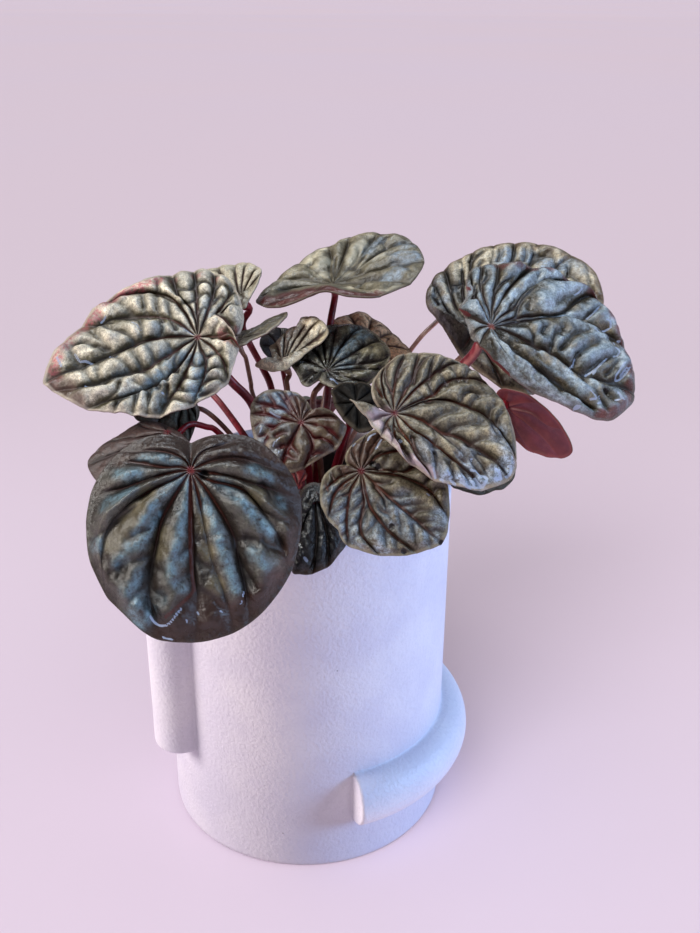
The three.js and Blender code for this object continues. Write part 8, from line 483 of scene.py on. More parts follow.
def leaf_material(key, s):
    m = Net("leaf_%s_top" % key)
    groove, ridge, edge, rho = m.attr("groove"), m.attr("ridge"), m.attr("edge"), m.attr("rho")
    t1, t2, t3, wet, pit = m.attr("t1"), m.attr("t2"), m.attr("t3"), m.attr("wet"), m.attr("pit")
    big, mid, fine, grain = m.noise(7, 2), m.noise(2.2, 4, 0.6), m.noise(0.85, 4, 0.72), m.noise(0.42, 2, 0.7)
    # ridge tops are coloured lighter than their flanks: partly the leaf's own silver, partly painted light on the tops
    # and painted shade on the flanks
    k = m.math("ADD", ridge, m.math("MULTIPLY", m.math("SUBTRACT", mid, 0.5), 0.9))
    col = m.mix(m.step(k, s["lo_k"], s["hi_k"]), srgb(s["mid"]), srgb(s["hi"]))
    # painted reflection: the t1 patches lay a blue-grey sheen of the sky over the ridges
    blue = m.math("MULTIPLY", t1, m.step(m.math("ADD", mid, m.math("MULTIPLY", fine, 0.5)), 0.45, 0.95))
    col = m.mix(blue, col, srgb(s["t1"]))
    # silver grains between darker pores: partly the leaf's own grain, partly painted sparkle of highlights
    light = m.mix(1.0, col, (1.75, 1.73, 1.68, 1), "MULTIPLY")
    dark = m.mix(1.0, col, (0.46, 0.43, 0.39, 1), "MULTIPLY")
    g = m.step(m.math("ADD", m.math("MULTIPLY", fine, 0.55), m.math("MULTIPLY", grain, 0.45)), 0.41, 0.60)
    col = m.mix(s["speck"], col, m.mix(g, dark, light))
    tint = m.math("MULTIPLY", t2, m.step(m.math("ADD", m.math("MULTIPLY", fine, 0.7), m.math("MULTIPLY", mid, 0.3)), 0.36, 0.60, s["t2_min"], 1.0))
    col = m.mix(tint, col, srgb(s["t2"]))
    # painted shade in part: the low flanks of the ridges take the dark vein colour, partly the leaf's own colour and
    # partly the shade in the hollows
    low = m.math("MULTIPLY", m.step(m.math("ADD", ridge, m.math("MULTIPLY", m.math("SUBTRACT", mid, 0.5), 0.25)), s["deep"] * 0.2, s["deep"], 1.0, 0.0), m.step(edge, 0.7, 4.0))
    low = m.math("MULTIPLY", low, m.math("SUBTRACT", 1.0, m.attr("flat"), clamp=True))
    gm = m.math("MAXIMUM", m.step(m.math("ADD", groove, m.math("MULTIPLY", m.math("SUBTRACT", fine, 0.5), 0.35)), 0.18, 0.85), m.math("MULTIPLY", low, 0.85))
    gm = m.math("MULTIPLY", gm, m.step(rho, 1.0, 9.0, s["core"], 1.0))
    gcol = m.mix(m.math("MULTIPLY", m.step(rho, 3.0, 26.0, 1.0, 0.0), m.step(groove, 0.55, 0.95)), srgb(s["gr"]), srgb(s["vein"]))
    col = m.mix(m.math("MULTIPLY", gm, s["gr_s"]), col, gcol)
    tint = m.math("MULTIPLY", t3, m.step(m.math("ADD", fine, m.math("MULTIPLY", t3, 0.8)), 0.45, 0.85))
    col = m.mix(tint, col, m.mix(m.step(mid, 0.35, 0.65), srgb(s["t3"]), m_dark(s["t3"], 1.35)))
    # painted light and painted shade: broad tracts of the blade are coloured paler where light falls on them and darker
    # where shade falls
    light_breakup = m.step(m.math("ADD", mid, m.math("MULTIPLY", fine, 0.4)), 0.30, 0.80, 0.5, 1.0)
    col = m.mix(m.math("MULTIPLY", m.attr("painted_light"), light_breakup), col, m.mix(1.0, col, (1.8, 1.77, 1.73, 1), "MULTIPLY"))
    col = m.mix(m.math("MULTIPLY", m.attr("painted_shade"), 0.9), col, m.mix(1.0, col, (0.38, 0.35, 0.32, 1), "MULTIPLY"))
    em = m.step(m.math("ADD", edge, m.math("MULTIPLY", m.math("SUBTRACT", mid, 0.5), 0.8)), s["edge_w"] * 0.25, s["edge_w"] * 1.3, s["edge_s"], 0.0)
    col = m.mix(em, col, srgb(s["edge"]))
    col = m.mix(m.step(m.math("ADD", rho, m.math("MULTIPLY", m.math("SUBTRACT", fine, 0.5), 0.8)), 0.35, 1.45, 0.95, 0.0), col, srgb(s["pp"]))
    col = m.mix(m.step(pit, 0.2, 0.7), col, srgb(0x120D0A))
    col = m.mix(m.math("MULTIPLY", m.step(big, 0.35, 0.7), 0.22), col, m.mix(1.0, col, (0.72, 0.70, 0.68, 1), "MULTIPLY"))
    col = m.mix(m.math("MULTIPLY", m.step(m.attr("rib"), 0.3, 0.8), 0.85), col, srgb(s["vein"]))
    # painted highlight: bright blue-white glints of standing water at the low ends of the ridges are painted into the
    # colour, and the roughness drops there too
    painted_glint = m.step(m.math("ADD", m.attr("painted_glint"), m.math("MULTIPLY", m.math("SUBTRACT", fine, 0.5), 0.45)), 0.42, 0.56)
    col = m.mix(m.math("MULTIPLY", painted_glint, 0.66), col, srgb(0xB0C2E0))
    r = m.math("ADD", s["rough"], m.math("MULTIPLY", m.math("SUBTRACT", fine, 0.5), 0.30))
    r = m.math("ADD", r, m.math("MULTIPLY", gm, 0.12))
    wm = m.math("MULTIPLY", wet, m.step(big, 0.36, 0.52, 0.4, 1.0))
    r = m.math("MULTIPLY", r, m.step(wm, 0.1, 0.7, 1.0, 0.30))
    r = m.math("MULTIPLY", r, m.step(painted_glint, 0.0, 1.0, 1.0, 0.25))
    h = m.math("ADD", m.math("MULTIPLY", fine, 0.6), m.math("MULTIPLY", grain, 0.4))
    bumped = m.bump(h, 0.34, 0.8)
    bumped = m.bump(mid, 0.30, 0.5, bumped)
    if s["knuckle"]:
        cells = m.voronoi(s["knuckle"], "SMOOTH_F1")
        bumped = m.bump(m.math("MULTIPLY", m.math("SUBTRACT", 1.0, cells), m.step(ridge, 0.1, 0.5)), 0.55, 0.7, bumped)
    return m.finish(col, r, bumped, spec=s["spec"], coat=s["coat"], coat_rough=0.15)


def under_material(key, s):
    m = Net("leaf_%s_under" % key)
    groove, edge, rho = m.attr("groove"), m.attr("edge"), m.attr("rho")
    big, mid, fine = m.noise(6, 3), m.noise(1.6, 4, 0.6), m.noise(0.45, 3, 0.65)
    c = m.mix(m.step(big, 0.32, 0.68), srgb(s["under"]), m_dark(s["under"], 0.68))
    c = m.mix(m.math("MULTIPLY", m.step(mid, 0.4, 0.75), 0.32), c, srgb(s["under2"]))
    c = m.mix(m.math("MULTIPLY", m.step(fine, 0.5, 0.72), 0.3), c, m_dark(s["under"], 1.35))
    c = m.mix(m.math("MULTIPLY", m.step(groove, 0.5, 0.95), 0.28), c, srgb(s["under2"]))
    c = m.mix(m.step(edge, 0.2, 1.4, 0.45, 0.0), c, m_dark(s["under2"], 1.1))
    c = m.mix(m.step(rho, 0.5, 2.4, 0.8, 0.0), c, srgb(0x7A1A26))
    r = m.math("ADD", 0.42, m.math("MULTIPLY", fine, 0.2))
    return m.finish(c, r, m.bump(m.math("ADD", mid, fine), 0.15, 0.5), spec=0.45)


def m_dark(h, k):
    c = srgb(h)
    return (min(1, c[0] * k), min(1, c[1] * k), min(1, c[2] * k), 1.0)


def line_distance(x, y, lines):
    """Distance from each point to the nearest of the lines, and how far along that line it is."""
    best, along = np.full(x.shape, 1e9), np.zeros(x.shape)
    for line in lines:
        p = catmull(line, False, 4) if len(line) > 2 else np.asarray(line, float)
        n = len(p) - 1
        for k in range(n):
            a, b = p[k], p[k + 1]
            ab = b - a
            t = np.clip(((x - a[0]) * ab[0] + (y - a[1]) * ab[1]) / max(ab.dot(ab), 1e-9), 0, 1)
            d = np.hypot(x - a[0] - t * ab[0], y - a[1] - t * ab[1])
            hit = d < best
            best = np.where(hit, d, best)
            along = np.where(hit, (k + t) / n, along)
    return best, along


def blob_field(key, name, x, y, power=1):
    """Soft round patches on a leaf, listed one by one: [mask, along, across, radius, strength]."""
    out = np.zeros(np.broadcast_shapes(np.shape(x), np.shape(y)))
    for k, u0, v0, r, w in PAINT.get(key, ()):
        if k == name:
            d = np.hypot(x - u0, y - v0) / r
            out = np.maximum(out, w * (1 - smooth(d, 0.55, 1.35)))
    return out


def painted_glint_field(key, x, y):
    """Painted highlight: glints of standing water along short strokes: [half width, points]. 0.5 is the edge of the
    glint.
    """
    out = np.zeros(np.shape(x))
    for w, line in PAINTED_GLINTS.get(key, ()):
        d, _ = line_distance(x, y, [line])
        out = np.maximum(out, np.clip(1 - 0.5 * d / w, 0, 1))
    return out


def stroke_field(table, key, x, y):
    """Soft strokes, listed one by one: [half width, points]."""
    out = np.zeros(np.shape(x))
    for w, line in table.get(key, ()):
        d, _ = line_distance(x, y, [line])
        out = np.maximum(out, np.exp(-((d / w) ** 2)))
    return out


def build_leaf(key):
    L, s = LEAVES[key], dict(BASE, **STYLE[key])
    seed = sum(ord(c) * 31**i for i, c in enumerate(key)) % 9973
    rim = catmull(L["rim"], not L["open"])
    run, perimeter = run_of(rim, 2)
    veins = [(v[0], v[1]) for v in L["veins"]]
    if not L["open"]:
        veins.append((veins[0][0] + 1.0, veins[0][1]))
    size = float(np.mean(np.hypot(rim[:, 0], rim[:, 1])))
    res = s["res"] * 1.0
    N = int(np.clip(size * 1.15 / res, 26, 112))
    T = np.linspace(0, 1, N + 1)[1:]

    def O(x):
        return at_run(rim, run, x if L["open"] else np.mod(x, 1.0))

    lines = []
    for v, pts in veins:
        e = O(np.array([v]))[0]
        c = catmull([[0, 0]] + [list(p) for p in pts] + [[e[0], e[1]]], False, 10)
        r, _ = run_of(c, 2)
        lines.append(at_run(c, r, T))
    X, Y, Z, GR, RI, RHO, W, FF, S = ([] for _ in range(9))
    for i in range(len(veins) - 1):
        a, b = lines[i], lines[i + 1]
        wr = float(np.hypot(*(a[-1] - b[-1])))
        arc = (veins[i + 1][0] - veins[i][0]) * perimeter
        n = int(np.clip(round(max(wr, arc) / res), 8, 96))
        x = np.arange(n + 1) / n
        f = 0.45 * x + 0.55 * (0.5 - 0.5 * np.cos(math.pi * x))
        if not (L["open"] and i == len(veins) - 2):
            f = f[:-1]
        sp = veins[i][0] + f * (veins[i + 1][0] - veins[i][0])
        o = O(sp)
        F = f[:, None]
        px = a[None, :, 0] * (1 - F) + b[None, :, 0] * F
        py = a[None, :, 1] * (1 - F) + b[None, :, 1] * F
        ex = (a[-1, 0] * (1 - f) + b[-1, 0] * f)[:, None]
        ey = (a[-1, 1] * (1 - f) + b[-1, 1] * f)[:, None]
        tt = T[None, :]
        px = px + tt**2 * (o[:, 0][:, None] - ex)
        py = py + tt**2 * (o[:, 1][:, None] - ey)
        gap = np.hypot(a[:, 0] - b[:, 0], a[:, 1] - b[:, 1])[None, :]
        rho = np.cumsum(np.hypot(np.diff(np.c_[np.zeros(len(f)), px], axis=1), np.diff(np.c_[np.zeros(len(f)), py], axis=1)), axis=1)
        dm = rho[:, -1:] - rho
        e = np.minimum(F, 1 - F) * gap
        A = np.minimum(s["amp"], s["steep"] * gap)
        flat = blob_field(key, "flat", px, py)
        fade = s["rimfade"] + (1 - s["rimfade"]) * smooth(dm, 0.0, s["band"])
        fade = fade * (1 - 0.85 * flat)
        # side veins branch off each vein toward the rim and part the ridge into pillows
        sid = seed * 7 + i * 131
        r4 = rand(np.arange(4) + 5 * i, sid % 89 + 1)
        ee = 1.7 * gap * F * (1 - F)
        lean = (2 * smooth(F, 0.22, 0.78) - 1) * (0.5 * s["stag"] * (0.6 + 0.8 * r4[0])) * (1 if i % 2 else -1)
        warp = s["wob"] * noise2(px / 4.5, py / 4.5, sid % 97) + 0.12 * noise2(px / 1.7, py / 1.7, (sid + 5) % 97)
        sec = s["sec"] * (0.88 + 0.24 * r4[1])
        q = (rho - s["chev"] * ee) / sec + lean + warp + r4[2]
        traced = SIDE.get(key)
        cell, edge_no = np.floor(q), np.round(q)
        pillow = np.abs(np.sin(math.pi * q))
        depth = s["D"] * (0.55 + 0.8 * rand(edge_no + 40, (sid + 3) % 97)) * (1 - 0.38 * np.sin(math.pi * F) ** 2)
        reach = smooth(gap, 1.6, 4.2) * (0.5 + 0.5 * smooth(dm, 0.2, 2.5)) * (1 - 0.8 * flat)
        rel = 1 - np.clip(depth, 0, 0.92) * (1 - pillow ** 0.62) * reach
        rel = rel * (1 + s["vary"] * (rand(cell + 80, (sid + 17) % 97) - 0.5) * pillow ** 0.5 * reach)
        dq = np.abs(q - edge_no) * sec
        if traced:
            # the grooves of this leaf follow its own side veins, deepest where they leave the main vein
            dq, along = line_distance(px, py, traced)
            taper = (1 - 0.3 * along) * smooth(rho, 1.5, 5.0)
            swell = np.clip(dq / 2.1, 0, 1)
            depth = s["D"] * taper
            near = np.clip(depth * (1 - (1 - (1 - swell) ** 2) ** 0.85), 0, 0.93)
            rel = (1 - near) * (1 + s["vary"] * 0.5 * noise2(px / 4.0, py / 4.0, (sid + 17) % 97))
            reach = taper
        side_gr = np.exp(-((dq / (s["groove_w"] * 0.85)) ** 2)) * reach * np.clip(depth / 0.45, 0, 1.1)
        cross = np.sin(math.pi * F) ** s["power"]
        lump = 1 + s["lump"] * noise2(px / s["lump_mm"], py / s["lump_mm"], (sid + 3) % 97)
        # the ridges run on across the tracts painted lighter and sink in those painted darker
        filled, sunk = stroke_field(PAINTED_LIGHT_TRACTS, key, px, py), stroke_field(PAINTED_SHADE_TRACTS, key, px, py)
        body = cross * np.clip(rel, 0.06, 1.3) * lump
        body = body + s["fill"] * filled * np.clip(0.85 - body, 0, 1)
        body = body * (1 - min(0.55, s["fill"]) * sunk)
        h = A * fade * body
        grit = smooth(rho, 1.0, 4.0) * (0.3 + 0.7 * cross) * (1 - 0.7 * flat)
        h = h + s["crinkle"] * (noise2(px / 0.95, py / 0.95, (sid + 9) % 97) + 1.7 * noise2(px / 2.1, py / 2.1, (sid + 19) % 97)) * grit
        h = h - 1.0 * blob_field(key, "pit", px, py, 2)
        h = h + 0.30 * np.exp(-((rho / 1.1) ** 2))
        z = o[:, 2][:, None] * tt**2 + h
        main_gr = np.exp(-((e / s["groove_w"]) ** 2)) * (0.45 + 0.55 * smooth(dm, 0.0, 3.5)) * smooth(rho, 0.3, 1.6)
        X.append(px), Y.append(py), Z.append(z)
        GR.append(np.clip(np.maximum(main_gr, 0.85 * side_gr) * (1 - s["fill"] * filled), 0, 1))
        RI.append(np.clip(0.8 * body * (1 - 0.4 * flat) + 0.2 * h / max(0.6, s["amp"]), 0, 1.3))
        RHO.append(rho), W.append(dm), FF.append(np.broadcast_to(F, px.shape)), S.append(h)
    X, Y, Z, GR, RI, RHO, DM, H = (np.vstack(v) for v in (X, Y, Z, GR, RI, RHO, W, S))
    def soften(g, passes):
        for _ in range(passes):
            p = np.vstack([g[:1], g, g[-1:]]) if L["open"] else np.vstack([g[-1:], g, g[:1]])
            g = 0.5 * g + 0.25 * (p[:-2] + p[2:])
            p = np.hstack([g[:, :1], g, g[:, -1:]])
            g = 0.5 * g + 0.25 * (p[:, :-2] + p[:, 2:])
        return g

    Z, H, RI, GR = soften(Z, 1), soften(H, 1), soften(RI, 1), soften(GR, 1)
    M = len(X)
    # outward direction on the rim, for its rounded edge
    d = np.stack([X[:, -1] - X[:, -2], Y[:, -1] - Y[:, -2]], -1)
    d /= np.maximum(np.linalg.norm(d, axis=1, keepdims=True), 1e-6)
    th = L["th"] * (0.55 + 0.45 * smooth(DM, 0.0, 5.0))
    zt = Z + th * 0.5
    zb = Z - th * 0.5 - 0.12 * H
    n = np.array(L["n"]); u = np.array(L["u"]); v = np.cross(n, u); at = np.array(L["at"])

    def world(x, y, z):
        return at + x[..., None] * u + y[..., None] * v + z[..., None] * n

    rows = [world(X[:, j], Y[:, j], zt[:, j]) for j in range(N)]
    k = 0.20
    rows.append(world(X[:, -1] + d[:, 0] * k * 0.8, Y[:, -1] + d[:, 1] * k * 0.8, Z[:, -1] + th[:, -1] * 0.22))
    rows.append(world(X[:, -1] + d[:, 0] * k * 0.8, Y[:, -1] + d[:, 1] * k * 0.8, Z[:, -1] - th[:, -1] * 0.22))
    back = list(range(N - 1, -1, -1))
    rows += [world(X[:, j], Y[:, j], zb[:, j]) for j in back]
    P = np.stack(rows)  # rows x columns x 3
    R = len(rows)
    top_c = at + n * (0.30 + L["th"] * 0.5)
    bot_c = at - n * (L["th"] * 0.5)
    verts = np.vstack([P.reshape(-1, 3), top_c, bot_c])
    ct, cb = R * M, R * M + 1
    col = np.arange(M)
    nxt = (col + 1) % M
    if L["open"]:
        col, nxt = col[:-1], nxt[:-1]
    quads, mats, tris, tmats = [], [], [], []
    for j in range(R - 1):
        a, b, c, e2 = j * M + col, (j + 1) * M + col, (j + 1) * M + nxt, j * M + nxt
        quads.append(np.stack([a, b, c, e2], -1))
        mats.append(np.full(len(col), 0 if j <= N else 1))
    tris.append(np.stack([np.full(len(col), ct), col, nxt], -1)); tmats.append(np.zeros(len(col)))
    tris.append(np.stack([np.full(len(col), cb), (R - 1) * M + nxt, (R - 1) * M + col], -1)); tmats.append(np.ones(len(col)))
    if L["open"]:
        # the notch's two edges
        for c0, turn in ((0, False), (M - 1, True)):
            for j in range(N - 1):
                q = [j * M + c0, (R - 1 - j) * M + c0, (R - 2 - j) * M + c0, (j + 1) * M + c0]
                quads.append(np.array([q[::-1] if turn else q])); mats.append(np.zeros(1))
            q = [(N - 1) * M + c0, (N + 2) * M + c0, (N + 1) * M + c0, N * M + c0]
            quads.append(np.array([q[::-1] if turn else q])); mats.append(np.zeros(1))
            q = [ct, cb, (R - 1) * M + c0, c0]
            quads.append(np.array([q[::-1] if turn else q])); mats.append(np.zeros(1))

    def field(f, centre):
        r = [f[:, j] for j in range(N)] + [f[:, -1], f[:, -1]] + [f[:, j] for j in back]
        return np.r_[np.stack(r).ravel(), centre, centre]

    # painted light in these masks: the crest strokes join the t1 patches as painted highlight, the water strokes are
    # painted glints, and the tract strokes are painted light and painted shade
    masks = {k: np.clip(blob_field(key, k, X, Y, 2 if k == "pit" else 1), 0, 1) for k in ("t1", "t2", "t3", "wet", "pit", "flat")}
    masks["painted_glint"] = painted_glint_field(key, X, Y)
    masks["t1"] = np.maximum(masks["t1"], stroke_field(CREST_HIGHLIGHTS, key, X, Y))
    masks["rib"] = stroke_field(RIB, key, X, Y)
    masks["painted_light"] = stroke_field(PAINTED_LIGHT_TRACTS, key, X, Y)
    masks["painted_shade"] = stroke_field(PAINTED_SHADE_TRACTS, key, X, Y)
    attrs = {
        "groove": field(GR, 0.2), "ridge": field(RI, 0.2), "edge": field(DM, 9.0), "rho": field(RHO, 0.0),
        **{k: field(v, 0.0) for k, v in masks.items()},
    }
    mats = np.concatenate(mats + tmats)
    ob = make_mesh("blade_" + key, verts, np.vstack(quads), np.vstack(tris), attrs, mats, [leaf_material(key, s), under_material(key, s)])
    place(ob, "leaf_" + key)
    return ob


# ------------------------------------------------------------------ petioles
def stem_material(name, base, dark, light, highlight_stripe=None):
    m = Net(name)
    long, mid, fine = m.noise(3.2, 3, 0.6, stretch=(1, 1, 0.22)), m.noise(1.4, 3), m.noise(0.35, 3, 0.6)
    c = m.mix(m.step(long, 0.35, 0.65), srgb(dark), srgb(base))
    c = m.mix(m.math("MULTIPLY", m.step(mid, 0.5, 0.75), 0.5), c, srgb(light))
    c = m.mix(m.math("MULTIPLY", m.step(fine, 0.55, 0.7), 0.25), c, srgb(light))
    c = m.mix(m.step(m.attr("tip"), 0.0, 1.0, 0.0, 0.55), c, srgb(light))
    # a pale stripe along the side of the stalk that faces forward and up: partly a real groove, partly a painted
    # highlight
    if highlight_stripe:
        c = m.mix(m.math("MULTIPLY", m.step(m.math("ADD", m.attr("highlight_stripe"), m.math("MULTIPLY", m.math("SUBTRACT", mid, 0.5), 0.3)), 0.25, 0.8), 0.9), c, srgb(highlight_stripe))
    r = m.math("ADD", 0.24, m.math("MULTIPLY", mid, 0.22))
    return m.finish(c, r, m.bump(m.math("ADD", mid, m.math("MULTIPLY", fine, 0.5)), 0.14, 0.5), spec=0.55)


STEM_RED = stem_material("stalk_red", 0x8A0E22, 0x5C0814, 0xAC3442)
# the fourth colour of the pink stalk is its pale stripe, partly a painted highlight
STEM_PINK = stem_material("stalk_pink", 0x85202E, 0x5E0E1A, 0xA84850, 0xB9706C)
# painted light in part: the tan stalks are coloured lighter than their own tone, making up for the shade the V stalk
# sits in
STEM_TAN = stem_material("stalk_tan", 0xDCB4A0, 0xC08A78, 0xEED4C0)
STEM_OLIVE = stem_material("stalk_olive", 0x80543F, 0x5A3026, 0xA47C66)
STEM_LOOK = {"P": (STEM_PINK, "petiole_red"), "O": (STEM_TAN, "petiole_brown"), "D": (STEM_OLIVE, "petiole_brown"), "F": (STEM_OLIVE, "petiole_brown"), "G": (STEM_OLIVE, "petiole_brown"),
             "M2": (STEM_OLIVE, "petiole_brown"), "V": (STEM_TAN, "petiole_brown"), "T": (STEM_OLIVE, "petiole_brown"), "X": (STEM_OLIVE, "petiole_brown")}


def build_stem(key):
    S = STEMS[key]
    path = np.array(S["path"], float)
    L = LEAVES[key]
    n = np.array(L["n"])
    path = np.vstack([path[0] - [0, 0, 2.2], path])
    path[-1] = np.array(L["at"]) - n * (L["th"] * 0.25)
    c = catmull(path, False, 14)
    run, length = run_of(c, 3)
    K = max(24, int(length / 0.9))
    t = np.linspace(0, 1, K)
    p = at_run(c, run, t)
    tan = np.gradient(p, axis=0)
    tan /= np.linalg.norm(tan, axis=1, keepdims=True)
    seed = sum(map(ord, key)) * 3
    sides, verts, highlight_stripe = 14, [], []
    side = np.array([1.0, 0, 0])
    ang = np.arange(sides) / sides * 2 * math.pi
    fromtip, frombase = (1 - t) * length, t * length
    r = S["r"] * (1.10 - 0.16 * t) * (1 + 0.05 * noise2(t * length / 7, np.full(K, 0.3), seed))
    r = r * (1 + 0.45 * np.exp(-(frombase / 3.5) ** 2) + 0.55 * np.exp(-(fromtip / 1.6) ** 2))
    for i in range(K):
        side = side - tan[i] * side.dot(tan[i])
        side /= np.linalg.norm(side)
        up = np.cross(tan[i], side)
        rr = r[i] * (1 + 0.035 * np.cos(2 * ang + seed) + 0.02 * noise2(ang * 2 / math.pi, np.full(sides, i * 0.25), seed + 1))
        out = np.cos(ang)[:, None] * side + np.sin(ang)[:, None] * up
        # the stripe follows the side facing forward and up: partly a real groove, partly a painted highlight
        highlight_stripe.append(smooth(out @ np.array([0.12, -0.93, 0.34]), 0.45, 0.98))
        verts.append(p[i] + rr[:, None] * out)
    verts = np.vstack(verts + [p[0][None], p[-1][None]])
    a = np.arange(sides)
    b = (a + 1) % sides
    quads = np.vstack([np.stack([i * sides + a, i * sides + b, (i + 1) * sides + b, (i + 1) * sides + a], -1) for i in range(K - 1)])
    tris = np.vstack([np.stack([np.full(sides, K * sides), b, a], -1), np.stack([np.full(sides, K * sides + 1), (K - 1) * sides + a, (K - 1) * sides + b], -1)])
    tip = np.r_[np.repeat(np.exp(-((fromtip / 5.0) ** 2)), sides), 0, 1]
    look, slot = STEM_LOOK.get(key, (STEM_RED, "petiole_red"))
    ob = make_mesh("stalk_" + key, verts, quads, tris, {"tip": tip, "highlight_stripe": np.r_[np.concatenate(highlight_stripe), 0, 0]}, None, [look])
    place(ob, "petiole_" + key)


# ------------------------------------------------------------------ pot
def bar_height(q, a):
    """Height of a half-round bar of radius a over the wall at distance q from its middle, with a small fillet."""
    f = BAR_FILLET
    d = np.sqrt(a * a + 2 * a * f)
    q1 = d * a / (a + f)
    circle = np.sqrt(np.clip(a * a - q * q, 0, None))
    fillet = f - np.sqrt(np.clip(f * f - (d - q) ** 2, 0, None))
    return np.where(q <= q1, circle, np.where(q < d, fillet, 0.0)) * (a > 0.01)


def ended(q, d, e):
    """Bar height with a flat end at d = 0 whose edge is rounded to radius e; d is the distance into the bar."""
    inside = BAR_A - e + np.sqrt(np.clip(e * e - np.clip(e - d, 0, None) ** 2, 0, None))
    h = np.where(d >= 0, bar_height(q, np.where(d >= 0, inside, BAR_A)), 0.0)
    f = 0.7
    foot = np.where((d < 0) & (d > -f), (f - np.sqrt(np.clip(f * f - (d + f) ** 2, 0, None))), 0.0)
    return np.where(d >= 0, h, np.minimum(foot, bar_height(q, BAR_A - e)))


def merge_lines(special, plain, tol):
    special = np.array(sorted(special))
    keep = [x for x in plain if np.min(np.abs(special - x)) > tol]
    return np.array(sorted(list(special) + keep))


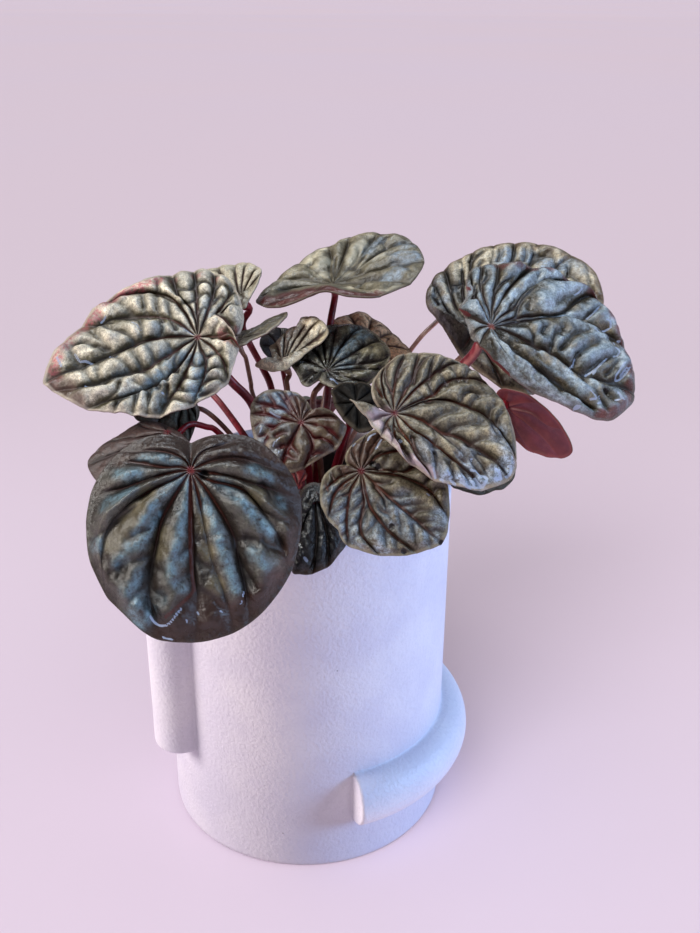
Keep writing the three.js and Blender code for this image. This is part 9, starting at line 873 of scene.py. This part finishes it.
def build_pot():
    a, f = BAR_A, BAR_FILLET
    d = math.sqrt(a * a + 2 * a * f)
    q1 = d * a / (a + f)
    prof = list(np.linspace(d + 0.3, q1, 6)) + [a * math.cos(x) for x in np.linspace(math.acos(q1 / a), math.pi / 2, 15)[1:]]
    prof = sorted(set(prof + [-x for x in prof]))
    deg = 180 / math.pi / POT_R
    az = [POST_AZ + x * deg for x in prof]
    for e0, sgn in ((RING_FROM, 1), (RING_TO, -1)):
        az += [e0 + sgn * x * deg for x in (-0.9, -0.7, -0.45, -0.25, -0.1, -0.004, 0.0, 0.05, 0.15, 0.35, 0.7, 1.2, 1.8)]
    az = [x % 360 for x in az]
    az = merge_lines(az, np.arange(0, 360, 1.2), 0.45)
    # rows: height and radius of the plain wall
    rows = []
    for x in np.linspace(-90, 0, 7):
        rows.append((1.6 + 1.6 * math.sin(math.radians(x)), POT_R - 1.6 + 1.6 * math.cos(math.radians(x))))
    zs = [RING_Z + x for x in prof]
    zs += [POST_Z0 + x for x in (-0.7, -0.45, -0.25, -0.1, -0.004, 0.0, 0.08, 0.25, 0.6, 1.1, 1.7, 2.4, 3.2)]
    zs += [POST_Z1 - x for x in (-0.7, -0.45, -0.25, -0.1, -0.004, 0.0, 0.08, 0.25, 0.6, 1.1, 1.7, 2.4, 3.2)]
    zs = merge_lines(zs, np.arange(3.0, POT_H - 2.0, 1.9), 0.35)
    rows += [(z, POT_R) for z in zs]
    for x in np.linspace(0, 90, 7):
        rows.append((POT_H - 1.4 + 1.4 * math.sin(math.radians(x)), POT_R - 1.4 + 1.4 * math.cos(math.radians(x))))
    ri = POT_R - WALL
    for x in np.linspace(90, 180, 7):
        rows.append((POT_H - 1.4 + 1.4 * math.sin(math.radians(x)), ri + 1.4 + 1.4 * math.cos(math.radians(x))))
    outer = len(rows) - 7
    for z in np.linspace(POT_H - 3.5, FLOOR + 3.2, 22):
        rows.append((z, ri))
    for x in np.linspace(0, -90, 5):
        rows.append((FLOOR + 3 + 3 * math.sin(math.radians(x)), ri - 3 + 3 * math.cos(math.radians(x))))
    for r in (26, 14):
        rows.append((FLOOR, r))
    base = [(0.0, 14), (0.0, 26), (0.0, 36)]
    rows = base + rows
    Zr = np.array([r[0] for r in rows])[:, None]
    Rr = np.array([r[1] for r in rows])[:, None]
    AZ = np.radians(az)[None, :]
    wall = np.zeros(len(rows), bool)
    wall[len(base):len(base) + outer] = True
    s = ((az - POST_AZ + 180) % 360 - 180)[None, :] / deg
    dz = np.minimum(Zr - POST_Z0, POST_Z1 - Zr)
    post = ended(np.abs(s) + 0 * Zr, dz + 0 * s, 1.3)
    d0 = ((az - RING_FROM + 180) % 360 - 180)[None, :] / deg
    d1 = ((RING_TO - az + 180) % 360 - 180)[None, :] / deg
    din = np.where((az >= RING_FROM - 30) & (az <= (RING_FROM + RING_TO) / 2), d0[0], d1[0])[None, :]
    inside = (az >= RING_FROM - 1e-9) & (az <= RING_TO + 1e-9)
    din = np.where(inside[None, :], np.abs(din), -np.abs(din))
    ring = ended(np.abs(Zr - RING_Z) + 0 * din, din + 0 * Zr, 0.75)
    Rad = Rr + np.where(wall[:, None], post + ring, 0.0)
    # a hand-cast wall is never quite even
    wob = 0.10 * noise2(Zr / 23 + 0 * AZ, np.cos(AZ) * 2.1 + 3, 5) * noise2(Zr / 31 + 9 + 0 * AZ, np.sin(AZ) * 2.3 + 7, 6)
    Rad = Rad + np.where(wall[:, None], wob * 1.4 * smooth(Zr, 0.0, 4.0), 0.0)
    X, Y = Rad * np.sin(AZ), -Rad * np.cos(AZ)
    P = np.stack([X, Y, Zr + 0 * X], -1)
    R, M = X.shape
    verts = np.vstack([P.reshape(-1, 3), [[0, 0, 0]], [[0, 0, FLOOR]]])
    a0 = np.arange(M)
    b0 = (a0 + 1) % M
    quads = np.vstack([np.stack([j * M + a0, j * M + b0, (j + 1) * M + b0, (j + 1) * M + a0], -1) for j in range(R - 1)])
    tris = np.vstack([np.stack([np.full(M, R * M), b0, a0], -1), np.stack([np.full(M, R * M + 1), (R - 1) * M + a0, (R - 1) * M + b0], -1)])
    m = Net("ceramic")
    broad, peel, fine, micro = m.noise(18, 3), m.noise(1.0, 2, 0.5), m.noise(0.6, 3, 0.6), m.noise(0.22, 2, 0.6)
    c = m.mix(m.step(broad, 0.3, 0.7), srgb(0xE9E3E8), srgb(0xDED8E2))
    c = m.mix(m.math("MULTIPLY", m.step(peel, 0.45, 0.75), 0.22), c, srgb(0xC9C2CE))
    c = m.mix(m.math("MULTIPLY", m.step(micro, 0.55, 0.75), 0.18), c, srgb(0xF4F0F2))
    dots = m.node("ShaderNodeTexVoronoi", feature="F1")
    m.put(dots.inputs["Vector"], m.coord)
    dots.inputs["Scale"].default_value = 1000 / 5.2
    sep = m.node("ShaderNodeSeparateColor")
    m.put(sep.inputs[0], dots.outputs["Color"])
    pick = m.step(sep.outputs[0], 0.86, 0.88)
    speck = m.math("MULTIPLY", m.step(dots.outputs["Distance"], 0.028, 0.055, 1.0, 0.0), pick)
    c = m.mix(m.math("MULTIPLY", speck, 0.75), c, srgb(0x6B6360))
    low = m.node("ShaderNodeSeparateXYZ")
    m.put(low.inputs[0], m.coord)
    c = m.mix(m.math("MULTIPLY", m.step(low.outputs[2], 0.0, 0.0022, 1.0, 0.0), 0.35), c, srgb(0xA39A94))
    far = m.math("SQRT", m.math("ADD", m.math("POWER", low.outputs[0], 2.0), m.math("POWER", low.outputs[1], 2.0)))
    # painted shade: the wall is coloured darker toward the foot, much less so on the bars
    c = m.mix(m.math("MULTIPLY", m.step(low.outputs[2], 0.004, 0.060, 0.9, 0.0), m.step(far, 0.0425, 0.0450, 1.0, 0.15)), c, m.mix(1.0, c, (0.82, 0.82, 0.85, 1), "MULTIPLY"))
    # painted shade: the inside of the wall above the soil is coloured near black, where shade falls inside the pot
    inner_wall_shade = m.math("MULTIPLY", m.step(far, 0.0386, 0.0389, 1.0, 0.0), m.step(m.math("ADD", low.outputs[2], m.math("MULTIPLY", peel, 0.004)), 0.0985, 0.1035, 1.0, 0.0))
    c = m.mix(m.math("MULTIPLY", inner_wall_shade, 0.96), c, m.mix(m.step(broad, 0.4, 0.6), srgb(0x1C120D), srgb(0x2E2018)))
    r = m.math("ADD", 0.34, m.math("MULTIPLY", fine, 0.26))
    nrm = m.bump(peel, 0.32, 0.65)
    nrm = m.bump(fine, 0.14, 0.6, nrm)
    mat = m.finish(c, r, nrm, spec=0.5)
    ob = make_mesh("planter", verts, quads, tris, None, None, [mat], sharp_deg=42)
    place(ob, "pot")


# ------------------------------------------------------------------ soil and crown
def soil_material():
    m = Net("soil_mix")
    a, b, c3 = m.noise(6, 4), m.noise(1.3, 5, 0.7), m.noise(0.4, 3, 0.7)
    c = m.mix(m.step(a, 0.3, 0.7), srgb(0x2A1B13), srgb(0x18100C))
    c = m.mix(m.math("MULTIPLY", m.step(b, 0.48, 0.7), 0.8), c, srgb(0x4A3324))
    c = m.mix(m.math("MULTIPLY", m.step(c3, 0.58, 0.7), 0.5), c, srgb(0x6A5240))
    return m.finish(c, m.math("ADD", 0.55, m.math("MULTIPLY", c3, 0.4)), m.bump(m.math("ADD", b, m.math("MULTIPLY", c3, 0.5)), 0.9, 0.9), spec=0.35)


def build_soil():
    rng = np.random.default_rng(11)
    ri = POT_R - WALL - 0.25
    M, N = 150, 46
    ang = np.arange(M) / M * 2 * math.pi
    rr = (np.arange(1, N + 1) / N) ** 0.9 * ri
    X = rr[:, None] * np.cos(ang)
    Y = rr[:, None] * np.sin(ang)
    lump = 1.1 * noise2(X / 7, Y / 7, 3) + 0.9 * noise2(X / 2.6, Y / 2.6, 4) + 0.45 * noise2(X / 1.1, Y / 1.1, 8)
    Z = SOIL_TOP - 0.5 + lump * 0.8 - 1.6 * (rr[:, None] / ri) ** 4
    top = np.stack([X, Y, Z], -1).reshape(-1, 3)
    low = np.stack([ri * np.cos(ang), ri * np.sin(ang), np.full(M, 60.0)], -1)
    low2 = np.stack([(ri - 3.4) * np.cos(ang), (ri - 3.4) * np.sin(ang), np.full(M, FLOOR + 0.3)], -1)
    mid2 = np.stack([ri * np.cos(ang), ri * np.sin(ang), np.full(M, FLOOR + 4.2)], -1)
    verts = [np.vstack([top, low, mid2, low2, [[0, 0, SOIL_TOP - 0.3]], [[0, 0, FLOOR + 0.3]]])]
    a = np.arange(M)
    b = (a + 1) % M
    quads = [np.vstack([np.stack([j * M + b, j * M + a, (j + 1) * M + a, (j + 1) * M + b], -1) for j in range(N + 2)])]
    ct = (N + 3) * M
    tris = [np.stack([np.full(M, ct), a, b], -1), np.stack([np.full(M, ct + 1), (N + 2) * M + b, (N + 2) * M + a], -1)]
    base = len(verts[0])
    # loose crumbs, each its own lump
    t = (1 + 5**0.5) / 2
    ico = np.array([[-1, t, 0], [1, t, 0], [-1, -t, 0], [1, -t, 0], [0, -1, t], [0, 1, t], [0, -1, -t], [0, 1, -t], [t, 0, -1], [t, 0, 1], [-t, 0, -1], [-t, 0, 1]])
    ico /= np.linalg.norm(ico[0])
    faces = [[0, 11, 5], [0, 5, 1], [0, 1, 7], [0, 7, 10], [0, 10, 11], [1, 5, 9], [5, 11, 4], [11, 10, 2], [10, 7, 6], [7, 1, 8], [3, 9, 4], [3, 4, 2], [3, 2, 6], [3, 6, 8], [3, 8, 9], [4, 9, 5], [2, 4, 11], [6, 2, 10], [8, 6, 7], [9, 8, 1]]
    # one split of each face for a rounder crumb
    pts, fs, cache = [tuple(p) for p in ico], [], {}

    def middle(i, j):
        k = (min(i, j), max(i, j))
        if k not in cache:
            p = (np.array(pts[i]) + np.array(pts[j])) / 2
            pts.append(tuple(p / np.linalg.norm(p)))
            cache[k] = len(pts) - 1
        return cache[k]

    for i, j, k in faces:
        x, y, z = middle(i, j), middle(j, k), middle(k, i)
        fs += [[i, x, z], [j, y, x], [k, z, y], [x, y, z]]
    ball, fs = np.array(pts), np.array(fs)
    count = 620
    for _ in range(count):
        rad, an = ri * 0.955 * math.sqrt(rng.uniform(0.02, 1)), rng.uniform(0, 2 * math.pi)
        size = rng.uniform(0.35, 1.35) * (0.6 if rng.random() < 0.5 else 1.0)
        sc = np.array([1, rng.uniform(0.6, 1), rng.uniform(0.45, 0.9)]) * size
        if rng.random() < 0.10:
            sc = np.array([rng.uniform(1.6, 3.2), 0.32, 0.28])
        q = ball * (1 + 0.22 * rng.uniform(-1, 1, (len(ball), 1))) * sc
        th = rng.uniform(0, 2 * math.pi)
        tl = rng.uniform(-0.5, 0.5)
        rz = np.array([[math.cos(th), -math.sin(th), 0], [math.sin(th), math.cos(th), 0], [0, 0, 1]])
        rx = np.array([[1, 0, 0], [0, math.cos(tl), -math.sin(tl)], [0, math.sin(tl), math.cos(tl)]])
        q = q @ rx.T @ rz.T
        x, y = rad * math.cos(an), rad * math.sin(an)
        far = np.hypot(x + q[:, 0], y + q[:, 1]).max()
        if far > ri:
            x, y = x * (ri - 1.2) / far, y * (ri - 1.2) / far
        zz = SOIL_TOP - 0.3 + 0.8 * float(1.1 * noise2(x / 7, y / 7, 3) + 0.9 * noise2(x / 2.6, y / 2.6, 4)) - 1.6 * (math.hypot(x, y) / ri) ** 4
        q = q + [x, y, zz + sc[2] * 0.3]
        verts.append(q)
        tris.append(fs + base)
        base += len(q)
    ob = make_mesh("soil_top", np.vstack(verts), np.vstack(quads), np.vstack(tris), None, None, [soil_material()])
    place(ob, "soil")


def build_crown():
    M, N = 40, 26
    ang = np.arange(M) / M * 2 * math.pi
    z = np.linspace(-1.6, 9.2, N)
    rows = []
    for i, h in enumerate(z):
        t = np.clip(h / 9.2, 0, 1)
        r = 2.9 * (1 - 0.45 * t**2) * math.sqrt(max(0.0, 1 - max(0, (h - 6.4) / 2.9) ** 2)) if h < 9.2 else 0.2
        r = max(r, 0.25)
        rr = r * (1 + 0.16 * noise2(ang * 3 / math.pi, np.full(M, h / 2.2), 2) + 0.10 * np.cos(3 * ang + h * 1.3))
        rows.append(np.stack([1 + rr * np.cos(ang), 1 + rr * np.sin(ang), np.full(M, SOIL_TOP + h)], -1))
    verts = np.vstack(rows + [[[1, 1, SOIL_TOP - 1.6]], [[1, 1, SOIL_TOP + 9.3]]])
    a = np.arange(M)
    b = (a + 1) % M
    quads = np.vstack([np.stack([j * M + a, j * M + b, (j + 1) * M + b, (j + 1) * M + a], -1) for j in range(N - 1)])
    tris = np.vstack([np.stack([np.full(M, N * M), b, a], -1), np.stack([np.full(M, N * M + 1), (N - 1) * M + a, (N - 1) * M + b], -1)])
    m = Net("crown_bark")
    x, y = m.noise(2.4, 4), m.noise(0.6, 4, 0.65)
    c = m.mix(m.step(x, 0.35, 0.65), srgb(0x5A2420), srgb(0x3A2A1C))
    c = m.mix(m.math("MULTIPLY", m.step(y, 0.5, 0.7), 0.5), c, srgb(0x7A5A44))
    mat = m.finish(c, m.math("ADD", 0.45, m.math("MULTIPLY", y, 0.3)), m.bump(m.math("ADD", x, y), 0.4, 0.7))
    ob = make_mesh("crown_stub", verts, quads, tris, None, None, [mat])
    place(ob, "crown")


for key in LEAVES:
    build_leaf(key)
for key in STEMS:
    build_stem(key)
build_pot()
build_soil()
build_crown()

# ------------------------------------------------------------------ floor, light, camera
sheet = bpy.data.meshes.new("floor")
sheet.from_pydata([(-600, -600, 0), (600, -600, 0), (600, 20, 0), (-600, 20, 0), (600, 600, 12), (-600, 600, 12)], [], [(0, 1, 2, 3), (3, 2, 4, 5)])
floor = bpy.data.objects.new("floor", sheet)
bpy.context.scene.collection.objects.link(floor)
m = Net("floor_sheet")
a, b = m.noise(2600, 2), m.noise(700, 2)
c = m.mix(m.step(a, 0.3, 0.7), srgb(0xDFCFDD), srgb(0xDDCFE0))
c = m.mix(m.math("MULTIPLY", b, 0.15), c, srgb(0xE2D2DD))
away = m.node("ShaderNodeSeparateXYZ")
m.put(away.inputs[0], m.coord)
# painted shade: the floor is coloured about a tenth darker toward the back
c = m.mix(m.step(away.outputs[1], 0.05, 0.45), c, m.mix(1.0, c, (0.895, 0.895, 0.88, 1), "MULTIPLY"))
floor.data.materials.append(m.finish(c, 0.8, None, spec=0.1))

world = bpy.data.worlds.new("studio")
bpy.context.scene.world = world
world.use_nodes = True
wt = world.node_tree
soft = wt.nodes["Background"]
soft.inputs[0].default_value = (0.60, 0.57, 0.60, 1)
soft.inputs[1].default_value = 0.35
# the backdrop seen past the far edge of the floor has the floor's own tone
seen = wt.nodes.new("ShaderNodeBackground")
seen.inputs[0].default_value = (0.665, 0.565, 0.655, 1)
path = wt.nodes.new("ShaderNodeLightPath")
both = wt.nodes.new("ShaderNodeMixShader")
wt.links.new(path.outputs["Is Camera Ray"], both.inputs[0])
wt.links.new(soft.outputs[0], both.inputs[1])
wt.links.new(seen.outputs[0], both.inputs[2])
wt.links.new(both.outputs[0], wt.nodes["World Output"].inputs[0])


def group(name, objects):
    c = bpy.data.collections.new(name)
    for o in objects:
        c.objects.link(o)
    return c


def sun(name, toward, strength, colour, angle, on=None, gloss_only=False):
    d = bpy.data.lights.new(name, "SUN")
    d.energy, d.color, d.angle = strength, colour, math.radians(angle)
    o = bpy.data.objects.new(name, d)
    o.rotation_euler = Vector(toward).to_track_quat("-Z", "Y").to_euler()
    o.visible_diffuse = not gloss_only
    if on is not None:
        o.light_linking.receiver_collection = on
    bpy.context.scene.collection.objects.link(o)


pieces = [o for o in bpy.data.objects if o.type == "MESH" and o is not floor]
plant = group("lit_plant", [o for o in pieces if o.name != "planter"])
pot = group("lit_pot", [o for o in pieces if o.name == "planter"])
ground = group("lit_floor", [floor])
sun("key_left", (0.76, 0.36, -0.54), 2.25, (1.0, 0.95, 0.90), 14, plant)
sun("fill_right", (-0.90, 0.24, -0.36), 1.35, (0.46, 0.66, 1.0), 20, plant)
sun("top_plant", (0.10, 0.12, -0.99), 0.95, (0.95, 0.97, 1.0), 14, plant)
sun("pot_left", (0.93, 0.01, -0.38), 3.35, (1.0, 0.93, 0.93), 26, pot)
sun("pot_right", (-0.92, 0.14, -0.34), 3.2, (0.30, 0.55, 1.0), 24, pot)
sun("top_pot", (0.05, 0.04, -0.99), 0.5, (0.70, 0.88, 1.0), 60, pot)
sun("top_glint", (-0.05, -0.22, -0.97), 1.5, (0.80, 0.90, 1.0), 8, plant, gloss_only=True)
sun("left_glint", (0.42, -0.10, -0.90), 1.3, (1.0, 0.97, 0.92), 8, plant, gloss_only=True)
sun("floor_left", (0.30, 0.80, -0.52), 2.3, (1.0, 0.985, 1.0), 48, ground)
sun("floor_right", (-0.05, 0.40, -0.91), 1.62, (1.0, 0.985, 1.0), 80, ground)

cam = bpy.data.cameras.new("camera")
cam.sensor_fit, cam.sensor_width, cam.lens = "AUTO", 36.0, 1050.0 / 933.0 * 36.0
cam.clip_start, cam.clip_end = 0.01, 2000
eye = bpy.data.objects.new("camera", cam)
pitch, roll = math.radians(23.92), math.radians(0.41)
fwd = Vector((0, math.cos(pitch), -math.sin(pitch)))
right = Vector((1, 0, 0))
up = right.cross(fwd)
r2 = math.cos(roll) * right + math.sin(roll) * up
u2 = -math.sin(roll) * right + math.cos(roll) * up
eye.matrix_world = Matrix((
    (r2.x, u2.x, -fwd.x, 0.012936), (r2.y, u2.y, -fwd.y, -0.27426), (r2.z, u2.z, -fwd.z, 0.230874), (0, 0, 0, 1)))
bpy.context.scene.collection.objects.link(eye)
bpy.context.scene.camera = eye
bpy.context.scene.view_settings.view_transform = "Standard"
